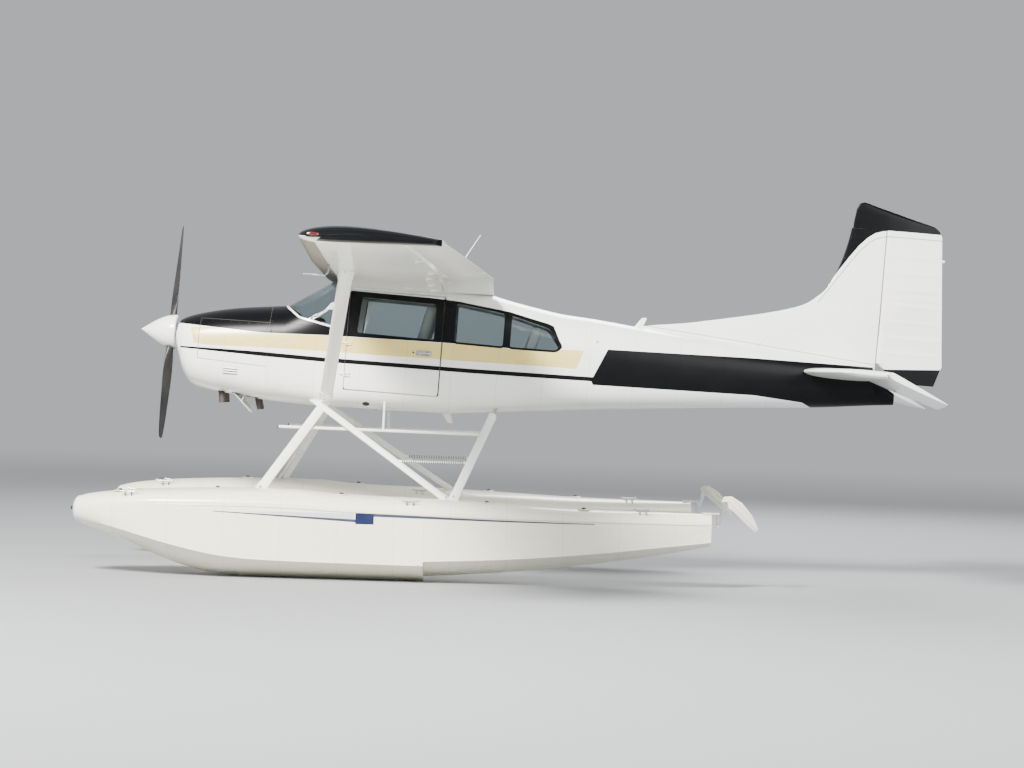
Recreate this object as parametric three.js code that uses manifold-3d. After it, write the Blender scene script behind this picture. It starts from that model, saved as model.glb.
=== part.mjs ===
// A single-engine high-wing floatplane on two straight floats, standing on its keels.
// Millimetres. Row frame: +X aft, +Y to the right wing, +Z up, with the keels on z = 0.
// Airframe frame: x aft of the spinner's tip, y to the right wing, z above the propeller shaft.
import * as THREE from "three";
import { mergeVertices } from "three/addons/utils/BufferGeometryUtils.js";
import Module from "manifold-3d";

const wasm = await Module();
wasm.setup();

// Stance
const NOSE_UP = THREE.MathUtils.degToRad(3);
const SHAFT_HEIGHT = 2295;

// Gaps
const SEAT_GAP = 0.3;
const MOVING_GAP = 6;
const CONTROL_GAP = 8;
const DOOR_GAP = 6;
const DOOR_REAR_GAP = 12;
const PIN_GAP = 0.3;

// Fuselage
const COWL_FRONT = 385;
const FIREWALL_FRONT = 1298;
const FIREWALL_REAR = 1338;
const CABIN_REAR = 4360;
const WALL = 40;
const COWL_WALL = 12;
const TAIL_WALL = 25;
const GLASS_OUTER = 3;
const GLASS_INNER = 10;
const DOOR_FRONT = 2050;
const DOOR_REAR = 2974;
const DOOR_TOP = 533;
const DOOR_BOTTOM = -422;
const DOOR_CORNER = 15;
const DOOR_AXIS_Y = 574;
const DOOR_HINGE_HEIGHTS = [20, -280];
const DOOR_HINGE = { knuckle: 10, radius: 8.5, pinRadius: 4, arm: 50, inboard: 34 };
const WINDOW_CORNER = 30;

// Wing
const WING_ROOT_Y = 500.3;
const STRUT_TOP_Y = 2540;
const WING_CHORD_HEIGHT = 635;
const DIHEDRAL = Math.tan(THREE.MathUtils.degToRad(1.73));
const FLAP = { line: 0.72, level: 0.12, span: [575, 2480], noseOverlap: 16 };
const AILERON = { line: 0.76, level: 0.5, span: [2560, 5240] };
const LIFT_STRUT = { foot: [1888, 480, -545], topShare: 0.2, topDepth: -0.02, chord: 125, thickness: 46 };

// Tail
const RUDDER_AXIS_X = 7250;
const RUDDER_NOSE = { low: 36, high: 26, from: 200, to: 1600, bottom: 275 };
const RUDDER_HINGE_HEIGHTS = [560, 1330];
const HORN_CUT = 1560;
const FIN_BASE = 100;
const ELEVATOR_AXIS = [7170, 115];
const ELEVATOR_DROOP = THREE.MathUtils.degToRad(23);
const ELEVATOR = { inner: 130, outer: 1560, cutback: 430, tubeRadius: 17, tubeRoom: 40 };
const ELEVATOR_HINGES = [559, 1360];

// Plain pin hinges of the flying surfaces
const HINGE = { tongue: 8, eye: 13, pinRadius: 5, pinReach: 16, pocketReach: 150 };
const HINGE_SHARES = [0.12, 0.88];

// Floats
const FLOAT_Y = 1350;
const STERN_X = 5540;
const KEEL_BAR_HALF = 15;
const RUDDER_POST_X = 5606;
const POST = { lugs: [585, 705], lugHalf: 6, lugRadius: 16, pin: 8, sleeve: 17, sleeveSpan: [592, 698] };
const BLADE_PIVOT = [5668, 800];
const BLADE = { half: 6, slotHalf: 12, neckHalf: 20, pin: 7 };
const SPREADER = { x: [1305, 3095], height: 690, reach: 1100, chord: 90, thickness: 42 };

// Propeller and engine
const SPINNER = { length: 345, radius: 165, wall: 6 };
const BLADE_SLOT = { front: 255, rear: 337, half: 48, reach: 200 };
const PROPELLER_X = 300;
const PROPELLER_RADIUS = 1070;
const PROPELLER_TURN = THREE.MathUtils.degToRad(-12);
const HUB = { front: 235, rear: 357, radius: 62, shaftRadius: 38 };
const ENGINE = { front: 545, rear: 1180, half: 250, bottom: -340, top: 90 };
const ENGINE_MOUNT = { half: 140, bottom: -200, top: 0 };
const EXHAUST = { y: 210, top: [836, -335], mouth: [872, -655], boreTop: [862, -560], boreEnd: [873, -664] };
const EXHAUST_RADII = { pipe: 30, bore: 26, hole: 40 };
const INLET = { y: 196, z: -28, halfWidth: 62, halfHeight: 46, depth: 80 };
const OUTLET = { front: 966, rear: 1250, inner: 70, outer: 300, bottom: -700, top: -400 };
const COWL_FLAP = { hinge: [966, -562.4], length: 250, inner: 76, outer: 294 };
const COWL_FLAP_OPEN = THREE.MathUtils.degToRad(36);

// Lengths by which a cutting body runs past what it cuts
const OVERCUT = 20;
const SKY = 800;
const WIDE = 700;

// Each section: x, top, bottom, height of the widest line, half width, squareness above and below it.
const FUSELAGE = [
  [385, 90, -165, -40, 290, 2.6, 2.6],
  [402, 124, -215, -50, 345, 2.8, 2.6],
  [470, 160, -405, -100, 405, 2.8, 2.6],
  [560, 192, -498, -130, 440, 2.8, 2.8],
  [740, 240, -541, -150, 470, 2.8, 3.0],
  [970, 284, -567, -150, 495, 2.8, 3.2],
  [1298, 326, -597, -140, 525, 2.9, 3.6],
  [1430, 341, -603, -120, 535, 2.9, 3.6],
  [1580, 438, -606, -110, 545, 2.9, 3.8],
  [1730, 533, -609, -100, 552, 3.1, 4.0],
  [1880, 622, -608, -90, 557, 3.5, 4.2],
  [2050, 648, -605, -80, 560, 4.2, 4.4],
  [3000, 655, -583, -80, 558, 4.4, 4.4],
  [3300, 630, -556, -60, 545, 4.2, 4.2],
  [3540, 575, -531, -40, 528, 3.8, 4.0],
  [3800, 527, -502, -20, 502, 3.4, 3.8],
  [4130, 477, -466, 0, 468, 3.0, 3.5],
  [4410, 458, -436, 10, 436, 2.8, 3.2],
  [4860, 414, -391, 20, 388, 2.6, 3.0],
  [5930, 326, -290, 40, 272, 2.4, 2.6],
  [6650, 266, -231, 50, 192, 2.3, 2.4],
  [7190, 215, -168, 50, 118, 2.2, 2.2],
  [7225, 90, -164, -20, 100, 2.2, 2.2],
  [7420, -30, -144, -85, 50, 2.2, 2.2],
];

// Each float section: x, keel, chine height, chine half width, deck edge height, its half width, deck top.
const FLOAT_SECTIONS = [
  [-400, 520, 545, 60, 600, 75, 655],
  [-335, 460, 500, 135, 625, 152, 702],
  [-150, 390, 465, 235, 645, 250, 742],
  [100, 300, 410, 315, 657, 322, 770],
  [400, 170, 335, 362, 662, 360, 792],
  [700, 70, 265, 388, 664, 378, 806],
  [1000, 12, 210, 398, 665, 386, 815],
  [1250, 0, 185, 400, 666, 388, 820],
  [1620, 0, 175, 400, 660, 388, 820],
  [2130, 0, 170, 400, 640, 388, 784],
  [2879, 0, 165, 400, 625, 385, 767],
  [2880, 45, 205, 398, 625, 385, 767],
  [3600, 100, 240, 352, 612, 352, 742],
  [4430, 200, 310, 265, 604, 272, 712],
  [5200, 330, 400, 165, 600, 172, 702],
  [5540, 400, 440, 108, 598, 115, 698],
];

// Each wing section: y, leading edge x, chord, height of the chord line at 30 %, incidence, thickness share.
const WING_SECTIONS = [
  [WING_ROOT_Y, 1800, 1626, 0, 1.5, 0.12],
  [STRUT_TOP_Y, 1800, 1626, 0, 1.5, 0.12],
  [5290, 1893, 1152, 0, -1.4, 0.12],
  [5400, 1915, 1105, 8, -1.5, 0.098],
  [5460, 1965, 990, 16, -1.5, 0.04],
];

// Each tail section: height, leading edge x, trailing edge x, greatest half thickness.
const FIN_SECTIONS = [
  [-20, 4700, 7885, 46],
  [300, 4700, 7868, 46],
  [414, 4860, 7862, 46],
  [504, 5390, 7855, 46],
  [762, 6450, 7836, 45],
  [832, 6560, 7829, 44],
  [965, 6690, 7818, 42],
  [1408, 6850, 7783, 36],
  [1768, 6910, 7756, 31],
  [1840, 6925, 7750, 30],
];

// Each tailplane section: y, leading edge x, trailing edge x, thickness share.
const TAILPLANE_SECTIONS = [
  [0, 6470, 7890, 0.075],
  [1200, 6640, 7790, 0.08],
  [1580, 6700, 7740, 0.075],
  [1650, 6790, 7660, 0.04],
];

const finish = (color, roughness, metalness = 0) =>
  new THREE.MeshStandardMaterial({ color, roughness, metalness });
const WHITE_PAINT = finish("#f1f1ec", 0.25);
const BLACK_PAINT = finish("#0b0c0e", 0.3);
const FLOAT_PAINT = finish("#f2f1e6", 0.3);
const BARE_METAL = finish("#9a9c9c", 0.4, 0.8);
const DARK_METAL = finish("#3a3633", 0.6, 0.6);
const GLAZING = finish("#27323a", 0.08);
const CLOTH = finish("#a9a8a2", 0.9);

const vector = (p) => new THREE.Vector3(...p);
const middle = (a, b, share) => a + (b - a) * share;

// A closed solid made from a geometry, with its faces turned outwards.
function solid(geometry) {
  const bare = geometry.clone();
  bare.deleteAttribute("normal");
  bare.deleteAttribute("uv");
  const merged = mergeVertices(bare, 1e-3);
  const vertProperties = merged.attributes.position.array;
  const triVerts = new Uint32Array(merged.index.array);
  const build = () => new wasm.Manifold(new wasm.Mesh({ numProp: 3, vertProperties, triVerts }));
  const made = build();
  if (made.volume() > 0) return made;
  for (let i = 0; i < triVerts.length; i += 3) {
    [triVerts[i + 1], triVerts[i + 2]] = [triVerts[i + 2], triVerts[i + 1]];
  }
  return build();
}

// A skin through rings that all have the same number of points, closed at both ends.
function loft(rings) {
  const count = rings[0].length;
  const points = rings.flat();
  const index = [];
  for (let r = 0; r + 1 < rings.length; r += 1) {
    for (let k = 0; k < count; k += 1) {
      const a = r * count + k;
      const b = r * count + ((k + 1) % count);
      index.push(a, b, b + count, a, b + count, a + count);
    }
  }
  const ends = [rings[0], rings[rings.length - 1]];
  ends.forEach((ring, end) => {
    const centre = ring.reduce((sum, p) => sum.add(vector(p)), new THREE.Vector3()).divideScalar(count);
    points.push(centre.toArray());
    const first = end === 0 ? 0 : (rings.length - 1) * count;
    for (let k = 0; k < count; k += 1) {
      const a = first + k;
      const b = first + ((k + 1) % count);
      index.push(...(end === 0 ? [b, a, points.length - 1] : [a, b, points.length - 1]));
    }
  });
  const geometry = new THREE.BufferGeometry();
  geometry.setAttribute("position", new THREE.Float32BufferAttribute(points.flat(), 3));
  geometry.setIndex(index);
  return solid(geometry);
}

// An outline with its corners rounded by the given radius.
function roundedShape(outline, radius = 0) {
  if (radius === 0) return new THREE.Shape(outline.map(([u, v]) => new THREE.Vector2(u, v)));
  const shape = new THREE.Shape();
  outline.forEach((corner, k) => {
    const here = new THREE.Vector2(...corner);
    const before = new THREE.Vector2(...outline[(k + outline.length - 1) % outline.length]);
    const after = new THREE.Vector2(...outline[(k + 1) % outline.length]);
    const start = here.clone().add(before.sub(here).setLength(radius));
    const end = here.clone().add(after.sub(here).setLength(radius));
    if (k === 0) shape.moveTo(start.x, start.y);
    else shape.lineTo(start.x, start.y);
    shape.quadraticCurveTo(here.x, here.y, end.x, end.y);
  });
  return shape;
}

const CORNER_STEPS = 4;
const extrude = (outline, depth, radius) =>
  new THREE.ExtrudeGeometry(roundedShape(outline, radius), {
    depth,
    bevelEnabled: false,
    curveSegments: CORNER_STEPS,
  });

// A prism whose outline lies in the side view (x, z), from y0 to y1.
function sidePrism(outline, y0, y1, radius) {
  return solid(extrude(outline, y1 - y0, radius).rotateX(Math.PI / 2).translate(0, y1, 0));
}

// A prism whose outline lies in the plan view (x, y), from z0 to z1.
function planPrism(outline, z0, z1, radius) {
  return solid(extrude(outline, z1 - z0, radius).translate(0, 0, z0));
}

function block([x0, x1], [y0, y1], [z0, z1]) {
  const geometry = new THREE.BoxGeometry(x1 - x0, y1 - y0, z1 - z0);
  return solid(geometry.translate((x0 + x1) / 2, (y0 + y1) / 2, (z0 + z1) / 2));
}

// A round bar between two points, or a cone where its end radius differs.
function rod(from, to, radius, segments = 10, endRadius = radius) {
  const along = vector(to).sub(vector(from));
  const geometry = new THREE.CylinderGeometry(endRadius, radius, along.length(), segments);
  const up = new THREE.Vector3(0, 1, 0);
  const turn = new THREE.Quaternion().setFromUnitVectors(up, along.clone().normalize());
  const centre = vector(from).addScaledVector(along, 0.5);
  return solid(geometry.applyQuaternion(turn).translate(centre.x, centre.y, centre.z));
}

// A round hole that a bar of the given radius turns in without touching its flats.
const bore = (from, to, radius, segments = 10) =>
  rod(from, to, (radius + PIN_GAP) / Math.cos(Math.PI / segments), segments);

// A bar with an oval section, its wide side along x as far as its own direction allows.
function fairedBar(from, to, chord, thickness, segments = 12) {
  const along = vector(to).sub(vector(from)).normalize();
  const aft = new THREE.Vector3(1, 0, 0).addScaledVector(along, -along.x).normalize();
  const across = along.clone().cross(aft);
  const ring = (centre) =>
    Array.from({ length: segments }, (_, k) => {
      const angle = (k / segments) * 2 * Math.PI;
      return vector(centre)
        .addScaledVector(aft, (Math.cos(angle) * chord) / 2)
        .addScaledVector(across, (Math.sin(angle) * thickness) / 2)
        .toArray();
    });
  return loft([ring(from), ring(to)]);
}

// The outline slightly drawn in towards its middle, for a pane that sits in a hole of that outline.
function drawnIn(outline, gap = SEAT_GAP) {
  const centre = outline.reduce(([u, v], [a, b]) => [u + a / outline.length, v + b / outline.length], [0, 0]);
  return outline.map(([u, v]) => {
    const reach = Math.hypot(u - centre[0], v - centre[1]);
    const share = 1 - (2 * gap) / reach;
    return [middle(centre[0], u, share), middle(centre[1], v, share)];
  });
}

// One fuselage section, its skin drawn in by the inset.
const SECTION_POINTS = 20;
function fuselageRing([x, top, bottom, widest, half, above, below], inset) {
  return Array.from({ length: SECTION_POINTS }, (_, k) => {
    const angle = (k / SECTION_POINTS) * 2 * Math.PI;
    const [c, s] = [Math.cos(angle), Math.sin(angle)];
    const power = 2 / (s >= 0 ? above : below);
    const reach = s >= 0 ? top - inset - widest : widest - bottom - inset;
    return [
      x,
      Math.sign(c) * Math.abs(c) ** power * (half - inset),
      widest + Math.sign(s) * Math.abs(s) ** power * reach,
    ];
  });
}

// The section at any x, mixed from its neighbours in the table.
function sectionAt(x) {
  const next = FUSELAGE.findIndex((row) => row[0] >= x);
  if (next <= 0) return [x, ...FUSELAGE[0].slice(1)];
  const [a, b] = [FUSELAGE[next - 1], FUSELAGE[next]];
  const share = (x - a[0]) / (b[0] - a[0]);
  return a.map((value, k) => middle(value, b[k], share));
}

// The fuselage's form between two places, drawn in by the inset.
function fuselageBody(x0, x1, inset = 0) {
  const inner = FUSELAGE.filter((row) => row[0] > x0 + 1 && row[0] < x1 - 1);
  return loft([sectionAt(x0), ...inner, sectionAt(x1)].map((row) => fuselageRing(row, inset)));
}

// The aerofoil of share t thickness with 2 % camber: points from the trailing edge over the top and back.
const FOIL_STEPS = [1, 0.86, 0.7, 0.5, 0.3, 0.15, 0.05, 0.012];
const CAMBER = 0.02;
const CAMBER_PLACE = 0.4;
function foilHeights(u, thickness, camber) {
  const root = 0.2969 * Math.sqrt(u) - 0.126 * u - 0.3516 * u ** 2 + 0.2843 * u ** 3 - 0.1015 * u ** 4;
  const half = (thickness / 0.2) * root + 0.0012;
  const line =
    u < CAMBER_PLACE
      ? (camber / CAMBER_PLACE ** 2) * (2 * CAMBER_PLACE * u - u * u)
      : (camber / (1 - CAMBER_PLACE) ** 2) * (1 - 2 * CAMBER_PLACE + 2 * CAMBER_PLACE * u - u * u);
  return [line + half, line - half];
}
function foilOutline(thickness, camber) {
  const upper = FOIL_STEPS.map((u) => [u, foilHeights(u, thickness, camber)[0]]);
  const lower = FOIL_STEPS.map((u) => [u, foilHeights(u, thickness, camber)[1]]).reverse();
  return [...upper, [0, 0], ...lower];
}

const wingHeight = (y) => WING_CHORD_HEIGHT + (Math.abs(y) - WING_ROOT_Y) * DIHEDRAL;

// One wing section, grown outwards by a little where a neighbour is cut to it.
function wingRing([y, leading, chord, drop, incidence, thickness], grow = 0) {
  const turn = THREE.MathUtils.degToRad(incidence);
  return foilOutline(thickness, CAMBER).map(([u, v]) => {
    const x = (u - 0.3) * chord;
    const z = v * chord + Math.sign(v) * grow - drop;
    return [
      leading + 0.3 * chord + x * Math.cos(turn) + z * Math.sin(turn),
      y,
      wingHeight(y) - x * Math.sin(turn) + z * Math.cos(turn),
    ];
  });
}

// The wing's section at a place along the span, and a point of its chord line there.
function wingSectionAt(y) {
  const next = WING_SECTIONS.findIndex((row) => row[0] >= y);
  const [a, b] = [WING_SECTIONS[Math.max(next - 1, 0)], WING_SECTIONS[Math.max(next, 1)]];
  const share = (y - a[0]) / (b[0] - a[0]);
  return a.map((value, k) => middle(value, b[k], share));
}
function wingPoint(y, u, v) {
  const [, leading, chord, drop, incidence] = wingSectionAt(y);
  const turn = THREE.MathUtils.degToRad(incidence);
  const x = (u - 0.3) * chord;
  const z = v * chord - drop;
  return [
    leading + 0.3 * chord + x * Math.cos(turn) + z * Math.sin(turn),
    y,
    wingHeight(y) - x * Math.sin(turn) + z * Math.cos(turn),
  ];
}
const wingBody = (grow = 0) => loft(WING_SECTIONS.map((row) => wingRing(row, grow)));

// One tailplane section: a flat-lined aerofoil about the hinge height.
function tailplaneRing([y, leading, trailing, thickness], grow = 0) {
  const chord = trailing - leading;
  return foilOutline(thickness, 0).map(([u, v]) => [
    leading + u * chord,
    y,
    ELEVATOR_AXIS[1] + v * chord + Math.sign(v) * grow,
  ]);
}
function tailplaneBody(grow = 0) {
  const right = TAILPLANE_SECTIONS.slice(1).map((row) => tailplaneRing(row, grow));
  const centre = tailplaneRing(TAILPLANE_SECTIONS[0], grow);
  const left = right.map((ring) => ring.map(([x, y, z]) => [x, -y, z])).reverse();
  return loft([...left, centre, ...right]);
}

// One fin section: leading edge, flanks that swell and thin again, and a blunt trailing edge.
const FIN_STEPS = [0.04, 0.15, 0.4, 0.65, 1];
const FIN_TRAILING_HALF = 5;
function finRing([z, leading, trailing, half]) {
  const main = 0.78;
  const width = (u) =>
    u < 0.65 ? half * Math.sqrt(1 - (1 - u / 0.65) ** 2) : middle(half, FIN_TRAILING_HALF, (u - 0.65) / 0.35);
  const shares = FIN_STEPS.map((u) => [u, width(u) * (u < 0.3 ? main : 1)]);
  const right = shares.map(([u, w]) => [leading + u * (trailing - leading), w, z]);
  const left = right.map(([x, w]) => [x, -w, z]).reverse();
  return [[leading, 0, z], ...right, ...left];
}
const finBody = () => loft(FIN_SECTIONS.map(finRing));

// One hinge station. The fixed piece gets the tongue with its cross pin, the moving piece loses the pocket.
function hingeStation(centre, axis, reach) {
  const aft = new THREE.Vector3(1, 0, 0);
  const e1 = vector(axis).normalize();
  const e2 = aft.clone().addScaledVector(e1, -e1.dot(aft)).normalize();
  const e3 = e1.clone().cross(e2);
  const place = new THREE.Matrix4().makeBasis(e1, e2, e3).setPosition(vector(centre));
  const box = (width, from, to, half) =>
    solid(
      new THREE.BoxGeometry(width, to - from, 2 * half).translate(0, (from + to) / 2, 0).applyMatrix4(place),
    );
  const ends = (half) => [-half, half].map((by) => vector(centre).addScaledVector(e1, by).toArray());
  const pinHalf = HINGE.tongue / 2 + HINGE.pinReach;
  const tongueHalf = HINGE.eye - 2;
  return {
    tongue: box(HINGE.tongue, -reach, 0, tongueHalf)
      .add(rod(...ends(HINGE.tongue / 2), tongueHalf, 8))
      .add(rod(...ends(pinHalf), HINGE.pinRadius, 8)),
    pocket: box(
      HINGE.tongue + 2 * MOVING_GAP,
      -HINGE.pocketReach,
      HINGE.eye + MOVING_GAP,
      HINGE.pocketReach,
    ).add(bore(...ends(pinHalf + 2), HINGE.pinRadius, 8)),
  };
}

// A round nose along a hinge line, its radius changing from one end to the other.
const NOSE_SEGMENTS = 14;
const noseAlong = (from, to, radiusFrom, radiusTo) => rod(from, to, radiusFrom, NOSE_SEGMENTS, radiusTo);

const airframe = new THREE.Group();
airframe.rotation.y = NOSE_UP;
airframe.position.z = SHAFT_HEIGHT;
const aircraft = new THREE.Group();
aircraft.add(airframe);

// Adds a solid to a group as a named mesh. A mirrored one is the right side's solid turned to the left.
function addNode(group, name, shape, material, mirrored = false) {
  const { vertProperties, triVerts } = shape.getMesh();
  const geometry = new THREE.BufferGeometry();
  geometry.setAttribute("position", new THREE.BufferAttribute(vertProperties, 3));
  geometry.setIndex(new THREE.BufferAttribute(triVerts, 1));
  geometry.computeVertexNormals();
  const mesh = new THREE.Mesh(geometry, material);
  mesh.name = name;
  if (mirrored) mesh.scale.y = -1;
  group.add(mesh);
  return mesh;
}
function addPair(group, name, shape, material) {
  addNode(group, `${name}_right`, shape, material);
  addNode(group, `${name}_left`, shape, material, true);
}

// Keel-frame points, measured from the spinner's tip and the keel line, in the airframe's frame.
function fromKeel([x, y, z]) {
  const rise = z - SHAFT_HEIGHT;
  return [
    x * Math.cos(NOSE_UP) - rise * Math.sin(NOSE_UP),
    y,
    x * Math.sin(NOSE_UP) + rise * Math.cos(NOSE_UP),
  ];
}

// One float section about its own centre line.
function floatRing([x, keel, chine, chineHalf, edge, edgeHalf, top], grow = 0) {
  const right = [
    [KEEL_BAR_HALF, keel - grow],
    [chineHalf * 0.5, middle(keel, chine, 0.42) - grow],
    [chineHalf + grow, chine],
    [edgeHalf + grow, edge],
    [edgeHalf * 0.93 + grow, middle(edge, top, 0.45) + grow],
    [edgeHalf * 0.72, middle(edge, top, 0.82) + grow],
    [edgeHalf * 0.38, middle(edge, top, 0.97) + grow],
  ];
  const left = right.map(([y, z]) => [-y, z]).reverse();
  return [...right, [0, top + grow], ...left].map(([y, z]) => [x, FLOAT_Y + y, z]);
}
const floatBody = () => loft(FLOAT_SECTIONS.map((row) => floatRing(row)));
const floatInAirframe = (side) =>
  loft(FLOAT_SECTIONS.map((row) => floatRing(row, SEAT_GAP).map(([x, y, z]) => fromKeel([x, side * y, z]))));

// The cabin's panels meet on these lines of the side view.
const SILL_LINE = [
  [FIREWALL_REAR, -440],
  [3000, -430],
  [CABIN_REAR, -330],
];
const ROOF_LINE = [
  [1885, 541],
  [3000, 545],
  [3540, 490],
  [4000, 392],
  [CABIN_REAR, 335],
];
const GLASS_BASE = [
  [1400, 356],
  [1575, 226],
  [1905, 160],
];
const PILLAR_TOP = [1998, 541];
const DECK_HEIGHT = 160;
const lifted = (line, by) => line.map(([x, z]) => [x, z + by]);
const lineHeight = (line, x) => {
  const next = Math.max(1, line.findIndex((p) => p[0] >= x));
  const [a, b] = [line[next - 1], line[next]];
  return middle(a[1], b[1], (x - a[0]) / (b[0] - a[0]));
};

const HALF_GAP = SEAT_GAP / 2;
const PANEL_START = FIREWALL_REAR + SEAT_GAP;
const outerCabin = fuselageBody(PANEL_START, CABIN_REAR);
const innerCabin = fuselageBody(FIREWALL_REAR - OVERCUT, CABIN_REAR + OVERCUT, WALL);
const cabinShell = outerCabin.subtract(innerCabin);
const glassShell = fuselageBody(PANEL_START, CABIN_REAR, GLASS_OUTER).subtract(
  fuselageBody(FIREWALL_REAR - OVERCUT, CABIN_REAR + OVERCUT, GLASS_INNER),
);

// The wing's centre section over the cabin.
const rootRing = wingRing(WING_SECTIONS[0]);
const CENTRE_HALF = 500;
const acrossCabin = (ring, half) => loft([-half, half].map((y) => ring.map(([x, , z]) => [x, y, z])));
const centreSection = acrossCabin(rootRing, CENTRE_HALF);
const centreSectionGrown = acrossCabin(wingRing(WING_SECTIONS[0], SEAT_GAP), CENTRE_HALF + SEAT_GAP);

function addCabin() {
  const roofOutline = [...lifted(ROOF_LINE, HALF_GAP), [CABIN_REAR, SKY], [ROOF_LINE[0][0], SKY]];
  const roof = cabinShell
    .intersect(sidePrism(roofOutline, -WIDE, WIDE))
    .add(centreSection)
    .subtract(innerCabin);
  addNode(airframe, "cabin_roof", roof, WHITE_PAINT);

  const bellyOutline = [...lifted(SILL_LINE, -HALF_GAP), [CABIN_REAR, -SKY], [FIREWALL_REAR, -SKY]];
  const belly = outerCabin.intersect(sidePrism(bellyOutline, -WIDE, WIDE));
  addNode(airframe, "cabin_belly", belly, WHITE_PAINT);

  const deckOutline = [
    [FIREWALL_REAR, DECK_HEIGHT + HALF_GAP],
    [GLASS_BASE[2][0] - 2, DECK_HEIGHT + HALF_GAP],
    ...lifted(GLASS_BASE.slice(0, 2), -SEAT_GAP).reverse(),
    [GLASS_BASE[0][0], SKY],
    [FIREWALL_REAR, SKY],
  ];
  const deck = cabinShell.intersect(sidePrism(deckOutline, -WIDE, WIDE));
  addNode(airframe, "cowl_deck", deck, BLACK_PAINT);

  const glassOutline = [
    [GLASS_BASE[0][0] + SEAT_GAP, SKY],
    ...lifted(GLASS_BASE, SEAT_GAP),
    [PILLAR_TOP[0], PILLAR_TOP[1] - SEAT_GAP],
    [ROOF_LINE[0][0] - SEAT_GAP, PILLAR_TOP[1] - SEAT_GAP],
    [ROOF_LINE[0][0] - SEAT_GAP, SKY],
  ];
  const windshield = glassShell
    .intersect(sidePrism(glassOutline, -WIDE, WIDE))
    .subtract(centreSectionGrown);
  addNode(airframe, "windshield", windshield, GLAZING);

  const frontSideOutline = [
    ...lifted([SILL_LINE[0], [DOOR_FRONT, lineHeight(SILL_LINE, DOOR_FRONT)]], HALF_GAP),
    [DOOR_FRONT, ROOF_LINE[0][1] - HALF_GAP],
    [PILLAR_TOP[0] + SEAT_GAP, PILLAR_TOP[1] - HALF_GAP],
    [GLASS_BASE[2][0] + SEAT_GAP, DECK_HEIGHT - HALF_GAP],
    [FIREWALL_REAR, DECK_HEIGHT - HALF_GAP],
  ];
  const frontSide = cabinShell.intersect(sidePrism(frontSideOutline, 0, WIDE));

  const rearSideOutline = [
    [DOOR_REAR, lineHeight(SILL_LINE, DOOR_REAR) + HALF_GAP],
    ...lifted(SILL_LINE.slice(1), HALF_GAP),
    ...lifted(ROOF_LINE.slice(1), -HALF_GAP).reverse(),
    [DOOR_REAR, ROOF_LINE[1][1] - HALF_GAP],
  ];
  const rearWindow = [
    [3072, 106],
    [3560, 100],
    [3560, 436],
    [3072, 498],
  ];
  const aftWindow = [
    [3612, 100],
    [4068, 103],
    [4122, 152],
    [3990, 330],
    [3612, 428],
  ];
  const doorWindow = [
    [2135, 118],
    [2895, 108],
    [2895, 470],
    [2165, 482],
  ];
  const hole = (outline) => sidePrism(outline, 0, WIDE, WINDOW_CORNER);
  const pane = (outline) => glassShell.intersect(sidePrism(drawnIn(outline), 0, WIDE, WINDOW_CORNER));
  const rearSide = cabinShell
    .intersect(sidePrism(rearSideOutline, 0, WIDE))
    .subtract(hole(rearWindow))
    .subtract(hole(aftWindow));
  addPair(airframe, "rear_side", rearSide, WHITE_PAINT);
  addPair(airframe, "rear_window", pane(rearWindow), GLAZING);
  addPair(airframe, "aft_window", pane(aftWindow), GLAZING);

  const doorOutline = [
    [DOOR_FRONT + DOOR_GAP, DOOR_BOTTOM],
    [DOOR_REAR - DOOR_REAR_GAP, DOOR_BOTTOM],
    [DOOR_REAR - DOOR_REAR_GAP, DOOR_TOP],
    [DOOR_FRONT + DOOR_GAP, DOOR_TOP],
  ];
  const door = cabinShell.intersect(sidePrism(doorOutline, 0, WIDE, DOOR_CORNER)).subtract(hole(doorWindow));
  const hinges = DOOR_HINGE_HEIGHTS.map(doorHinge);
  const sideWithHinges = hinges.reduce((side, h) => side.add(h.fixed), frontSide);
  const doorWithHinges = hinges.reduce((leaf, h) => leaf.add(h.moving), door);
  addPair(airframe, "front_side", sideWithHinges, WHITE_PAINT);
  addPair(airframe, "door", doorWithHinges, WHITE_PAINT);
  addPair(airframe, "door_glass", pane(doorWindow), GLAZING);
}

// One outside hinge of the right door: a knuckle with its pin on the pillar, two knuckles on the door.
function doorHinge(z) {
  const { knuckle, radius, pinRadius, arm, inboard } = DOOR_HINGE;
  const x = DOOR_FRONT + DOOR_GAP / 2;
  const y = DOOR_AXIS_Y;
  const half = knuckle / 2;
  const upright = (centre, reach, thick) => rod([x, y, centre - reach], [x, y, centre + reach], thick);
  const arms = block([x - arm, x], [y - inboard, y + radius], [z - half, z + half]);
  const relief = block([x - 3, x + 1], [y - inboard - 1, y - radius - 3], [z - knuckle, z + knuckle]);
  const fixed = arms
    .subtract(relief)
    .add(upright(z, half, radius))
    .add(upright(z, 3 * half, pinRadius));
  const ear = (centre) =>
    block([x, x + arm], [y - radius, y + radius], [centre - half, centre + half])
      .add(block([x + 8, x + arm], [y - inboard, y], [centre - half, centre + half]))
      .add(upright(centre, half, radius));
  const pinHole = bore([x, y, z - 3 * knuckle], [x, y, z + 3 * knuckle], pinRadius);
  const offset = knuckle + 1;
  return { fixed, moving: ear(z - offset).add(ear(z + offset)).subtract(pinHole) };
}

// The interval from a to b on the right side, or its mirror image on the left.
const across = (side, a, b) => (side > 0 ? [a, b] : [-b, -a]);

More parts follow.
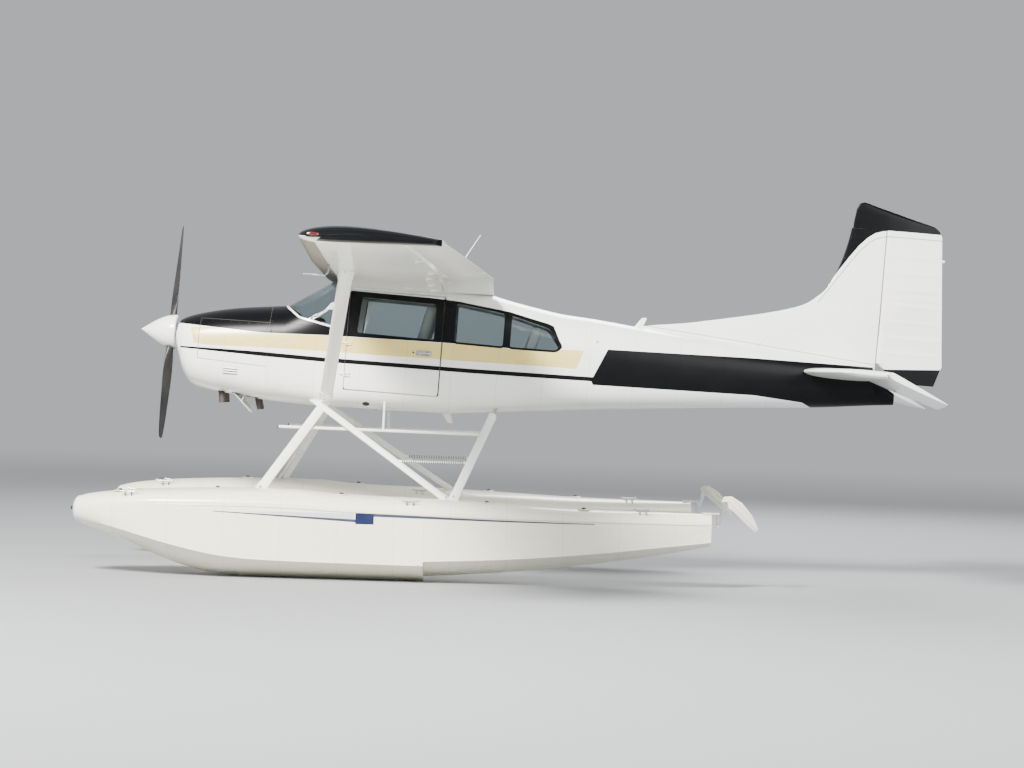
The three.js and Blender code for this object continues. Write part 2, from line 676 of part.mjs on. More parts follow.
function addNose() {
  const outer = fuselageBody(COWL_FRONT, FIREWALL_FRONT - SEAT_GAP);
  const inner = fuselageBody(COWL_FRONT + COWL_WALL, FIREWALL_FRONT + OVERCUT, COWL_WALL);
  const inlet = (side) =>
    solid(
      new THREE.CylinderGeometry(1, 1, 2 * INLET.depth, 14)
        .rotateZ(Math.PI / 2)
        .scale(1, INLET.halfWidth, INLET.halfHeight)
        .translate(COWL_FRONT, side * INLET.y, INLET.z),
    );
  const outlet = (side) =>
    block(
      [OUTLET.front, OUTLET.rear],
      across(side, OUTLET.inner, OUTLET.outer),
      [OUTLET.bottom, OUTLET.top],
    );
  const pipeRod = (side, [x0, z0], [x1, z1], radius) =>
    rod([x0, side * EXHAUST.y, z0], [x1, side * EXHAUST.y, z1], radius, 12);
  const pipeHole = (side) => pipeRod(side, EXHAUST.top, EXHAUST.mouth, EXHAUST_RADII.hole);
  const shaftEnds = [-1, 3].map((share) => [COWL_FRONT + share * OVERCUT, 0, 0]);
  const shaftHole = rod(...shaftEnds, 2 * HUB.shaftRadius, 16);
  const cowling = [-1, 1]
    .flatMap((side) => [inlet(side), outlet(side), pipeHole(side)])
    .reduce((shell, hole) => shell.subtract(hole), outer.subtract(inner).subtract(shaftHole));
  addNode(airframe, "cowling", cowling, WHITE_PAINT);
  addNode(airframe, "firewall", fuselageBody(FIREWALL_FRONT, FIREWALL_REAR), BARE_METAL);

  const pipe = (side) =>
    pipeRod(side, EXHAUST.top, EXHAUST.mouth, EXHAUST_RADII.pipe).subtract(
      pipeRod(side, EXHAUST.boreTop, EXHAUST.boreEnd, EXHAUST_RADII.bore),
    );
  const mount = block(
    [ENGINE.rear - 5, FIREWALL_FRONT - SEAT_GAP],
    [-ENGINE_MOUNT.half, ENGINE_MOUNT.half],
    [ENGINE_MOUNT.bottom, ENGINE_MOUNT.top],
  );
  const engine = block(
    [ENGINE.front, ENGINE.rear],
    [-ENGINE.half, ENGINE.half],
    [ENGINE.bottom, ENGINE.top],
  );
  addNode(airframe, "engine_block", engine.add(mount).add(pipe(1)).add(pipe(-1)), DARK_METAL);


  addCowlFlaps(outer.subtract(inner));
}

// The cowl flaps: patches of the cowl's own skin, opened about their front edge.
function addCowlFlaps(shell) {
  const [x, z] = COWL_FLAP.hinge;
  const patch = shell.intersect(
    block(
      [x + SEAT_GAP, x + COWL_FLAP.length],
      [COWL_FLAP.inner, COWL_FLAP.outer],
      [OUTLET.bottom, OUTLET.top],
    ),
  );
  const opened = new THREE.Group();
  opened.position.set(x, 0, z);
  opened.rotation.y = COWL_FLAP_OPEN;
  const closed = new THREE.Group();
  closed.position.set(-x, 0, -z);
  opened.add(closed);
  airframe.add(opened);
  addPair(closed, "cowl_flap", patch, WHITE_PAINT);
}

// Blade sections: share of the radius, chord, thickness, pitch in degrees.
const BLADE_SECTIONS = [
  [0.05, 70, 62, 48],
  [0.16, 78, 58, 44],
  [0.3, 128, 34, 34],
  [0.5, 158, 20, 25],
  [0.75, 150, 12, 19],
  [0.93, 118, 8, 16],
  [1, 60, 5, 15],
];
const BLADE_POINTS = 10;
function bladeRing([share, chord, thickness, pitch], side) {
  const turn = THREE.MathUtils.degToRad(pitch);
  return Array.from({ length: BLADE_POINTS }, (_, k) => {
    const angle = (k / BLADE_POINTS) * 2 * Math.PI;
    const wide = (Math.cos(angle) * chord) / 2;
    const deep = (Math.sin(angle) * thickness) / 2;
    return [
      PROPELLER_X - wide * Math.sin(turn) + deep * Math.cos(turn),
      side * (wide * Math.cos(turn) + deep * Math.sin(turn)),
      side * share * PROPELLER_RADIUS,
    ];
  });
}

// A spinner's bullet, its tip on the shaft line at the given start.
const SPINNER_STEPS = 6;
function bullet(radius, length, start) {
  const points = Array.from({ length: SPINNER_STEPS + 1 }, (_, k) => {
    const angle = (k / SPINNER_STEPS) * (Math.PI / 2);
    return new THREE.Vector2(radius * Math.sin(angle) ** 0.9, start + length * (1 - Math.cos(angle)));
  });
  const closed = [...points, new THREE.Vector2(0, start + length)];
  return solid(new THREE.LatheGeometry(closed, 16).rotateZ(-Math.PI / 2));
}

function addPropeller() {
  const blades = [1, -1].map((side) => loft(BLADE_SECTIONS.map((row) => bladeRing(row, side))));
  const hub = rod([HUB.front, 0, 0], [HUB.rear, 0, 0], HUB.radius, 16);
  const shaft = rod([SPINNER.length, 0, 0], [ENGINE.front - SEAT_GAP, 0, 0], HUB.shaftRadius, 12);
  const turning = new THREE.Group();
  turning.rotation.x = PROPELLER_TURN;
  airframe.add(turning);
  addNode(turning, "propeller", hub.add(shaft).add(blades[0]).add(blades[1]), BLACK_PAINT);

  const { length, radius, wall } = SPINNER;
  const backPlate = rod([length - wall - 2, 0, 0], [length, 0, 0], radius - 4, 16);
  const hubHole = rod([HUB.front - 2 * OVERCUT, 0, 0], [HUB.rear, 0, 0], HUB.radius + SEAT_GAP, 16);
  const bladeSlot = block(
    [BLADE_SLOT.front, BLADE_SLOT.rear],
    [-BLADE_SLOT.half, BLADE_SLOT.half],
    [-BLADE_SLOT.reach, BLADE_SLOT.reach],
  );
  const spinner = bullet(radius, length, 0)
    .subtract(bullet(radius - wall, length - 2 * wall, 2 * wall + 0.5))
    .add(backPlate)
    .subtract(hubHole)
    .subtract(bladeSlot);
  addNode(turning, "spinner", spinner, WHITE_PAINT);
}

// A hinge line in the wing: the points of its two ends and the wing's half thickness there.
const NOSE_RECESS = 1.5;
function hingeLine({ line, level, span }) {
  return span.map((y) => {
    const [, , chord, , , thickness] = wingSectionAt(y);
    const [top, bottom] = foilHeights(line, thickness, CAMBER);
    return {
      point: wingPoint(y, line, middle(bottom, top, level)),
      radius: ((top - bottom) / 2) * chord - NOSE_RECESS,
    };
  });
}

// The plan outline behind a hinge line, reaching past the trailing edge.
function behind([inner, outer], ahead, side) {
  const rear = inner.point[0] + SKY;
  return [
    [inner.point[0] - ahead, inner.point[1] - side],
    [rear, inner.point[1] - side],
    [rear, outer.point[1] + side],
    [outer.point[0] - ahead, outer.point[1] + side],
  ];
}
function hingesOn([inner, outer], reach) {
  const axis = outer.point.map((value, k) => value - inner.point[k]);
  return HINGE_SHARES.map((share) => {
    const centre = inner.point.map((value, k) => middle(value, outer.point[k], share));
    return hingeStation(centre, axis, reach);
  });
}
const COVE = 12;
const FLAP_ROOM = 2 * MOVING_GAP + OVERCUT;
const tall = (outline) => planPrism(outline, -SKY, 2 * SKY);

function addWings() {
  const whole = wingBody();
  const flapLine = hingeLine(FLAP);
  const aileronLine = hingeLine(AILERON);
  const aileronRoom = aileronLine[0].radius + CONTROL_GAP;

  const aileronHinges = hingesOn(aileronLine, aileronRoom + COVE);
  const aileronNose = noseAlong(
    aileronLine[0].point,
    aileronLine[1].point,
    aileronLine[0].radius,
    aileronLine[1].radius,
  );
  const aileronBody = whole.intersect(tall(behind(aileronLine, 0, 0))).add(aileronNose);
  const aileron = aileronHinges.reduce((shape, h) => shape.subtract(h.pocket), aileronBody);

  const flapHinges = hingesOn(flapLine, FLAP_ROOM + COVE);
  const flapBody = whole.intersect(tall(behind(flapLine, FLAP.noseOverlap, 0)));
  const flap = flapHinges.reduce((shape, h) => shape.subtract(h.pocket), flapBody);

  const cut = whole
    .subtract(tall(behind(aileronLine, aileronRoom, CONTROL_GAP)))
    .subtract(tall(behind(flapLine, FLAP_ROOM, CONTROL_GAP)));
  const fixed = [...aileronHinges, ...flapHinges].reduce((shape, h) => shape.add(h.tongue), cut);
  addPair(airframe, "wing", fixed, WHITE_PAINT);
  addPair(airframe, "aileron", aileron, WHITE_PAINT);
  addPair(airframe, "flap", flap, WHITE_PAINT);

  const strutTop = wingPoint(STRUT_TOP_Y, LIFT_STRUT.topShare, LIFT_STRUT.topDepth);
  const strut = fairedBar(LIFT_STRUT.foot, strutTop, LIFT_STRUT.chord, LIFT_STRUT.thickness)
    .subtract(fuselageBody(COWL_FRONT, CABIN_REAR, -SEAT_GAP))
    .subtract(wingBody(SEAT_GAP));
  addPair(airframe, "lift_strut", largest(strut), WHITE_PAINT);
}

// The biggest of the bodies that a cut leaves.
function largest(shape) {
  return shape.decompose().sort((a, b) => b.volume() - a.volume())[0];
}

const TAIL_END = 7420;
const CONE_SOLID_FROM = 6300;
const TAIL_HALF = 1700;
const elevatorRadius = (y) => {
  const row = TAILPLANE_SECTIONS[Math.abs(y) < TAILPLANE_SECTIONS[1][0] ? 0 : 2];
  const [, leading, trailing, thickness] = row;
  const chord = trailing - leading;
  return foilHeights((ELEVATOR_AXIS[0] - leading) / chord, thickness, 0)[0] * chord - NOSE_RECESS;
};

function addTailCone() {
  const [hingeX, hingeZ] = ELEVATOR_AXIS;
  const slot = tailplaneBody(SEAT_GAP).intersect(
    block([CONE_SOLID_FROM, hingeX - 30], [-WIDE, WIDE], [-WIDE, WIDE]),
  );
  const room = ELEVATOR.tubeRadius + ELEVATOR.tubeRoom;
  const tubeHole = rod([hingeX, -WIDE, hingeZ], [hingeX, WIDE, hingeZ], room, 16).add(
    block([hingeX - room, TAIL_END], [-WIDE, WIDE], [hingeZ - room, hingeZ + room]),
  );
  const cone = fuselageBody(CABIN_REAR + SEAT_GAP, TAIL_END)
    .subtract(fuselageBody(CABIN_REAR - OVERCUT, CONE_SOLID_FROM, TAIL_WALL))
    .subtract(slot)
    .subtract(tubeHole);
  addNode(airframe, "tail_cone", largest(cone), WHITE_PAINT);
}

function addTailplane() {
  const [hingeX, hingeZ] = ELEVATOR_AXIS;
  const whole = tailplaneBody();
  const station = (y) =>
    hingeStation([hingeX, y, hingeZ], [0, 1, 0], elevatorRadius(y) + 2 * MOVING_GAP + COVE);
  const stations = [-1, 1].flatMap((side) => ELEVATOR_HINGES.map((y) => station(side * y)));
  const halfOutline = (side) => [
    [hingeX, side * ELEVATOR.inner],
    [hingeX + SKY, side * ELEVATOR.cutback],
    [hingeX + SKY, side * ELEVATOR.outer],
    [hingeX, side * ELEVATOR.outer],
  ];
  const half = (side) => {
    const outline = side > 0 ? halfOutline(side) : halfOutline(side).reverse();
    const inner = [hingeX, side * ELEVATOR.inner, hingeZ];
    const outer = [hingeX, side * ELEVATOR.outer, hingeZ];
    return whole
      .intersect(planPrism(outline, -SKY, SKY))
      .add(noseAlong(inner, outer, elevatorRadius(0), elevatorRadius(ELEVATOR.outer)));
  };
  const tubeEnd = ELEVATOR.inner + OVERCUT;
  const tube = rod([hingeX, -tubeEnd, hingeZ], [hingeX, tubeEnd, hingeZ], ELEVATOR.tubeRadius, 12);
  const elevator = stations.reduce((shape, h) => shape.subtract(h.pocket), half(1).add(half(-1)).add(tube));
  const drooping = new THREE.Group();
  drooping.position.set(hingeX, 0, hingeZ);
  drooping.rotation.y = ELEVATOR_DROOP;
  airframe.add(drooping);
  addNode(drooping, "elevator", elevator, WHITE_PAINT).position.set(-hingeX, 0, -hingeZ);

  const rear = hingeX - elevatorRadius(0) - CONTROL_GAP;
  const fixed = whole.intersect(block([CONE_SOLID_FROM, rear], [-TAIL_HALF, TAIL_HALF], [-SKY, SKY]));
  const stabiliser = stations.reduce((shape, h) => shape.add(h.tongue), fixed);
  addNode(airframe, "stabiliser", stabiliser, WHITE_PAINT);
}

function addFin() {
  const tail = finBody();
  const radiusAt = (z) => {
    const share = (z - RUDDER_NOSE.from) / (RUDDER_NOSE.to - RUDDER_NOSE.from);
    return middle(RUDDER_NOSE.low, RUDDER_NOSE.high, share);
  };
  const finRear = RUDDER_AXIS_X - radiusAt(FIN_BASE) - MOVING_GAP;
  const finOutline = [
    [4700, FIN_BASE],
    [finRear, FIN_BASE],
    [finRear, HORN_CUT],
    [6700, HORN_CUT],
    [4700, 800],
  ];
  const hinges = RUDDER_HINGE_HEIGHTS.map((z) =>
    hingeStation([RUDDER_AXIS_X, 0, z], [0, 0, 1], radiusAt(z) + 2 * MOVING_GAP + COVE),
  );
  const finBare = tail
    .intersect(sidePrism(finOutline, -WIDE, WIDE))
    .subtract(fuselageBody(CABIN_REAR, TAIL_END, -SEAT_GAP))
    .subtract(tailplaneBody(SEAT_GAP));
  const fin = hinges.reduce((shape, h) => shape.add(h.tongue), largest(finBare));
  addNode(airframe, "fin", fin, WHITE_PAINT);

  const hornBase = HORN_CUT + MOVING_GAP;
  const rudderOutline = [
    [RUDDER_AXIS_X, 262],
    [7480, 66],
    [7800, 66],
    [7868, 239],
    [7770, 1534],
    [7745, 1590],
    [7680, 1637],
    [6985, 1824],
    [6950, 1812],
    [6915, 1768],
    [6890, hornBase],
    [RUDDER_AXIS_X, hornBase],
  ];
  const nose = noseAlong(
    [RUDDER_AXIS_X, 0, RUDDER_NOSE.bottom],
    [RUDDER_AXIS_X, 0, hornBase + MOVING_GAP],
    radiusAt(RUDDER_NOSE.bottom),
    radiusAt(HORN_CUT),
  );
  const rudderBody = tail.intersect(sidePrism(rudderOutline, -WIDE, WIDE)).add(nose);
  const rudder = hinges.reduce((shape, h) => shape.subtract(h.pocket), rudderBody);
  addNode(airframe, "rudder", rudder, WHITE_PAINT);
}

// The float gear's joints, in the keel frame: places on the right side.
const GEAR = {
  frontTop: [1893, 374, 1688],
  frontFoot: [1305, 1270, 775],
  diagonalTop: [1703, 390, 1675],
  diagonalFoot: [3100, 1270, 735],
  rearTop: [3558, 245, 1735],
  rearFoot: [3120, 1270, 735],
  railFront: [1430, 626, 1385],
  railRear: [3412, 578, 1362],
  railMiddle: [2430, 602, 1374],
  railPost: [2430, 450, 1700],
  rungFront: [2565, 933, 1095],
  rungRear: [3277, 901, 1095],
};

// Each float strut: its two ends, chord and thickness. Each step: its two ends and radius.
const GEAR_STRUTS = {
  front: ["frontTop", "frontFoot", 95, 48],
  rear: ["rearTop", "rearFoot", 85, 44],
  diagonal: ["diagonalTop", "diagonalFoot", 70, 40],
};
const GEAR_STEPS = {
  rung: ["rungFront", "rungRear", 13],
  rail: ["railFront", "railRear", 15],
  railPost: ["railMiddle", "railPost", 11],
};

function addFloatGear() {
  const hull = fuselageBody(COWL_FRONT, CABIN_REAR, -SEAT_GAP);
  const floats = [1, -1].map(floatInAirframe);
  const at = (name) => fromKeel(GEAR[name]);
  const strut = (name, grow = 0) => {
    const [from, to, chord, thickness] = GEAR_STRUTS[name];
    return fairedBar(at(from), at(to), chord + 2 * grow, thickness + 2 * grow);
  };
  const step = (name) => {
    const [from, to, radius] = GEAR_STEPS[name];
    return rod(at(from), at(to), radius);
  };
  const seated = (shape) => largest(shape.subtract(hull).subtract(floats[0]));
  const diagonal = seated(strut("diagonal"))
    .add(step("rung"))
    .subtract(strut("front", SEAT_GAP))
    .subtract(strut("rear", SEAT_GAP));
  const rail = step("rail")
    .add(step("railPost"))
    .subtract(hull)
    .subtract(strut("front", SEAT_GAP))
    .subtract(strut("diagonal", SEAT_GAP))
    .subtract(strut("rear", SEAT_GAP));
  addPair(airframe, "front_float_strut", seated(strut("front")), WHITE_PAINT);
  addPair(airframe, "rear_float_strut", seated(strut("rear")), WHITE_PAINT);
  addPair(airframe, "diagonal_float_strut", largest(diagonal), WHITE_PAINT);
  addPair(airframe, "step_rail", largest(rail), WHITE_PAINT);

  for (const [k, name] of ["front_spreader_bar", "rear_spreader_bar"].entries()) {
    const end = (side) => fromKeel([SPREADER.x[k], side * SPREADER.reach, SPREADER.height]);
    const bare = fairedBar(end(-1), end(1), SPREADER.chord, SPREADER.thickness);
    addNode(airframe, name, largest(bare.subtract(floats[0]).subtract(floats[1])), WHITE_PAINT);
  }
}

function addFloats() {
  const upright = (z0, z1, radius, segments) =>
    rod([RUDDER_POST_X, FLOAT_Y, z0], [RUDDER_POST_X, FLOAT_Y, z1], radius, segments);
  const lugs = POST.lugs.map((z) =>
    block(
      [STERN_X - 3 * OVERCUT, RUDDER_POST_X],
      [FLOAT_Y - POST.lugRadius, FLOAT_Y + POST.lugRadius],
      [z - POST.lugHalf, z + POST.lugHalf],
    ).add(upright(z - POST.lugHalf, z + POST.lugHalf, POST.lugRadius, 14)),
  );
  const pin = upright(POST.lugs[0] - POST.lugHalf, POST.lugs[1] + POST.lugHalf, POST.pin, 12);
  const hull = lugs.reduce((shape, lug) => shape.add(lug), floatBody()).add(pin);
  addPair(aircraft, "float", hull, FLOAT_PAINT);

  const [px, pz] = BLADE_PIVOT;
  const neckOutline = [
    [RUDDER_POST_X + 10, 605],
    [RUDDER_POST_X + 24, 605],
    [px + 18, pz - 30],
    [px + 18, pz + 20],
    [px - 18, pz + 20],
    [px - 30, 740],
    [RUDDER_POST_X + 20, 690],
    [RUDDER_POST_X + 10, 690],
  ];
  const pinHole = bore(...POST.lugs.map((z) => [RUDDER_POST_X, FLOAT_Y, z]), POST.pin, 12);
  const sleeve = upright(...POST.sleeveSpan, POST.sleeve, 14).subtract(pinHole);
  const neck = sidePrism(neckOutline, FLOAT_Y - BLADE.neckHalf, FLOAT_Y + BLADE.neckHalf);
  const bladeRoom = block(
    [RUDDER_POST_X + POST.sleeve + 2, px + 100],
    [FLOAT_Y - BLADE.slotHalf, FLOAT_Y + BLADE.slotHalf],
    [POST.sleeveSpan[0], pz + 60],
  );
  const pivotEnds = [-1, 1].map((side) => [px, FLOAT_Y + side * BLADE.neckHalf, pz]);
  const crossPin = rod(...pivotEnds, BLADE.pin);
  addPair(aircraft, "water_rudder_post", sleeve.add(neck.subtract(bladeRoom)).add(crossPin), BARE_METAL);

  const bladeOutline = [
    [px - 32, pz + 22],
    [px - 10, pz + 66],
    [px + 60, pz + 72],
    [px + 160, pz + 12],
    [px + 262, pz - 110],
    [px + 318, pz - 232],
    [px + 296, pz - 258],
    [px + 214, pz - 196],
    [px + 96, pz - 84],
    [px + 10, pz - 24],
  ];
  const blade = sidePrism(bladeOutline, FLOAT_Y - BLADE.half, FLOAT_Y + BLADE.half, 8);
  addPair(aircraft, "water_rudder_blade", blade.subtract(bore(...pivotEnds, BLADE.pin)), FLOAT_PAINT);
}

// Cabin furniture
const PANEL = { front: 1690, rear: 1735, bottom: -70, top: 238 };
const WHEEL = { x: 1930, y: 255, z: 108, radius: 118, thick: 11, flat: 0.72, shaft: 12 };
const SEAT_CUSHION = [
  [2290, -110],
  [2760, -130],
  [2760, -10],
  [2700, 5],
  [2300, 20],
];
const SEAT_BACK = [
  [2680, -60],
  [2780, -60],
  [2905, 400],
  [2905, 440],
  [2830, 455],
  [2800, 440],
];
const SEAT_FEET = { x: [2340, 2680], y: [90, 390], width: 40, top: -100 };
const SEAT_SPAN = [55, 465];
const BENCH_CUSHION = [
  [3330, -150],
  [3790, -170],
  [3790, -50],
  [3340, -25],
];
const BENCH_BACK = [
  [3720, -90],
  [3810, -90],
  [3905, 250],
  [3900, 330],
  [3835, 330],
];
const BENCH_FEET = { x: [3360, 3760], y: [340, 380], top: -140 };
const BENCH_HALF = 430;
const CUSHION_CORNER = 12;
const BACK_INSET = 10;

function addInterior() {
  const cavity = fuselageBody(FIREWALL_REAR, CABIN_REAR, WALL + SEAT_GAP);
  const board = block([PANEL.front, PANEL.rear], [-WIDE, WIDE], [PANEL.bottom, PANEL.top]).intersect(cavity);
  const wheel = (y) => {
    const ring = new THREE.TorusGeometry(WHEEL.radius, WHEEL.thick, 6, 18).scale(1, WHEEL.flat, 1);
    const upright = ring.rotateX(Math.PI / 2).rotateZ(Math.PI / 2).translate(WHEEL.x, y, WHEEL.z);
    const shaft = rod([PANEL.rear - 5, y, WHEEL.z], [WHEEL.x + 2, y, WHEEL.z], WHEEL.shaft, 8);
    const half = WHEEL.radius - WHEEL.thick / 2;
    const spoke = block(
      [WHEEL.x - WHEEL.shaft + 2, WHEEL.x + WHEEL.shaft - 2],
      [y - half, y + half],
      [WHEEL.z - WHEEL.shaft, WHEEL.z + WHEEL.shaft],
    );
    return solid(upright).add(shaft).add(spoke);
  };
  const panel = board.add(wheel(WHEEL.y)).add(wheel(-WHEEL.y));
  addNode(airframe, "instrument_panel", panel, DARK_METAL);

  const floorAt = (x) => lineHeight(SILL_LINE, x) + SEAT_GAP;
  const [seatIn, seatOut] = SEAT_SPAN;
  const feet = SEAT_FEET.x.flatMap((x) =>
    SEAT_FEET.y.map((y) => {
      const top = SEAT_FEET.top;
      return block([x, x + SEAT_FEET.width], [y, y + SEAT_FEET.width], [floorAt(x + SEAT_FEET.width), top]);
    }),
  );
  const back = sidePrism(SEAT_BACK, seatIn + BACK_INSET, seatOut - BACK_INSET, CUSHION_CORNER);
  const cushion = sidePrism(SEAT_CUSHION, seatIn, seatOut, CUSHION_CORNER).add(back);
  addPair(airframe, "front_seat", feet.reduce((shape, foot) => shape.add(foot), cushion), CLOTH);

  const [frontFoot, rearFoot] = BENCH_FEET.x;
  const footOutline = [
    [frontFoot, floorAt(frontFoot)],
    [rearFoot, floorAt(rearFoot)],
    [rearFoot, BENCH_FEET.top],
    [frontFoot, BENCH_FEET.top],
  ];
  const backHalf = BENCH_HALF - 3 * BACK_INSET;
  const bench = [-1, 1].reduce(
    (shape, side) => shape.add(sidePrism(footOutline, ...across(side, ...BENCH_FEET.y))),
    sidePrism(BENCH_CUSHION, -BENCH_HALF, BENCH_HALF, CUSHION_CORNER).add(
      sidePrism(BENCH_BACK, -backHalf, backHalf, CUSHION_CORNER),
    ),
  );
  addNode(airframe, "rear_bench", bench.intersect(cavity), CLOTH);
}

// The whip aerial stands on the wing's centre section and leans aft.
const WHIP = { foot: [2984, 0, 660], tip: [3245, 0, 1190], footRadius: 7, tipRadius: 3 };
function addAerial() {
  const whip = rod(WHIP.foot, WHIP.tip, WHIP.footRadius, 6, WHIP.tipRadius);
  const parts = whip.subtract(centreSectionGrown).decompose();
  const topOf = (body) => body.boundingBox().max[2];
  const top = parts.reduce((best, body) => (topOf(body) > topOf(best) ? body : best));
  addNode(airframe, "whip_antenna", top, BLACK_PAINT);
}

addCabin();
addNose();
addPropeller();
addWings();
addTailCone();
addTailplane();
addFin();
addFloatGear();
addFloats();
addInterior();
addAerial();

// The origin is under the middle of the whole aircraft.
const box = new THREE.Box3().setFromObject(aircraft, true);
aircraft.position.x = -(box.min.x + box.max.x) / 2;

export default aircraft;
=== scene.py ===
"""A high-wing floatplane on two straight floats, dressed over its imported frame.

Row frame: metres, +X aft, +Y to the right wing, +Z up, with the float keels on z = 0.
Airframe frame: s aft of the spinner's tip, y to the right, w above the propeller shaft.
Keel frame: x aft of the spinner's tip, y to the right, z above the keels.
"""

import logging
import math
from dataclasses import dataclass, field
from enum import Enum
from typing import Callable, ClassVar, Sequence

import bmesh
import bpy
import numpy as np
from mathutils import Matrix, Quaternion, Vector
from mathutils.geometry import delaunay_2d_cdt


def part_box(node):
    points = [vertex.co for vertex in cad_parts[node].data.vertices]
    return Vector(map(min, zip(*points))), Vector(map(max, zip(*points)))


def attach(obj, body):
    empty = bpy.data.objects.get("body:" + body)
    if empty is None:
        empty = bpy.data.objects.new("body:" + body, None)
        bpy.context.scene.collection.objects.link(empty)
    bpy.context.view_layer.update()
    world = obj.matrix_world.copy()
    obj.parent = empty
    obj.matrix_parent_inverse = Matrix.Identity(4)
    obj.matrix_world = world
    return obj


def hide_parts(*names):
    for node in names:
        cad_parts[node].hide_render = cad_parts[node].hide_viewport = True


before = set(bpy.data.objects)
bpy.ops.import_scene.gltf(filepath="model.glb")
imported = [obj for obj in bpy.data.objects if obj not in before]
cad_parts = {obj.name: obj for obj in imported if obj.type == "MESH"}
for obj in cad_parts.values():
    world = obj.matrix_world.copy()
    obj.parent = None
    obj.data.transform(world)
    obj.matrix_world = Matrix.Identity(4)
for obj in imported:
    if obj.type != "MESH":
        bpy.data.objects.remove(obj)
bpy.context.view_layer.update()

Array = np.ndarray
LOG = logging.getLogger("floatplane")

NOSE_UP = math.radians(3.0)
SHAFT_Z = 2.295
NOSE_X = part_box("spinner")[0].x
WELD = 1e-5
SIDES = {1: "right", -1: "left"}
AFT = np.array([1.0, 0.0, 0.0])


# Frames


def from_airframe(points: Array) -> Array:
    """Airframe places in the row frame: turned nose-up about y, then set on the shaft's height.

    Args:
        points: places as (..., 3) of s, y, w.

    Returns:
        The same places as (..., 3) of row x, y, z.
    """
    p = np.asarray(points, float)
    s, y, w = p[..., 0], p[..., 1], p[..., 2]
    x = s * math.cos(NOSE_UP) + w * math.sin(NOSE_UP) + NOSE_X
    return np.stack([x, y, w * math.cos(NOSE_UP) - s * math.sin(NOSE_UP) + SHAFT_Z], -1)


def from_keel(points: Array) -> Array:
    """Keel-frame places in the row frame: x is counted from the nose, and nothing else changes."""
    return np.asarray(points, float) + (NOSE_X, 0.0, 0.0)


# Lines and curves


Change = Callable[[Array], Array]


def around(count: int) -> Array:
    """Angles evenly spaced once round, the first one zero."""
    return np.arange(count) / count * 2 * np.pi


def unit(vectors: Array) -> Array:
    """Each vector divided by its length, and zero where it has none."""
    v = np.asarray(vectors, float)
    return v / np.maximum(np.linalg.norm(v, axis=-1, keepdims=True), 1e-12)


class Table:
    """A table of stations with smooth values between them.

    Each column is a monotone cubic: at a station its slope is the harmonic mean of the two
    neighbouring slopes, or none where they differ in sign. At a break the line may kink.
    """

    def __init__(self, rows: Sequence[Sequence[float]], breaks: Sequence[float] = ()) -> None:
        """Cuts the rows into smooth runs.

        Args:
            rows: the stations, each a place and its values.
            breaks: the places where a new run starts.
        """
        data = np.array(rows, float)
        cuts = [0, *[int(np.argmin(abs(data[:, 0] - b))) for b in breaks], len(data) - 1]
        self.runs = [self._run(data[a : b + 1]) for a, b in zip(cuts[:-1], cuts[1:])]

    @staticmethod
    def _run(data: Array) -> tuple[Array, Array, Array]:
        """The places, values and slopes of one run.

        Args:
            data: the stations of the run.

        Returns:
            Its places, values and slopes.
        """
        x, y = data[:, 0], data[:, 1:]
        step = np.diff(x)[:, None]
        rise = np.diff(y, axis=0) / step
        slope = np.zeros_like(y)
        slope[0], slope[-1] = rise[0], rise[-1]
        if len(x) > 2:
            a, b = rise[:-1], rise[1:]
            same = a * b > 0
            slope[1:-1] = np.where(same, 2 * a * b / np.where(same, a + b, 1.0), 0.0)
        return x, y, slope

    def at(self, place: Array) -> Array:
        """The values at each place, by the cubic Hermite formula between its two stations.

        Args:
            place: any array of places; beyond the ends the end values hold.

        Returns:
            An array with one more axis, the columns.
        """
        place = np.asarray(place, float)
        out = None
        for x, y, slope in self.runs:
            q = np.clip(place, x[0], x[-1])
            k = np.clip(np.searchsorted(x, q, side="right") - 1, 0, len(x) - 2)
            h = (x[k + 1] - x[k])[..., None]
            t = ((q - x[k]) / (x[k + 1] - x[k]))[..., None]
            value = (
                (1 + 2 * t) * (1 - t) ** 2 * y[k]
                + t * (1 - t) ** 2 * h * slope[k]
                + t * t * (3 - 2 * t) * y[k + 1]
                + t * t * (t - 1) * h * slope[k + 1]
            )
            out = value if out is None else np.where((place >= x[0])[..., None], value, out)
        return out


def dense(line: Sequence[Sequence[float]], step: float, closed: bool = True) -> Array:
    """Points along a line, none further apart than step.

    Args:
        line: the corners, (n, 2).
        step: the greatest distance between neighbours.
        closed: whether the last corner joins the first.

    Returns:
        The points, (m, 2), without a repeat of the first one where the line is closed.
    """
    p = np.asarray(line, float)
    q = np.roll(p, -1, axis=0) if closed else p[1:]
    runs = [
        np.linspace(a, b, max(int(np.ceil(np.linalg.norm(b - a) / step)), 1), endpoint=False)
        for a, b in zip(p, q)
        if np.linalg.norm(b - a) > WELD
    ]
    return np.concatenate(runs if closed else [*runs, p[-1:]])


def rounded(corners: Sequence[Sequence[float]], radius: float, steps: int = 7) -> Array:
    """The outline with each corner replaced by a parabola that starts and ends radius from it.

    Args:
        corners: the outline, (n, 2).
        radius: how far from a corner its curve starts.
        steps: the points of a curve.

    Returns:
        The outline, (n x steps, 2).
    """
    p = np.asarray(corners, float)
    start = p + unit(np.roll(p, 1, axis=0) - p) * radius
    end = p + unit(np.roll(p, -1, axis=0) - p) * radius
    t = np.linspace(0, 1, steps)[None, :, None]
    curve = (1 - t) ** 2 * start[:, None] + 2 * t * (1 - t) * p[:, None] + t * t * end[:, None]
    return curve.reshape(-1, 2)


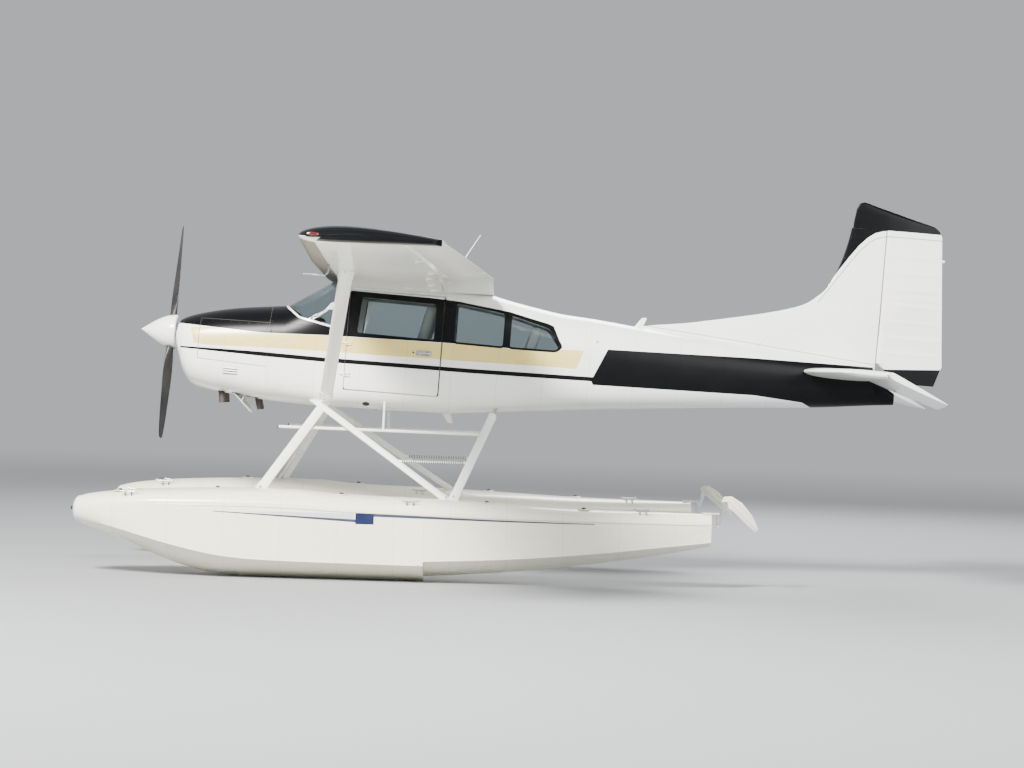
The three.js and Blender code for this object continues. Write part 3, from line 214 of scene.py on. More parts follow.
def grown(outline: Array, by: float) -> Array:
    """A closed outline moved outwards by a distance, along the mean of its two edge normals.

    Args:
        outline: the points, (n, 2).
        by: the distance, below zero to shrink it.

    Returns:
        The moved points, (n, 2).
    """
    p = np.asarray(outline, float)
    ahead, back = unit(np.roll(p, -1, axis=0) - p), unit(p - np.roll(p, 1, axis=0))
    turn = unit(ahead + back)
    normal = np.stack([turn[:, 1], -turn[:, 0]], -1)
    area = np.sum(p[:, 0] * np.roll(p[:, 1], -1) - np.roll(p[:, 0], -1) * p[:, 1])
    return p + normal * by * math.copysign(1.0, area)


def inside(points: Array, outline: Array) -> Array:
    """Whether each point lies in a closed outline, by counting the edges to its right.

    Args:
        points: the places, (n, 2).
        outline: the closed outline, (m, 2).

    Returns:
        A truth value for each point.
    """
    a, b = outline, np.roll(outline, -1, axis=0)
    px, py = points[:, 0, None], points[:, 1, None]
    spans = (a[None, :, 1] > py) != (b[None, :, 1] > py)
    drop = np.where(b[:, 1] == a[:, 1], 1e-12, b[:, 1] - a[:, 1])
    cross = a[None, :, 0] + (py - a[None, :, 1]) * ((b[:, 0] - a[:, 0]) / drop)[None]
    return (np.sum(spans & (px < cross), axis=1) % 2) == 1


# Meshes


class Draft:
    """A mesh in the making: points, faces, the finish slot of each face, and known normals."""

    def __init__(self) -> None:
        """Starts empty."""
        self.points: list[Array] = []
        self.normals: list[Array] = []
        self.places: list[Array] = []
        self.groups: list[Array] = []
        self.faces: list[tuple[int, ...]] = []
        self.slots: list[int] = []
        self.count = 0
        self.group = 0

    def part(self) -> "Draft":
        """Starts a new body: later points weld only to each other."""
        self.group += 1
        return self

    def add(
        self,
        points: Array,
        faces: Array,
        slot: int | Array = 0,
        normals: Array | None = None,
        places: Array | None = None,
    ) -> None:
        """Adds points and the faces between them.

        Args:
            points: row-frame points, (n, 3).
            faces: indices into points, (m, 3) or (m, 4).
            slot: the finish slot of all faces, or one for each.
            normals: the surface's true normals at the points, where they are known.
            places: the pattern's coordinates at the points, (n, 2), in metres.
        """
        n = len(points)
        self.points.append(np.asarray(points, float))
        self.normals.append(np.zeros((n, 3)) if normals is None else normals)
        self.places.append(np.zeros((n, 2)) if places is None else places)
        self.groups.append(np.full(n, self.group))
        self.faces += (np.asarray(faces) + self.count).tolist()
        self.slots += np.broadcast_to(slot, len(faces)).tolist()
        self.count += n

    def grid(
        self, points: Array, wrap: bool = False, slot: int | Array = 0, places: Array | None = None
    ) -> None:
        """Adds a sheet of four-sided faces between neighbouring points of a grid.

        Args:
            points: row-frame points, (rows, columns, 3).
            wrap: whether the last column joins the first.
            slot: one finish slot, or one for each column of faces.
            places: the pattern's coordinates, (rows, columns, 2).
        """
        rows, columns = points.shape[:2]
        across = columns if wrap else columns - 1
        j = np.arange(across)[None]
        a = np.arange(rows - 1)[:, None] * columns + j
        b = np.arange(rows - 1)[:, None] * columns + (j + 1) % columns
        faces = np.stack([a, b, b + columns, a + columns], -1).reshape(-1, 4)
        slots = np.broadcast_to(slot, (rows - 1, across)).reshape(-1)
        flat = None if places is None else places.reshape(-1, 2)
        self.add(points.reshape(-1, 3), faces, slots, places=flat)

    def cap(self, ring: Array, slot: int = 0) -> None:
        """Closes a ring with triangles to its middle.

        Args:
            ring: its points, (n, 3).
            slot: the finish slot.
        """
        n = len(ring)
        k = np.arange(n)
        faces = np.stack([k, (k + 1) % n, np.full(n, n)], -1)
        self.add(np.concatenate([ring, ring.mean(0, keepdims=True)]), faces, slot)

    def loft(
        self,
        rings: Array,
        slot: int | Array = 0,
        caps: tuple[bool, bool] = (True, True),
        cap_slot: int = 0,
        places: Array | None = None,
    ) -> None:
        """Adds a closed skin through rings, (rows, columns, 3), and its two end caps.

        Args:
            rings: the points, (rows, columns, 3).
            slot: one finish slot, or one for each face of the skin.
            caps: whether the first and the last ring are closed.
            cap_slot: the finish slot of the caps.
            places: the pattern's coordinates, (rows, columns, 2).
        """
        self.grid(rings, wrap=True, slot=slot, places=places)
        if caps[0]:
            self.cap(rings[0], cap_slot)
        if caps[1]:
            self.cap(rings[-1], cap_slot)

    def tube(
        self, path: Array, radius: float | Array, sides: int = 10, slot: int = 0, closed: bool = False
    ) -> None:
        """Adds a round bar along a path: each ring stands square to the mean of its two runs.

        Args:
            path: points, (n, 3).
            radius: one radius, or one for each point.
            sides: how many points a ring has.
            slot: the finish slot.
            closed: whether the path comes back to its start.
        """
        p = np.asarray(path, float)
        if closed:
            p = np.concatenate([p[-1:], p, p[:2]])
        run = unit(np.gradient(p, axis=0))
        if closed:
            p, run = p[1:-1], run[1:-1]
        lead = np.array([0.0, 0.0, 1.0]) if abs(run[:, 2]).max() < 0.9 else np.array([0.31, 0.95, 0.05])
        e1 = unit(np.cross(run, lead))
        e2 = np.cross(run, e1)
        turn = around(sides)
        r = np.broadcast_to(np.asarray(radius, float), len(p))[:, None, None]
        ring = np.cos(turn)[None, :, None] * e1[:, None] + np.sin(turn)[None, :, None] * e2[:, None]
        self.loft(p[:, None] + ring * r, slot=slot, cap_slot=slot, caps=(not closed, not closed))

    def bar(self, start: Array, end: Array, chord: float, thick: float, aft: Array) -> None:
        """Adds a streamlined bar: blunt ahead, thin behind, its long side along aft.

        The section is x = cos a, y = sin a (1 + cos a)^0.35 / 1.2, with a once round.

        Args:
            start: the middle of one end.
            end: the middle of the other.
            chord: the section's length.
            thick: its thickness.
            aft: the direction of its thin edge.
        """
        a, b = np.asarray(start, float), np.asarray(end, float)
        run = unit(b - a)
        back = unit(np.asarray(aft, float) - run * np.dot(aft, run))
        over = np.cross(run, back)
        turn = around(20)
        wide = -np.cos(turn) * chord / 2
        deep = np.sin(turn) * (1.03 + np.cos(turn)) ** 0.35 / 1.2 * thick / 2
        ring = wide[:, None] * back + deep[:, None] * over
        self.loft(np.stack([a + ring, b + ring]))

    def box(self, low: Sequence[float], high: Sequence[float], round_by: float = 0.0) -> None:
        """Adds a block with rounded upright edges, in the row frame unless it is moved later.

        Args:
            low: its lowest corner.
            high: its highest corner.
            round_by: the radius of the upright edges.
        """
        (x0, y0, z0), (x1, y1, z1) = low, high
        corners = [(x0, y0), (x1, y0), (x1, y1), (x0, y1)]
        plan = rounded(corners, round_by, 5) if round_by else np.array(corners)
        self.loft(np.stack([np.c_[plan, np.full(len(plan), z)] for z in (z0, z1)]))

    def moved(self, change: Change) -> "Draft":
        """Passes every point so far through a rigid move, and turns the known normals with it.

        Args:
            change: the rigid move.

        Returns:
            This draft.
        """
        self.points = [change(p) for p in self.points]
        zero = change(np.zeros(3))
        self.normals = [change(n) - zero if n.any() else n for n in self.normals]
        return self

    def swung(self, hinge: tuple[float, float], angle: float) -> "Draft":
        """Turns the draft down about the line (s, w): s' = ds cos + dw sin, w' = dw cos - ds sin.

        Args:
            hinge: the line's s and w.
            angle: the turn, in radians.

        Returns:
            This draft.
        """
        c, t = math.cos(angle), math.sin(angle)
        hs, hw = hinge
        ds, dw = [p[:, 0] - hs for p in self.points], [p[:, 2] - hw for p in self.points]
        self.points = [
            np.c_[hs + a * c + b * t, p[:, 1], hw - a * t + b * c] for p, a, b in zip(self.points, ds, dw)
        ]
        self.normals = [
            np.c_[n[:, 0] * c + n[:, 2] * t, n[:, 1], -n[:, 0] * t + n[:, 2] * c] for n in self.normals
        ]
        return self

    def rods(self, ends: Sequence[Array], radius: float | Array, sides: int = 10, slot: int = 0) -> None:
        """Adds a round bar as a body of its own, straight between the given points.

        Args:
            ends: its points, (n, 3).
            radius: one radius, or one for each point.
            sides: how many points a ring has.
            slot: the finish slot.
        """
        self.part().tube(np.array(ends, float), np.array(radius, float), sides, slot)

    def mirrored(self) -> "Draft":
        """This draft turned to the other side, y to -y, with its faces reversed.

        Returns:
            A new draft.
        """
        out = Draft()
        flip = np.array([1.0, -1.0, 1.0])
        out.points = [p * flip for p in self.points]
        out.normals = [n * flip for n in self.normals]
        out.places = list(self.places)
        out.groups = list(self.groups)
        out.faces = [tuple(reversed(f)) for f in self.faces]
        out.slots = list(self.slots)
        out.count, out.group = self.count, self.group
        return out

    def join(self, other: "Draft", same_body: bool = False) -> "Draft":
        """Takes in another draft's points and faces, as new bodies unless same_body is set.

        Args:
            other: the draft to take in.
            same_body: whether its points weld to those of this one's first body.

        Returns:
            This draft.
        """
        shift = 0 if same_body else self.group + 1
        self.points += other.points
        self.normals += other.normals
        self.places += other.places
        self.groups += [g + shift for g in other.groups]
        self.faces += [tuple(v + self.count for v in f) for f in other.faces]
        self.slots += other.slots
        self.count += other.count
        self.group += 0 if same_body else other.group + 1
        return self

    def _welded(self) -> tuple[Array, Array, Array, list[tuple[int, ...]], list[int]]:
        """Points merged where they coincide, with the faces and slots that keep an area.

        Returns:
            The points, their normals and pattern places, the faces and their slots.
        """
        points = np.concatenate(self.points)
        key = np.c_[np.round(points / WELD), np.concatenate(self.groups)].astype(np.int64)
        _, first, back = np.unique(key, axis=0, return_index=True, return_inverse=True)
        back = back.reshape(-1)
        kept = [
            (face, slot)
            for face, slot in (
                (tuple(dict.fromkeys(back[list(f)].tolist())), s) for f, s in zip(self.faces, self.slots)
            )
            if len(face) > 2
        ]
        normals, places = np.concatenate(self.normals)[first], np.concatenate(self.places)[first]
        return points[first], normals, places, [f for f, _ in kept], [s for _, s in kept]

    def build(
        self,
        name: str,
        finishes: Sequence["Finish"],
        frame_of: Change = from_airframe,
        sharp: float = 38.0,
        outwards: bool = True,
    ) -> bpy.types.Object:
        """Makes the Blender object.

        Args:
            name: the piece's name.
            finishes: the finish of each slot.
            frame_of: the move from the draft's own frame to the row frame.
            sharp: the angle between two faces, in degrees, past which their edge is hard.
            outwards: whether closed bodies have their faces turned outwards.

        Returns:
            The object, at the origin, with its place in its mesh.
        """
        self.moved(frame_of)
        points, normals, places, faces, slots = self._welded()
        mesh = bpy.data.meshes.new(name)
        mesh.from_pydata(points.tolist(), [], faces)
        mesh.polygons.foreach_set("material_index", slots)
        if outwards:
            work = bmesh.new()
            work.from_mesh(mesh)
            bmesh.ops.recalc_face_normals(work, faces=work.faces)
            work.to_mesh(mesh)
            work.free()
        for finish in finishes:
            mesh.materials.append(finish.material())
        corner = np.zeros(len(mesh.loops), np.int32)
        mesh.loops.foreach_get("vertex_index", corner)
        layer = mesh.uv_layers.new(name="sheet")
        layer.data.foreach_set("uv", places[corner].astype(np.float32).ravel())
        mesh.polygons.foreach_set("use_smooth", np.ones(len(faces), bool))
        known = np.linalg.norm(normals, axis=1) > 0.5
        if known.any():
            self._known_normals(mesh, corner, normals, known)
        else:
            mesh.set_sharp_from_angle(angle=math.radians(sharp))
        mesh.update()
        piece = bpy.data.objects.new(name, mesh)
        bpy.context.scene.collection.objects.link(piece)
        LOG.info("%s: %d faces", name, len(faces))
        return piece

    @staticmethod
    def _known_normals(mesh: bpy.types.Mesh, corner: Array, normals: Array, known: Array) -> None:
        """Gives faces whose corners all have a known normal that shading, and the others their own.

        Args:
            mesh: the mesh to shade.
            corner: the point of each face corner.
            normals: the normal of each point.
            known: whether it is known.
        """
        size = np.zeros(len(mesh.polygons), np.int32)
        mesh.polygons.foreach_get("loop_total", size)
        flat = np.zeros(len(mesh.polygons) * 3, np.float32)
        mesh.polygons.foreach_get("normal", flat)
        flat = flat.reshape(-1, 3)
        face = np.repeat(np.arange(len(size)), size)
        true = normals[corner]
        facing = np.sum(true * flat[face], axis=1)
        smooth = np.bincount(face, known[corner] & (abs(facing) > 0.5), len(size)) == size
        shaded = np.where(smooth[face][:, None], true * np.sign(facing)[:, None], flat[face])
        mesh.normals_split_custom_set(unit(shaded).tolist())


class Surface:
    """A surface over a plane of two parameters, with its normals by small differences."""

    sense = 1.0
    reach = 1e-4

    def point(self, q: Array) -> Array:
        """The place of each parameter pair, (n, 3), in the airframe frame."""
        raise NotImplementedError

    def normal(self, q: Array) -> Array:
        """The unit normal: the cross product of the two tangents, each from a small step.

        Args:
            q: the parameter pairs, (n, 2).

        Returns:
            The normals, (n, 3).
        """
        h = np.eye(2) * self.reach
        along = self.point(q + h[0]) - self.point(q - h[0])
        over = self.point(q + h[1]) - self.point(q - h[1])
        return unit(np.cross(along, over)) * self.sense


@dataclass(frozen=True)
class Paint:
    """An area of a panel with its own finish slot, as an outline of the surface's parameters."""

    outline: Sequence[Sequence[float]]
    slot: int


@dataclass(frozen=True)
class Panel:
    """A sheet cut from a surface by outlines of its parameters, with a wall and painted areas."""

    surface: Surface
    outline: Sequence[Sequence[float]]
    holes: Sequence[Sequence[Sequence[float]]] = ()
    paint: Sequence[Paint] = ()
    step: float = 0.035
    inset: float = 0.0
    wall: float = 0.0
    inner_slot: int = 0
    edge_slot: int = 0

    def _triangles(self) -> tuple[Array, Array, Array]:
        """Triangles between the outlines and an even grid: corners, faces and their slots.

        Returns:
            Parameter pairs, (n, 2), faces, (m, 3), and the slot of each face.
        """
        border = dense(self.outline, self.step)
        holes = [dense(h, self.step) for h in self.holes]
        areas = [(dense(a.outline, self.step), a.slot) for a in self.paint]
        loops = [border, *holes, *[a for a, _ in areas]]
        low = border.min(0)
        size = np.ceil((border.max(0) - low) / self.step).astype(int) + 1
        ij = np.stack(np.meshgrid(np.arange(size[0]), np.arange(size[1]), indexing="ij"), -1).reshape(-1, 2)
        near = np.round((np.concatenate(loops) - low) / self.step).astype(int)
        wide = size[1] + 2
        ij = ij[~np.isin(ij @ (wide, 1), near @ (wide, 1))]
        free = low + ij * self.step
        free = free[inside(free, border)]
        corners, edges, first = [], [], 0
        for loop in loops:
            k = np.arange(len(loop))
            edges.append(np.stack([k, (k + 1) % len(loop)], -1) + first)
            corners.append(loop)
            first += len(loop)
        every = np.concatenate([*corners, free])
        made = delaunay_2d_cdt([Vector(p) for p in every], np.concatenate(edges).tolist(), [], 0, 1e-7)
        points = np.array([tuple(v) for v in made[0]])
        faces = np.array(made[2])
        middle = points[faces].mean(1)
        keep = inside(middle, border)
        for hole in holes:
            keep &= ~inside(middle, hole)
        faces, middle = faces[keep], middle[keep]
        slots = np.zeros(len(faces), int)
        for area, slot in areas:
            slots[inside(middle, area)] = slot
        used, back = np.unique(faces, return_inverse=True)
        return points[used], back.reshape(faces.shape), slots

    def onto(self, draft: Draft) -> Draft:
        """Adds the sheet, its inner face and its edges to a draft.

        Edges that lie in the middle plane get no rim, because the mirrored half joins there.

        Args:
            draft: the draft that gets the panel.

        Returns:
            The same draft.
        """
        q, faces, slots = self._triangles()
        normal = self.surface.normal(q)
        outer = self.surface.point(q) - normal * self.inset
        draft.add(outer, faces, slots, normal, q)
        if not self.wall:
            return draft
        inner = outer - normal * self.wall
        draft.add(inner, faces[:, ::-1], self.inner_slot, normal, q)
        sides = np.sort(np.concatenate([faces[:, [0, 1]], faces[:, [1, 2]], faces[:, [2, 0]]]), axis=1)
        ends, count = np.unique(sides, axis=0, return_counts=True)
        ends = ends[count == 1]
        ends = ends[(abs(outer[ends][..., 1]) > 1e-4).any(1)]
        a, b = ends.T
        n = len(q)
        rim = np.stack([a, b, b + n, a + n], -1)
        draft.add(np.concatenate([outer, inner]), rim, self.edge_slot, places=np.concatenate([q, q]))
        return draft


# Finishes


class Graph:
    """A short hand for a shader tree: each method adds one node and returns its output."""

    def __init__(self, tree: bpy.types.NodeTree) -> None:
        """Works on one tree."""
        self.tree = tree

    def node(
        self, kind: str, inputs: dict[int | str, object] | None = None, **settings: object
    ) -> bpy.types.Node:
        """Adds a node.

        Args:
            kind: Blender's name of the node type.
            inputs: each input's name or number, with the socket or value that it gets.
            settings: attributes of the node.

        Returns:
            The node.
        """
        made = self.tree.nodes.new(kind)
        for key, value in settings.items():
            setattr(made, key, value)
        for key, value in (inputs or {}).items():
            self.feed(made.inputs[key], value)
        return made

    def feed(self, socket: bpy.types.NodeSocket, value: object) -> None:
        """Links a socket to another one, or sets its value.

        Args:
            socket: the input.
            value: an output to link, or a plain value.
        """
        if isinstance(value, bpy.types.NodeSocket):
            self.tree.links.new(value, socket)
        else:
            socket.default_value = value

    def math(self, operation: str, a: object, b: object = 0.0, c: object = 0.0) -> bpy.types.NodeSocket:
        """A Math node's value."""
        return self.node("ShaderNodeMath", {0: a, 1: b, 2: c}, operation=operation).outputs[0]

    def noise(
        self, vector: object, scale: object, detail: float = 4.0, rough: float = 0.55
    ) -> bpy.types.NodeSocket:
        """A noise value between 0 and 1."""
        inputs = {"Vector": vector, "Scale": scale, "Detail": detail, "Roughness": rough}
        return self.node("ShaderNodeTexNoise", inputs).outputs["Fac"]

    def ramp(
        self, value: object, low: float, high: float, to: tuple[float, float] = (0.0, 1.0)
    ) -> bpy.types.NodeSocket:
        """A value taken smoothly from one range to another."""
        inputs = {"Value": value, "From Min": low, "From Max": high, "To Min": to[0], "To Max": to[1]}
        return self.node("ShaderNodeMapRange", inputs, interpolation_type="SMOOTHSTEP").outputs[0]

    def mix(self, share: object, a: object, b: object) -> bpy.types.NodeSocket:
        """Two colours mixed by a share.

        Args:
            share: how much of the second colour.
            a: the first colour.
            b: the second colour.

        Returns:
            The mixed colour.
        """
        made = self.node("ShaderNodeMix", data_type="RGBA")
        for key, value in ((0, share), (6, a), (7, b)):
            self.feed(made.inputs[key], value)
        return made.outputs[2]


GroupBody = Callable[[Graph, bpy.types.Node], dict[str, object]]


def shared_group(
    name: str, inputs: dict[str, tuple[str, object]], outputs: dict[str, str], body: GroupBody
) -> bpy.types.NodeTree:
    """A shader node group, built once.

    Args:
        name: the group's name.
        inputs: each input's socket kind and value.
        outputs: each output's socket kind.
        body: fills the group from its input node and gives the socket of each output.

    Returns:
        The group's tree.
    """
    if name in bpy.data.node_groups:
        return bpy.data.node_groups[name]
    tree = bpy.data.node_groups.new(name, "ShaderNodeTree")
    for key, (kind, value) in inputs.items():
        tree.interface.new_socket(key, in_out="INPUT", socket_type=kind).default_value = value
    for key, kind in outputs.items():
        tree.interface.new_socket(key, in_out="OUTPUT", socket_type=kind)
    graph = Graph(tree)
    given = graph.node("NodeGroupInput")
    made = graph.node("NodeGroupOutput")
    for key, socket in body(graph, given).items():
        graph.feed(made.inputs[key], socket)
    return tree


FLOAT, COLOUR = "NodeSocketFloat", "NodeSocketColor"


def wear_body(graph: Graph, given: bpy.types.Node) -> dict[str, object]:
    """Broad dirt clouds, fine specks and streaks: colour and roughness that vary with them.

    Args:
        graph: the group's tree.
        given: its input node.

    Returns:
        The socket of each output.
    """
    take = given.outputs
    place = graph.node("ShaderNodeTexCoord").outputs["Object"]
    broad = graph.noise(place, take["Scale"], 5.0, 0.6)
    fine = graph.noise(place, graph.math("MULTIPLY", take["Scale"], 14.0), 3.0, 0.6)
    long = graph.node("ShaderNodeMapping", {"Vector": place, "Scale": (0.22, 1.0, 1.0)}).outputs[0]
    streak = graph.noise(long, graph.math("MULTIPLY", take["Scale"], 9.0), 4.0, 0.65)
    cloud = graph.math("MULTIPLY_ADD", streak, 0.4, graph.math("MULTIPLY", broad, 0.6))
    dirt = graph.math("MULTIPLY", graph.ramp(cloud, 0.38, 0.74), take["Dirt"])
    speck = graph.math("MULTIPLY", graph.ramp(fine, 0.62, 0.8), graph.math("MULTIPLY", take["Dirt"], 0.5))
    total = graph.math("ADD", dirt, speck)
    shade = graph.math("MULTIPLY_ADD", graph.math("SUBTRACT", broad, 0.5), take["Spread"], take["Roughness"])
    rough = graph.math("MULTIPLY_ADD", total, 0.35, shade)
    return {
        "Color": graph.mix(total, take["Color"], take["Dirt Color"]),
        "Roughness": rough,
        "Height": fine,
    }


def rivet_body(graph: Graph, given: bpy.types.Node) -> dict[str, object]:
    """Rivet heads in rows and lap seams, on the sheet's own metres.

    The distance to the nearest row is |x - round(x / bay) bay|, which Ping-pong gives for bay / 2.

    Args:
        graph: the group's tree.
        given: its input node.

    Returns:
        The socket of each output.
    """
    take = given.outputs
    sheet = graph.node("ShaderNodeUVMap", uv_map="sheet").outputs[0]
    split = graph.node("ShaderNodeSeparateXYZ", {0: sheet}).outputs

    def near(value: object, pitch: object) -> bpy.types.NodeSocket:
        """The distance to the nearest multiple of the pitch."""
        return graph.math("PINGPONG", value, graph.math("MULTIPLY", pitch, 0.5))

    def heads(across: object, along: object) -> bpy.types.NodeSocket:
        """One where a rivet head stands.

        Args:
            across: the distance to the row.
            along: the distance to the rivet's place in it.

        Returns:
            The mask.
        """
        both = graph.node("ShaderNodeCombineXYZ", {0: across, 1: along}).outputs[0]
        reach = graph.node("ShaderNodeVectorMath", {0: both}, operation="LENGTH").outputs["Value"]
        return graph.ramp(reach, 0.0042, 0.0026)

    bay = near(split[0], take["Bay"])
    stringer = near(split[1], take["Stringer"])
    rows = graph.math(
        "MAXIMUM",
        heads(bay, near(split[1], take["Pitch"])),
        heads(stringer, near(split[0], take["Pitch"])),
    )
    seam = graph.ramp(bay, 0.0028, 0.0012)
    waves = graph.noise(sheet, 2.6, 1.0)
    height = graph.math("MULTIPLY_ADD", rows, 0.5, graph.math("MULTIPLY", waves, 3.0))
    return {
        "Height": graph.math("SUBTRACT", height, graph.math("MULTIPLY", seam, 0.5)),
        "Mask": graph.math("MAXIMUM", graph.math("MULTIPLY", rows, 0.5), seam),
    }


def weave_body(graph: Graph, given: bpy.types.Node) -> dict[str, object]:
    """A plain weave: warp and weft waves, sin of x and of y, over and under each other, its colour darker
    where the threads dip and lighter on their crowns as painted shade.

    Args:
        graph: the group's tree.
        given: its input node.

    Returns:
        The socket of each output.
    """
    take = given.outputs
    place = graph.node("ShaderNodeTexCoord").outputs["Object"]
    split = graph.node("ShaderNodeSeparateXYZ", {0: place}).outputs
    turns = graph.math("MULTIPLY", take["Threads"], 6.28318)
    warp = graph.math("SINE", graph.math("MULTIPLY", graph.math("ADD", split[0], split[2]), turns))
    weft = graph.math(
        "SINE",
        graph.math(
            "MULTIPLY", graph.math("ADD", split[1], graph.math("MULTIPLY", split[2], 0.4)), turns
        ),
    )
    fuzz = graph.noise(place, 420.0, 2.0)
    height = graph.math("MULTIPLY_ADD", warp, weft, fuzz)
    # painted shade: the colour is darker where the threads dip under each other and lighter on their crowns;
    # the noise below adds a random tone
    shade = graph.ramp(height, -1.0, 2.0)
    tone = graph.math("MULTIPLY_ADD", shade, 0.5, graph.math("MULTIPLY", graph.noise(place, 5.0), 0.5))
    return {"Color": graph.mix(tone, take["Dark"], take["Light"]), "Height": height}


class Texture(Enum):
    """What a finish's surface carries besides its colour."""

    PLAIN = "plain"
    RIVETED = "riveted"
    WOVEN = "woven"
    GLASS = "glass"
    GLOW = "glow"


@dataclass(frozen=True)
class Finish:
    """A surface finish: colour, gloss, dirt and what stands on it."""

    name: str
    colour: tuple[float, float, float]
    rough: float = 0.3
    metal: float = 0.0
    coat: float = 0.0
    dirt: float = 0.12
    dirt_colour: tuple[float, float, float] = (0.24, 0.21, 0.16)
    scale: float = 1.4
    spread: float = 0.08
    grain: float = 0.0004
    texture: Texture = Texture.PLAIN
    bay: float = 0.44
    stringer: float = 0.21
    specular: float = 0.5
    slot: str = ""

    def material(self) -> bpy.types.Material:
        """The finish's material, made once.

        Returns:
            The material.
        """
        if self.name in bpy.data.materials:
            return bpy.data.materials[self.name]
        made = bpy.data.materials.new(self.name)
        made.use_nodes = True
        graph = Graph(made.node_tree)
        shader = made.node_tree.nodes["Principled BSDF"]
        shader.inputs["Metallic"].default_value = self.metal
        shader.inputs["Coat Weight"].default_value = self.coat
        shader.inputs["Coat Roughness"].default_value = 0.06
        shader.inputs["Specular IOR Level"].default_value = self.specular
        if self.texture is Texture.GLASS:
            self._glass(graph, shader)
            return made
        if self.texture is Texture.WOVEN:
            self._cloth(graph, shader)
            return made
        self._paint(graph, shader)
        if self.texture is Texture.GLOW:
            shader.inputs["Emission Color"].default_value = (*self.colour, 1)
            shader.inputs["Emission Strength"].default_value = 0.06
        return made

    def _bump(self, graph: Graph, shader: bpy.types.Node, height: object, depth: float) -> None:
        """Feeds the shader's normal from a height, in units of depth metres."""
        bump = graph.node("ShaderNodeBump", {"Height": height, "Distance": depth, "Strength": 1.0})
        graph.feed(shader.inputs["Normal"], bump.outputs[0])

    def _paint(self, graph: Graph, shader: bpy.types.Node) -> None:
        """Paint, metal, rubber or plastic: the wear group, with rivets where there are any.

        Args:
            graph: the material's tree.
            shader: its shader.
        """
        inputs = {
            "Color": (COLOUR, (0.8, 0.8, 0.8, 1)),
            "Dirt Color": (COLOUR, (0.2, 0.18, 0.15, 1)),
            "Dirt": (FLOAT, 0.1),
            "Scale": (FLOAT, 1.0),
            "Roughness": (FLOAT, 0.3),
            "Spread": (FLOAT, 0.1),
        }
        tree = shared_group("wear", inputs, {"Color": COLOUR, "Roughness": FLOAT, "Height": FLOAT}, wear_body)
        values = {
            "Color": (*self.colour, 1),
            "Dirt Color": (*self.dirt_colour, 1),
            "Dirt": self.dirt,
            "Scale": self.scale,
            "Roughness": self.rough,
            "Spread": self.spread,
        }
        wear = graph.node("ShaderNodeGroup", node_tree=tree)
        for key, value in values.items():
            graph.feed(wear.inputs[key], value)
        colour, height = wear.outputs["Color"], wear.outputs["Height"]
        if self.texture is Texture.RIVETED:
            spec = {"Bay": (FLOAT, 0.5), "Stringer": (FLOAT, 0.2), "Pitch": (FLOAT, 0.03)}
            tree = shared_group("rivets", spec, {"Height": FLOAT, "Mask": FLOAT}, rivet_body)
            rivets = graph.node("ShaderNodeGroup", node_tree=tree)
            for key, value in {"Bay": self.bay, "Stringer": self.stringer, "Pitch": 0.03}.items():
                graph.feed(rivets.inputs[key], value)
            share = graph.math("MULTIPLY", rivets.outputs["Mask"], 0.32)
            colour = graph.mix(share, colour, (*[c * 0.35 for c in self.colour], 1))
            height = graph.math("MULTIPLY_ADD", height, 0.25, rivets.outputs["Height"])
        graph.feed(shader.inputs["Base Color"], colour)
        graph.feed(shader.inputs["Roughness"], wear.outputs["Roughness"])
        self._bump(graph, shader, height, self.grain)

    def _cloth(self, graph: Graph, shader: bpy.types.Node) -> None:
        """Woven cloth with a soft sheen, and painted shade in the dips of its weave.

        Args:
            graph: the material's tree.
            shader: its shader.
        """
        inputs = {
            "Dark": (COLOUR, (0.2, 0.2, 0.2, 1)),
            "Light": (COLOUR, (0.6, 0.6, 0.6, 1)),
            "Threads": (FLOAT, 300.0),
        }
        tree = shared_group("weave", inputs, {"Color": COLOUR, "Height": FLOAT}, weave_body)
        weave = graph.node("ShaderNodeGroup", node_tree=tree)
        graph.feed(weave.inputs["Dark"], (*[c * 0.62 for c in self.colour], 1))
        graph.feed(weave.inputs["Light"], (*self.colour, 1))
        graph.feed(weave.inputs["Threads"], 1 / self.scale)
        graph.feed(shader.inputs["Base Color"], weave.outputs["Color"])
        shader.inputs["Roughness"].default_value = self.rough
        shader.inputs["Sheen Weight"].default_value = 0.3
        self._bump(graph, shader, weave.outputs["Height"], self.grain)

    def _glass(self, graph: Graph, shader: bpy.types.Node) -> None:
        """Clear acrylic: light passes with a slight tint, and smears change only the gloss.

        Args:
            graph: the material's tree.
            shader: its shader.
        """
        shader.inputs["Transmission Weight"].default_value = 1.0
        shader.inputs["IOR"].default_value = 1.2
        shader.inputs["Base Color"].default_value = (*self.colour, 1)
        place = graph.node("ShaderNodeTexCoord").outputs["Object"]
        smear = graph.ramp(graph.noise(place, 3.0), 0.3, 0.8, (self.rough, self.rough + 0.05))
        graph.feed(shader.inputs["Roughness"], smear)


def linear(red: int, green: int, blue: int) -> tuple[float, float, float]:
    """A screen colour as linear light, by ((c + 0.055) / 1.055)^2.4 with c from 0 to 1."""
    return tuple(
        ((c / 255 + 0.055) / 1.055) ** 2.4 if c > 10 else c / 255 / 12.92 for c in (red, green, blue)
    )


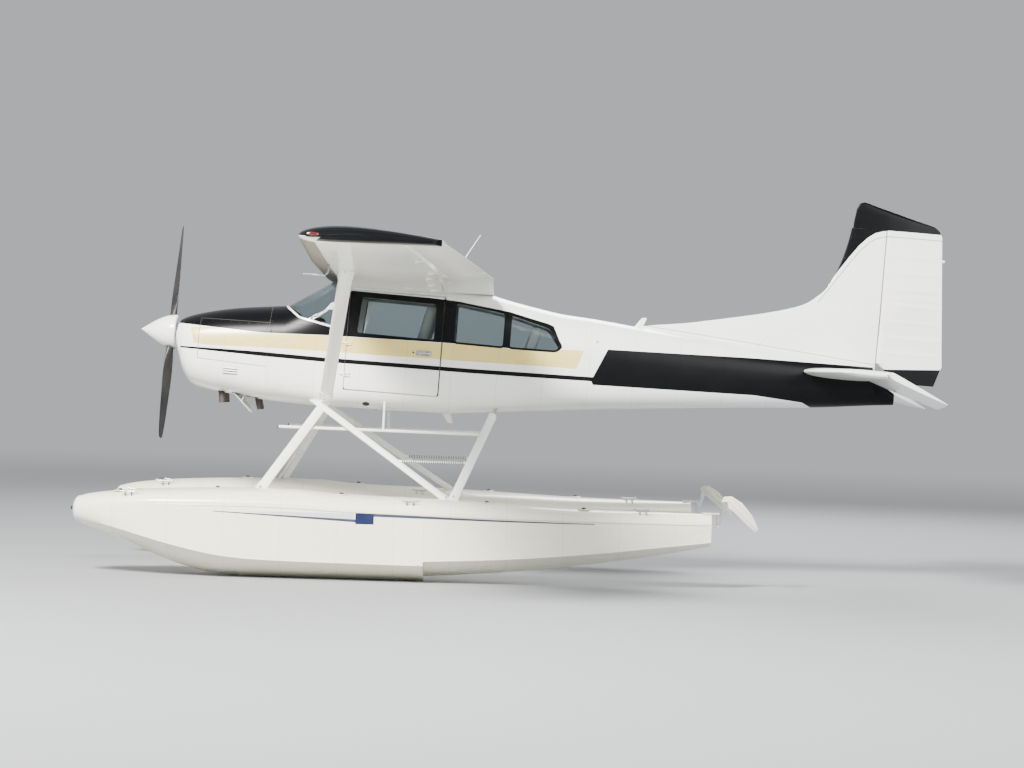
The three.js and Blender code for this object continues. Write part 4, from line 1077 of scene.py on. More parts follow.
WHITE = Finish(
    "white_paint_skin", linear(247, 247, 243), 0.24, coat=0.35, dirt=0.07, texture=Texture.RIVETED,
    slot="white_paint",
)
SMOOTH_WHITE = Finish(
    "white_paint_smooth", linear(246, 246, 242), 0.22, coat=0.4, dirt=0.07, slot="white_paint"
)
BLACK = Finish(
    "black_paint_skin", linear(6, 7, 9), 0.30, coat=0.0, dirt=0.03, dirt_colour=(0.06, 0.06, 0.06),
    texture=Texture.RIVETED, specular=0.14, slot="black_paint",
)
SMOOTH_BLACK = Finish(
    "black_paint_smooth", linear(6, 7, 9), 0.30, coat=0.0, dirt=0.03, dirt_colour=(0.06, 0.06, 0.06),
    specular=0.14, slot="black_paint",
)
PIN = Finish("grey_pinstripe", linear(150, 150, 148), 0.3, coat=0.3, dirt=0.05, slot="white_paint")
TAN = Finish(
    "tan_paint", linear(226, 206, 126), 0.28, coat=0.25, dirt=0.10, texture=Texture.RIVETED,
    slot="white_paint",
)
# dark seam lines, and painted shade inside the cowl's inlets and shaft hole
SEAM_AND_SHADE = Finish("seam_shadow", linear(28, 28, 27), 0.6, dirt=0.2, slot="black_paint")
FLOAT_WHITE = Finish(
    "float_paint_skin", linear(248, 244, 222), 0.28, coat=0.25, dirt=0.15,
    dirt_colour=(0.30, 0.27, 0.18), scale=0.9, texture=Texture.RIVETED, bay=0.52, stringer=0.16,
    slot="float_paint",
)
FLOAT_TINT = Finish("float_stripe_tint", linear(206, 203, 212), 0.3, coat=0.25, dirt=0.1, slot="float_paint")
FLOAT_STRIPE = Finish("float_stripe_paint", linear(52, 60, 80), 0.3, coat=0.25, dirt=0.12, slot="black_paint")
FLOAT_BADGE = Finish("plain_blue_paint", linear(4, 20, 64), 0.3, coat=0.25, dirt=0.1, slot="black_paint")
PROP_PAINT = Finish(
    "propeller_paint", linear(26, 26, 27), 0.42, dirt=0.2, dirt_colour=(0.16, 0.15, 0.14), scale=4.0,
    slot="black_paint",
)
BARE = Finish(
    "bare_metal_sheet", (0.60, 0.61, 0.62), 0.34, metal=1.0, dirt=0.25, dirt_colour=(0.22, 0.21, 0.2),
    scale=6.0, spread=0.25, slot="bare_metal",
)
STEEL = Finish(
    "stainless_fittings", (0.55, 0.55, 0.54), 0.26, metal=1.0, dirt=0.15, scale=9.0, spread=0.2,
    slot="bare_metal",
)
SOOT = Finish(
    "heat_stained_metal", (0.10, 0.085, 0.075), 0.62, metal=0.7, dirt=0.5,
    dirt_colour=(0.03, 0.025, 0.02), scale=8.0, spread=0.3, grain=0.0012, slot="engine_metal",
)
RUBBER = Finish(
    "black_rubber", linear(28, 28, 29), 0.62, dirt=0.25, dirt_colour=(0.12, 0.12, 0.11), scale=7.0,
    grain=0.0006, slot="black_paint",
)
PLASTIC = Finish(
    "dark_panel_plastic", linear(48, 48, 50), 0.55, dirt=0.1, dirt_colour=(0.1, 0.1, 0.1), scale=30.0,
    grain=0.0008, slot="panel_plastic",
)
DIAL = Finish("dial_faces", linear(14, 14, 15), 0.3, dirt=0.02, slot="panel_plastic")
MARKS = Finish("dial_marks", linear(225, 225, 220), 0.5, dirt=0.02, slot="white_paint")
TRIM = Finish(
    "cabin_lining", linear(196, 193, 184), 0.75, dirt=0.12, scale=18.0, grain=0.0009, slot="seat_cloth"
)
CARPET = Finish(
    "cabin_carpet", linear(88, 86, 82), 0.95, scale=0.006, grain=0.002, texture=Texture.WOVEN,
    slot="seat_cloth",
)
CLOTH = Finish(
    "seat_weave", linear(222, 220, 212), 0.85, scale=0.0032, grain=0.0005, texture=Texture.WOVEN,
    slot="seat_cloth",
)
GLASS = Finish("tinted_acrylic", (0.60, 0.67, 0.69), 0.01, texture=Texture.GLASS, slot="glazing")
RED_LENS = Finish("red_lens", linear(74, 10, 9), 0.12, coat=0.8, texture=Texture.GLOW, slot="glazing")
GREEN_LENS = Finish("green_lens", linear(10, 74, 40), 0.12, coat=0.8, texture=Texture.GLOW, slot="glazing")
CLEAR_LENS = Finish("clear_lens", linear(225, 228, 230), 0.1, coat=0.8, texture=Texture.GLOW, slot="glazing")


# Pieces


@dataclass
class Assembly:
    """A sub-assembly: it names, registers and places each piece that it builds."""

    own_frame: ClassVar[Change] = staticmethod(from_airframe)

    def fit(
        self,
        name: str,
        draft: Draft,
        finishes: Sequence[Finish],
        body: str = "airframe",
        replaces: Sequence[str] = (),
        frame_of: Change | None = None,
        sharp: float = 38.0,
        outwards: bool = True,
    ) -> bpy.types.Object:
        """Builds a piece from its draft and tells the frame what carries it.

        Args:
            name: the piece's name.
            draft: its mesh.
            finishes: the finish of each slot of the draft.
            body: the body that it rides on.
            replaces: the CAD nodes that it stands for.
            frame_of: the move from the draft's frame to the row frame, if it isn't the sub-assembly's.
            sharp: the angle of a hard edge, in degrees.
            outwards: whether faces are turned outwards.

        Returns:
            The piece.
        """
        piece = draft.build(name, finishes, frame_of or self.own_frame, sharp, outwards)
        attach(piece, body)
        if replaces:
            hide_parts(*replaces)
        return piece

    def fit_pair(self, name: str, draft: Draft, finishes: Sequence[Finish], **how: object) -> None:
        """Fits the right side's piece and its mirror image, with {side} filled in everywhere.

        Args:
            name: the pieces' name, with {side} in it.
            draft: the right side's mesh.
            finishes: the finish of each slot.
            how: the other arguments of fit.
        """
        for side, label in SIDES.items():
            one = draft.mirrored() if side < 0 else Draft().join(draft, same_body=True)
            filled = dict(how)
            if "body" in filled:
                filled["body"] = filled["body"].format(side=label)
            if "replaces" in filled:
                filled["replaces"] = [n.format(side=label) for n in filled["replaces"]]
            self.fit(name.format(side=label), one, finishes, **filled)


# x, top, bottom, height of the widest line, half width, squareness above and below it (mm).
FUSELAGE = [
    [385, 90, -165, -40, 290, 2.6, 2.6],
    [402, 124, -215, -50, 345, 2.8, 2.6],
    [470, 160, -405, -100, 405, 2.8, 2.6],
    [560, 192, -498, -130, 440, 2.8, 2.8],
    [740, 240, -541, -150, 470, 2.8, 3.0],
    [970, 284, -567, -150, 495, 2.8, 3.2],
    [1298, 326, -597, -140, 525, 2.9, 3.6],
    [1430, 341, -603, -120, 535, 2.9, 3.6],
    [1580, 438, -606, -110, 545, 2.9, 3.8],
    [1730, 533, -609, -100, 552, 3.1, 4.0],
    [1880, 622, -608, -90, 557, 3.5, 4.2],
    [2050, 648, -605, -80, 560, 4.2, 4.4],
    [3000, 655, -583, -80, 558, 4.4, 4.4],
    [3300, 630, -556, -60, 545, 4.2, 4.2],
    [3540, 575, -531, -40, 528, 3.8, 4.0],
    [3800, 527, -502, -20, 502, 3.4, 3.8],
    [4130, 477, -466, 0, 468, 3.0, 3.5],
    [4410, 458, -436, 10, 436, 2.8, 3.2],
    [4860, 414, -391, 20, 388, 2.6, 3.0],
    [5930, 326, -290, 40, 272, 2.4, 2.6],
    [6650, 266, -231, 50, 192, 2.3, 2.4],
    [7190, 215, -168, 50, 118, 2.2, 2.2],
    [7225, 90, -164, -20, 100, 2.2, 2.2],
    [7420, -30, -144, -85, 50, 2.2, 2.2],
]
MM = 0.001
IN_METRES = np.array([MM] * 5 + [1, 1])


class Hull(Surface):
    """The fuselage's skin over (s, girth x angle).

    A section is the superellipse |y / half|^n + |t|^n = 1, with t the height from its widest line
    as a share of the reach above or below it. The polar angle a gives y = half r cos a and
    t = r sin a with r = (|cos a|^n + |sin a|^n)^(-1/n).
    """

    sense = -1.0
    girth = 0.5

    def __init__(self) -> None:
        """Reads the sections."""
        self.rows = Table(np.array(FUSELAGE) * IN_METRES, breaks=(0.402, 1.43, 7.19, 7.225))

    def side(self, outline: Sequence[Sequence[float]]) -> Array:
        """An outline of the side view, (s, w), as parameters."""
        p = dense(outline, 0.02)
        return self.place_at(p[:, 0], p[:, 1])

    def whole(self, low: float, high: float) -> Array:
        """The parameters of the right half's whole girth between two places along s."""
        return self.side([(low, -SKY), (high, -SKY), (high, SKY), (low, SKY)])

    def below(self, outline: Sequence[Sequence[float]]) -> Array:
        """An outline of the view from below, (s, y), as parameters.

        Args:
            outline: the places, (n, 2).

        Returns:
            The parameter pairs, (m, 2).
        """
        p = dense(outline, 0.02)
        _, _, _, _, half, _, n = self._row(p[:, 0])
        t = np.clip(p[:, 1] / half, 0, 1)
        return np.c_[p[:, 0], -np.arctan2((1 - t**n) ** (1 / n), t) * self.girth]

    def _row(self, s: Array) -> tuple[Array, ...]:
        """The section's values at each place."""
        return (s, *np.moveaxis(self.rows.at(s), -1, 0))

    def point(self, q: Array) -> Array:
        """The skin's place, by the formula above.

        Args:
            q: the parameter pairs, (..., 2).

        Returns:
            The places, (..., 3).
        """
        s, angle = q[..., 0], q[..., 1] / self.girth
        _, top, bottom, widest, half, above, below = self._row(s)
        c, t = np.cos(angle), np.sin(angle)
        n = np.where(t >= 0, above, below)
        r = (abs(c) ** n + abs(t) ** n) ** (-1 / n)
        reach = np.where(t >= 0, top - widest, widest - bottom)
        return np.stack([s, half * r * c, widest + reach * r * t], -1)

    def ring(self, s: float, inset: float = 0.0, count: int = 96) -> Array:
        """A whole section's points, drawn in by the inset.

        Args:
            s: the place along the hull.
            inset: how far inside the skin.
            count: the number of points.

        Returns:
            The points, (count, 3).
        """
        angle = around(count)
        q = np.c_[np.full(count, s), angle * self.girth]
        return self.point(q) - self.normal(q) * inset

    def edge(self, s: Array, w: Array, inset: float = 0.0) -> Array:
        """The half width of the skin at a height, less the inset."""
        return self.point(self.place_at(s, w))[..., 1] - inset

    def place_at(self, s: Array, w: Array) -> Array:
        """Parameters of side-view places: the angle is a = atan2(t, (1 - |t|^n)^(1/n)).

        Args:
            s: places along the hull.
            w: their heights.

        Returns:
            The parameter pairs, (..., 2).
        """
        _, top, bottom, widest, _, above, below = self._row(np.asarray(s, float))
        up = w >= widest
        n = np.where(up, above, below)
        t = np.clip((w - widest) / np.where(up, top - widest, widest - bottom), -1, 1)
        return np.stack([s, np.arctan2(t, (1 - abs(t) ** n) ** (1 / n)) * self.girth], -1)


HULL = Hull()
SKY = 2.0
COWL_FRONT, FIREWALL, CABIN_FRONT, CABIN_REAR = 0.385, 1.298, 1.338, 4.36
SILL_LINE = [(1.338, -0.440), (3.0, -0.430), (4.36, -0.330)]
ROOF_LINE = [(1.885, 0.541), (3.0, 0.545), (3.54, 0.490), (4.0, 0.392), (4.36, 0.335)]
GLASS_BASE = [(1.4, 0.356), (1.575, 0.226), (1.905, 0.160)]
PILLAR_TOP = (1.998, 0.541)
DECK = 0.160
DOOR_WINDOW = rounded([(2.135, 0.118), (2.895, 0.108), (2.895, 0.470), (2.165, 0.482)], 0.035)
REAR_WINDOW = rounded([(3.072, 0.106), (3.560, 0.100), (3.560, 0.436), (3.072, 0.498)], 0.035)
AFT_WINDOW = rounded([(3.612, 0.100), (4.068, 0.103), (4.122, 0.152), (3.990, 0.330), (3.612, 0.428)], 0.03)
DOOR = [(2.056, -0.422), (2.962, -0.422), (2.962, 0.533), (2.056, 0.533)]
COWL_OUTLET = [(0.966, 0.076), (1.216, 0.076), (1.216, 0.294), (0.966, 0.294)]


def height_on(line: Sequence[Sequence[float]], s: Array) -> Array:
    """The height of a broken line at each place."""
    return np.interp(s, [p[0] for p in line], [p[1] for p in line])


def ribbon(line: Sequence[Sequence[float]], width: float) -> Array:
    """A thin band along an open line, as a closed outline.

    Args:
        line: its middle, (n, 2).
        width: its width.

    Returns:
        The outline, (m, 2).
    """
    p = dense(line, 0.05, closed=False)
    run = unit(np.gradient(p, axis=0))
    side = np.stack([-run[:, 1], run[:, 0]], -1) * width / 2
    return np.concatenate([p + side, (p - side)[::-1]])


@dataclass
class Livery:
    """The painted areas of the fuselage, as outlines of the side view."""

    black_edge: tuple = (
        (0.30, 0.085), (0.42, 0.083), (1.03, 0.059), (1.25, 0.053), (1.87, 0.077), (2.87, 0.096),
        (3.21, 0.100), (3.62, 0.097), (4.13, 0.138),
    )
    band_top: tuple = (
        (4.03, 0.344), (3.98, 0.364), (3.59, 0.450), (3.05, 0.510), (2.79, 0.520), (2.09, 0.527),
        (1.90, 0.527),
    )
    tan_top: tuple = (
        (0.53, 0.048), (0.70, 0.066), (1.03, 0.055), (1.25, 0.049), (1.87, 0.073), (2.87, 0.092),
        (3.21, 0.096), (3.62, 0.093), (4.10, 0.125), (4.338, 0.133),
    )
    tan_low: tuple = (
        (4.279, -0.051), (4.12, -0.047), (3.10, -0.064), (1.84, -0.078), (1.25, -0.088), (0.70, -0.106),
        (0.575, -0.095),
    )
    pin: tuple = (
        (0.44, -0.145), (1.04, -0.150), (1.84, -0.160), (2.87, -0.153), (3.23, -0.153), (4.50, -0.134)
    )
    band: tuple = (
        (4.43, -0.150), (4.57, 0.165), (6.0, 0.200), (7.60, 0.212), (7.60, -0.60), (6.63, -0.60),
        (6.62, -0.240), (6.51, -0.193), (6.03, -0.161), (4.45, -0.189),
    )
    seams: tuple = (
        ((0.62, -0.24), (1.30, -0.27)), ((0.62, 0.15), (1.30, 0.155)), ((0.62, -0.24), (0.62, 0.15))
    )

    def areas(self) -> list[Paint]:
        """The areas in the order that they are painted, each by finish slot: 1 black, 2 tan, 3 seam.

        Returns:
            The areas.
        """
        glasshouse = [*self.black_edge, *self.band_top, (1.88, 0.60), (1.88, SKY), (0.30, SKY)]
        pin = ribbon(self.pin, 0.042)
        middle = np.interp(pin[:, 0], [p[0] for p in self.pin], [p[1] for p in self.pin])
        pin[:, 1] = middle + (pin[:, 1] - middle) * np.interp(pin[:, 0], [0.44, 1.25], [0.38, 1.0])
        return [
            Paint(HULL.side(glasshouse), 1),
            Paint(HULL.side([*self.tan_top, *self.tan_low]), 2),
            Paint(HULL.side(pin), 1),
            Paint(HULL.side(self.band), 1),
        ]

    def seam_areas(self) -> list[Paint]:
        """The cowling's door seams as thin dark lines."""
        return [Paint(HULL.side(ribbon(line, 0.005)), 3) for line in self.seams]


SKIN = (WHITE, BLACK, TAN, SEAM_AND_SHADE, TRIM)
LIVERY = Livery()


def clipped(areas: Sequence[Paint], low: float, high: float) -> list[Paint]:
    """The areas that reach between two places along s.

    Args:
        areas: the painted areas.
        low: the first place.
        high: the second place.

    Returns:
        Those of the areas that reach there.
    """
    return [
        a
        for a in areas
        if np.min(np.asarray(a.outline)[:, 0]) < high and np.max(np.asarray(a.outline)[:, 0]) > low
    ]


@dataclass
class Fuselage(Assembly):
    """Cabin and tail cone skins, with the windows, the doors and the small fittings on them."""

    glass_inset: float = 0.003
    glass_wall: float = 0.007
    lap: float = 0.0008
    handle_at: tuple = (2.80, -0.02)
    hinge_axis: tuple = (2.053, 0.574)
    hinge_heights: tuple = (0.020, -0.280)
    cone_end: float = 7.42
    # How far a window's ring reaches out over the skin and in over the pane.
    ring_reach: tuple = (0.011, -0.009)
    # The side panels end at these places and heights, round the door.
    front_post: float = 2.05
    rear_post: float = 2.974
    front_head: float = 0.541
    rear_head: float = 0.545
    # The place along the cone from which its skin has a fine grid.
    cone_turn: float = 7.15

    def skin(
        self, outline: Array, holes: Sequence[Array] = (), step: float = 0.035, wall: float = 0.040
    ) -> Draft:
        """A right-hand skin panel in the livery.

        Args:
            outline: the panel's parameters.
            holes: the outlines of its openings.
            step: the grid's step.
            wall: its thickness.

        Returns:
            The panel.
        """
        low, high = outline[:, 0].min(), outline[:, 0].max()
        paint = clipped(LIVERY.areas(), low, high)
        panel = Panel(HULL, outline, holes, paint, step, wall=wall, inner_slot=4, edge_slot=0)
        return panel.onto(Draft())

    def whole(self, half: Draft) -> Draft:
        """A right half with its left half, welded in the middle plane."""
        return half.join(half.mirrored(), same_body=True)

    @staticmethod
    def lifted(line: Sequence[Sequence[float]], by: float) -> list[tuple[float, float]]:
        """A line of the side view moved up."""
        return [(s, w + by) for s, w in line]

    def build_cabin(self) -> None:
        """The roof, belly, deck and side panels, cut at the same lines as the frame's nodes."""
        g, lift = self.lap, self.lifted
        roof = [*lift(ROOF_LINE, g), (CABIN_REAR, SKY), (1.885, SKY)]
        self.fit("roof_skin", self.whole(self.skin(HULL.side(roof))), SKIN, replaces=["cabin_roof"])
        belly = [*lift(SILL_LINE, -g), (CABIN_REAR, -SKY), (CABIN_FRONT, -SKY)]
        self.fit("belly_skin", self.whole(self.skin(HULL.side(belly))), SKIN, replaces=["cabin_belly"])
        deck = [
            (CABIN_FRONT, DECK + g),
            (1.903, DECK + g),
            *lift(GLASS_BASE[:2], -g)[::-1],
            (1.398, SKY),
            (CABIN_FRONT, SKY),
        ]
        self.fit(
            "cowl_deck_skin",
            self.whole(self.skin(HULL.side(deck), step=0.03)),
            SKIN[1:2] + SKIN[1:],
            replaces=["cowl_deck"],
        )
        front = [
            *lift([SILL_LINE[0], (self.front_post, height_on(SILL_LINE, self.front_post))], g),
            (self.front_post, self.front_head - g),
            (1.998, self.front_head - g),
            (1.905, DECK - g),
            (CABIN_FRONT, DECK - g),
        ]
        self.fit_pair(
            "front_side_skin_{side}", self.skin(HULL.side(front)), SKIN, replaces=["front_side_{side}"]
        )
        rear = [
            (self.rear_post, height_on(SILL_LINE, self.rear_post) + g),
            *lift(SILL_LINE[1:], g),
            *lift(ROOF_LINE[1:], -g)[::-1],
            (self.rear_post, self.rear_head - g),
        ]
        holes = [HULL.side(REAR_WINDOW), HULL.side(AFT_WINDOW)]
        self.fit_pair(
            "rear_side_skin_{side}",
            self.skin(HULL.side(rear), holes, 0.03),
            SKIN,
            replaces=["rear_side_{side}"],
        )

    def pane(self, outline: Array) -> Draft:
        """A window pane just inside its hole.

        Args:
            outline: the hole's outline.

        Returns:
            The pane.
        """
        return Panel(
            HULL,
            HULL.side(grown(outline, -0.001)),
            step=0.035,
            inset=self.glass_inset,
            wall=self.glass_wall,
        ).onto(Draft())

    def frame_ring(self, outline: Array) -> Draft:
        """A raised trim ring that overlaps the skin and the pane."""
        outer, inner = (HULL.side(grown(outline, by)) for by in self.ring_reach)
        return Panel(HULL, outer, [inner], step=0.02, inset=-0.0022, wall=0.0075).onto(Draft())

    def build_windows(self) -> None:
        """The side windows, their rings, the windshield and its retaining strips."""
        self.fit_pair(
            "rear_window_pane_{side}", self.pane(REAR_WINDOW), (GLASS,), replaces=["rear_window_{side}"]
        )
        self.fit_pair(
            "aft_window_pane_{side}", self.pane(AFT_WINDOW), (GLASS,), replaces=["aft_window_{side}"]
        )
        rings = self.frame_ring(REAR_WINDOW).part().join(self.frame_ring(AFT_WINDOW))
        self.fit_pair("rear_window_frames_{side}", rings, (SMOOTH_BLACK,))
        glass = [(1.4, SKY), *GLASS_BASE, (PILLAR_TOP[0], 0.5405), (1.885, 0.5405), (1.885, SKY)]
        pane = Panel(
            HULL,
            HULL.side(self.lifted(glass, 0.001)),
            step=0.035,
            inset=self.glass_inset,
            wall=self.glass_wall,
        )
        self.fit("windshield_pane", self.whole(pane.onto(Draft())), (GLASS,), replaces=["windshield"])
        foot = [(1.402, 0.50), (1.402, 0.352), *[(s + 0.003, w + 0.003) for s, w in GLASS_BASE[1:]]]
        pillar = [(1.913, 0.168), (2.001, 0.535)]
        strip, post = (
            Panel(HULL, HULL.side(ribbon(line, width)), step=0.02, inset=-0.002, wall=0.004).onto(Draft())
            for line, width in ((foot, 0.018), (pillar, 0.024))
        )
        both = strip.part().join(post)
        self.fit("windshield_strips", both.join(both.mirrored()), (SMOOTH_WHITE,))

    def build_doors(self) -> None:
        """The front doors with their panes, rings, handles and outside hinges."""
        outline = rounded(DOOR, 0.03)
        door = self.skin(HULL.side(outline), [HULL.side(DOOR_WINDOW)], 0.03)
        self.fit_pair("door_leaf_{side}", door, SKIN, body="door_{side}", replaces=["door_{side}"])
        self.fit_pair(
            "door_pane_{side}",
            self.pane(DOOR_WINDOW),
            (GLASS,),
            body="door_{side}",
            replaces=["door_glass_{side}"],
        )
        self.fit_pair(
            "door_window_frame_{side}",
            self.frame_ring(DOOR_WINDOW),
            (SMOOTH_BLACK,),
            body="door_{side}",
        )
        jamb = Panel(
            HULL, HULL.side(grown(outline, 0.03)), [HULL.side(grown(outline, -0.022))], step=0.03,
            inset=0.0415, wall=0.012,
        )
        self.fit_pair("door_seal_{side}", jamb.onto(Draft()), (RUBBER,))
        self.fit_pair("door_handle_{side}", self.handle(), (STEEL, RUBBER), body="door_{side}")
        self.fit_pair("door_hinge_pins_{side}", self.hinges(0), (SMOOTH_WHITE,))
        self.fit_pair("door_hinge_leaves_{side}", self.hinges(1), (SMOOTH_WHITE,), body="door_{side}")

    def handle(self) -> Draft:
        """A flush paddle handle: a rounded plate with a pull bar on two feet.

        Returns:
            The right door's handle.
        """
        made = Draft()
        s, w = self.handle_at
        y = float(HULL.edge(np.array(s), np.array(w)))
        corners = [(s + a * 0.075, w + b * 0.028) for a, b in ((-1, -1), (1, -1), (1, 1), (-1, 1))]
        plate = rounded(corners, 0.02)
        Panel(HULL, HULL.side(plate), step=0.01, inset=-0.002, wall=0.004).onto(made)
        made.part()
        path = np.array(
            [
                (s - 0.055, y - 0.004, w), (s - 0.05, y + 0.016, w), (s - 0.03, y + 0.022, w),
                (s + 0.04, y + 0.022, w), (s + 0.058, y + 0.014, w), (s + 0.06, y - 0.004, w),
            ]
        )
        made.tube(path, 0.0065, 10)
        made.part()
        made.tube(np.array([(s - 0.10, y - 0.004, w), (s - 0.10, y + 0.003, w)]), 0.009, 14, 1)
        return made

    def hinges(self, moving: int) -> Draft:
        """The knuckles of the two outside hinges, fixed or moving, about the door's axis.

        Args:
            moving: 1 for the door's knuckles, 0 for the cabin's.

        Returns:
            The right side's knuckles.
        """
        made = Draft()
        x, y = self.hinge_axis
        for z in self.hinge_heights:
            spans = [(z - 0.016, z - 0.006), (z + 0.006, z + 0.016)] if moving else [(z - 0.005, z + 0.005)]
            for low, high in spans:
                made.rods([(x, y, low), (x, y, high)], 0.0085, 16)
                reach = (x, x + 0.05) if moving else (x - 0.05, x)
                made.part().box((reach[0], y - 0.034, low), (reach[1], y - 0.002, high))
            if not moving:
                made.rods([(x, y, z - 0.019), (x, y, z + 0.019)], 0.004, 12)
        return made

    def build_tail_cone(self) -> None:
        """The tail cone and its end under the rudder."""
        half = Draft()
        for low, high, step in (
            (CABIN_REAR + 0.001, self.cone_turn, 0.04), (self.cone_turn, self.cone_end, 0.011)
        ):
            half.join(self.skin(HULL.whole(low, high), step=step, wall=0.012), same_body=True)
        whole = self.whole(half)
        whole.part().cap(HULL.ring(self.cone_end), 1)
        self.fit("tail_cone_skin", whole, SKIN, replaces=["tail_cone"])

    def build_cabin_inside(self) -> None:
        """The floor and the bulkhead behind the baggage."""
        s = np.linspace(CABIN_FRONT + 0.004, CABIN_REAR - 0.02, 40)
        w = height_on(SILL_LINE, s) + 0.004
        y = HULL.edge(s, w, 0.044)
        share = np.linspace(-1, 1, 24)
        top = np.stack(
            [
                np.broadcast_to(s[:, None], (40, 24)),
                y[:, None] * share,
                np.broadcast_to(w[:, None], (40, 24)),
            ],
            -1,
        )
        made = Draft()
        made.grid(top)
        self.fit("cabin_floor_carpet", made, (CARPET,), outwards=False)
        wall = Draft()
        wall.cap(HULL.ring(CABIN_REAR - 0.012, 0.042))
        self.fit("baggage_bulkhead", wall, (TRIM,), outwards=False)
        front = self.whole(self.skin(HULL.whole(FIREWALL, CABIN_FRONT), step=0.02, wall=0.012))
        front.part().cap(HULL.ring(FIREWALL + 0.015, 0.006), 5)
        self.fit("firewall_sheet", front, (*SKIN, BARE), replaces=["firewall"])


@dataclass
class Cowling(Assembly):
    """The nose bowl, the cowl's skins, its inlets, flaps and pipes, and the engine behind them."""

    inlet: tuple = (0.196, -0.028, 0.062, 0.046)
    exhaust: tuple = ((0.836, 0.210, -0.335), (0.872, 0.210, -0.655))
    flap_hinge: tuple = (0.966, -0.5624)
    flap_open: float = math.radians(36)
    shaft_hole: float = 0.078
    inlet_depth: float = 0.11
    bowl_end: float = 0.56
    # The points round an opening.
    round: int = 48

    def ellipse(self, grow: float) -> Array:
        """The inlet's oval in the front face, (y, w).

        Args:
            grow: how much wider than the inlet.

        Returns:
            The points, (n, 2).
        """
        y, w, a, b = self.inlet
        turn = around(self.round)
        return np.c_[y + (a + grow) * np.cos(turn), w + (b + grow) * np.sin(turn)]

    def build_skin(self) -> None:
        """The bowl and the skin behind it, with the outlets cut in its bottom."""
        areas = [*LIVERY.areas(), *LIVERY.seam_areas()]
        split = self.bowl_end
        bowl = Panel(
            HULL, HULL.whole(COWL_FRONT, split), (), clipped(areas, 0.3, split), 0.012, wall=0.004,
            inner_slot=3,
        )
        body = Panel(
            HULL,
            HULL.whole(split, FIREWALL - 0.001),
            [HULL.below(COWL_OUTLET)],
            clipped(areas, split, FIREWALL),
            0.028,
            wall=0.004,
            inner_slot=3,
        )
        half = bowl.onto(Draft())
        half.join(body.onto(Draft()), same_body=True)
        half.join(half.mirrored(), same_body=True)
        half.part().join(self.face())
        self.fit("cowling_skin", half, SKIN, replaces=["cowling"], sharp=50)

    def face(self) -> Draft:
        """The flat front of the bowl with its two oval inlets and the hole for the shaft, both lined dark as
        painted shade.

        Returns:
            The whole front.
        """
        made = Draft()
        ring = HULL.ring(COWL_FRONT, 0.0, 120)[:, 1:]
        turn = around(self.round)
        shaft = np.c_[self.shaft_hole * np.cos(turn), self.shaft_hole * np.sin(turn)]
        left = self.ellipse(0.0) * (-1, 1)
        front = FrontFace()
        black = np.array([(-0.5, 0.045), (0.5, 0.045), (0.5, 0.3), (-0.5, 0.3)])
        Panel(
            front, ring, [self.ellipse(0.0), left, shaft], [Paint(black, 1)], 0.02, wall=0.004,
            inner_slot=3,
        ).onto(made)
        for side in (1, -1):
            depth = np.linspace(0, 1, 9)
            throat = np.stack(
                [
                    np.c_[
                        np.full(self.round, COWL_FRONT + 0.001 + self.inlet_depth * d),
                        (self.ellipse(-0.012 * d) * (side, 1)),
                    ]
                    for d in depth
                ]
            )
            # painted shade: the throat and the wall that closes it take the dark seam finish, for the shade
            # deep in the inlet
            made.part().grid(throat, wrap=True, slot=3)
            made.part().cap(throat[-1], 3)
            lip = np.c_[np.full(self.round, COWL_FRONT - 0.001), self.ellipse(0.002) * (side, 1)]
            made.part().tube(lip, 0.006, 10, 0, closed=True)
        # painted shade: the sleeve in the shaft hole is dark, for the shade behind the spinner
        hub = np.stack([np.c_[np.full(self.round, COWL_FRONT + d), shaft] for d in (0.001, 0.06)])
        made.part().loft(hub, slot=3, caps=(False, True), cap_slot=3)
        return made

    def build_flaps(self) -> None:
        """The cowl flaps: patches of the skin, turned open about their front edge."""
        inset = [(0.968, 0.078), (1.214, 0.078), (1.214, 0.292), (0.968, 0.292)]
        patch = Panel(HULL, HULL.below(inset), step=0.02, wall=0.004).onto(Draft())
        patch.swung(self.flap_hinge, self.flap_open)
        for y in (0.11, 0.26):
            patch.rods([(1.06, y, -0.628), (1.10, y, -0.52)], 0.005, 8)
        self.fit_pair("cowl_flap_panel_{side}", patch, (SMOOTH_WHITE,), replaces=["cowl_flap_{side}"])

    def build_fasteners(self) -> None:
        """Quarter-turn fasteners round the cowling's doors, and a louvre low on each side."""
        lines = [
            [(0.645, -0.225), (1.275, -0.252)],
            [(0.645, 0.135), (1.275, 0.140)],
            [(0.640, -0.20), (0.640, 0.12)],
            [(1.318, -0.42), (1.318, 0.27)],
        ]
        spots = np.concatenate([dense(line, 0.105, closed=False) for line in lines])
        made = Draft()
        for s, w in spots:
            q = HULL.place_at(np.array(s), np.array(w))
            p, n = HULL.point(q), HULL.normal(q)
            made.rods(
                [p - n * 0.002, p + n * 0.0012, p + n * 0.0018],
                [0.0085, 0.0085, 0.0065],
                16,
                0 if w > 0.05 else 2,
            )
            made.rods([p + n * 0.0014 + (0.0055, 0, 0), p + n * 0.0022 - (0.0055, 0, 0)], 0.0011, 5, 1)
        for w in (-0.315, -0.338, -0.361):
            s = np.linspace(0.875, 1.025, 14)
            q = HULL.place_at(s, np.full(14, w))
            p, n = HULL.point(q), HULL.normal(q)
            slim = np.sqrt(np.clip(1 - ((s - 0.95) / 0.0755) ** 4, 0.01, 1))
            made.part().tube(p - n * 0.002, 0.009 * slim, 12, 2)
            made.part().tube(p + n * 0.0035 - (0, 0, 0.0045), 0.0042 * slim, 8, 3)
        self.fit_pair("cowling_fasteners_{side}", made, (SMOOTH_BLACK, SEAM_AND_SHADE, SMOOTH_WHITE, RUBBER))

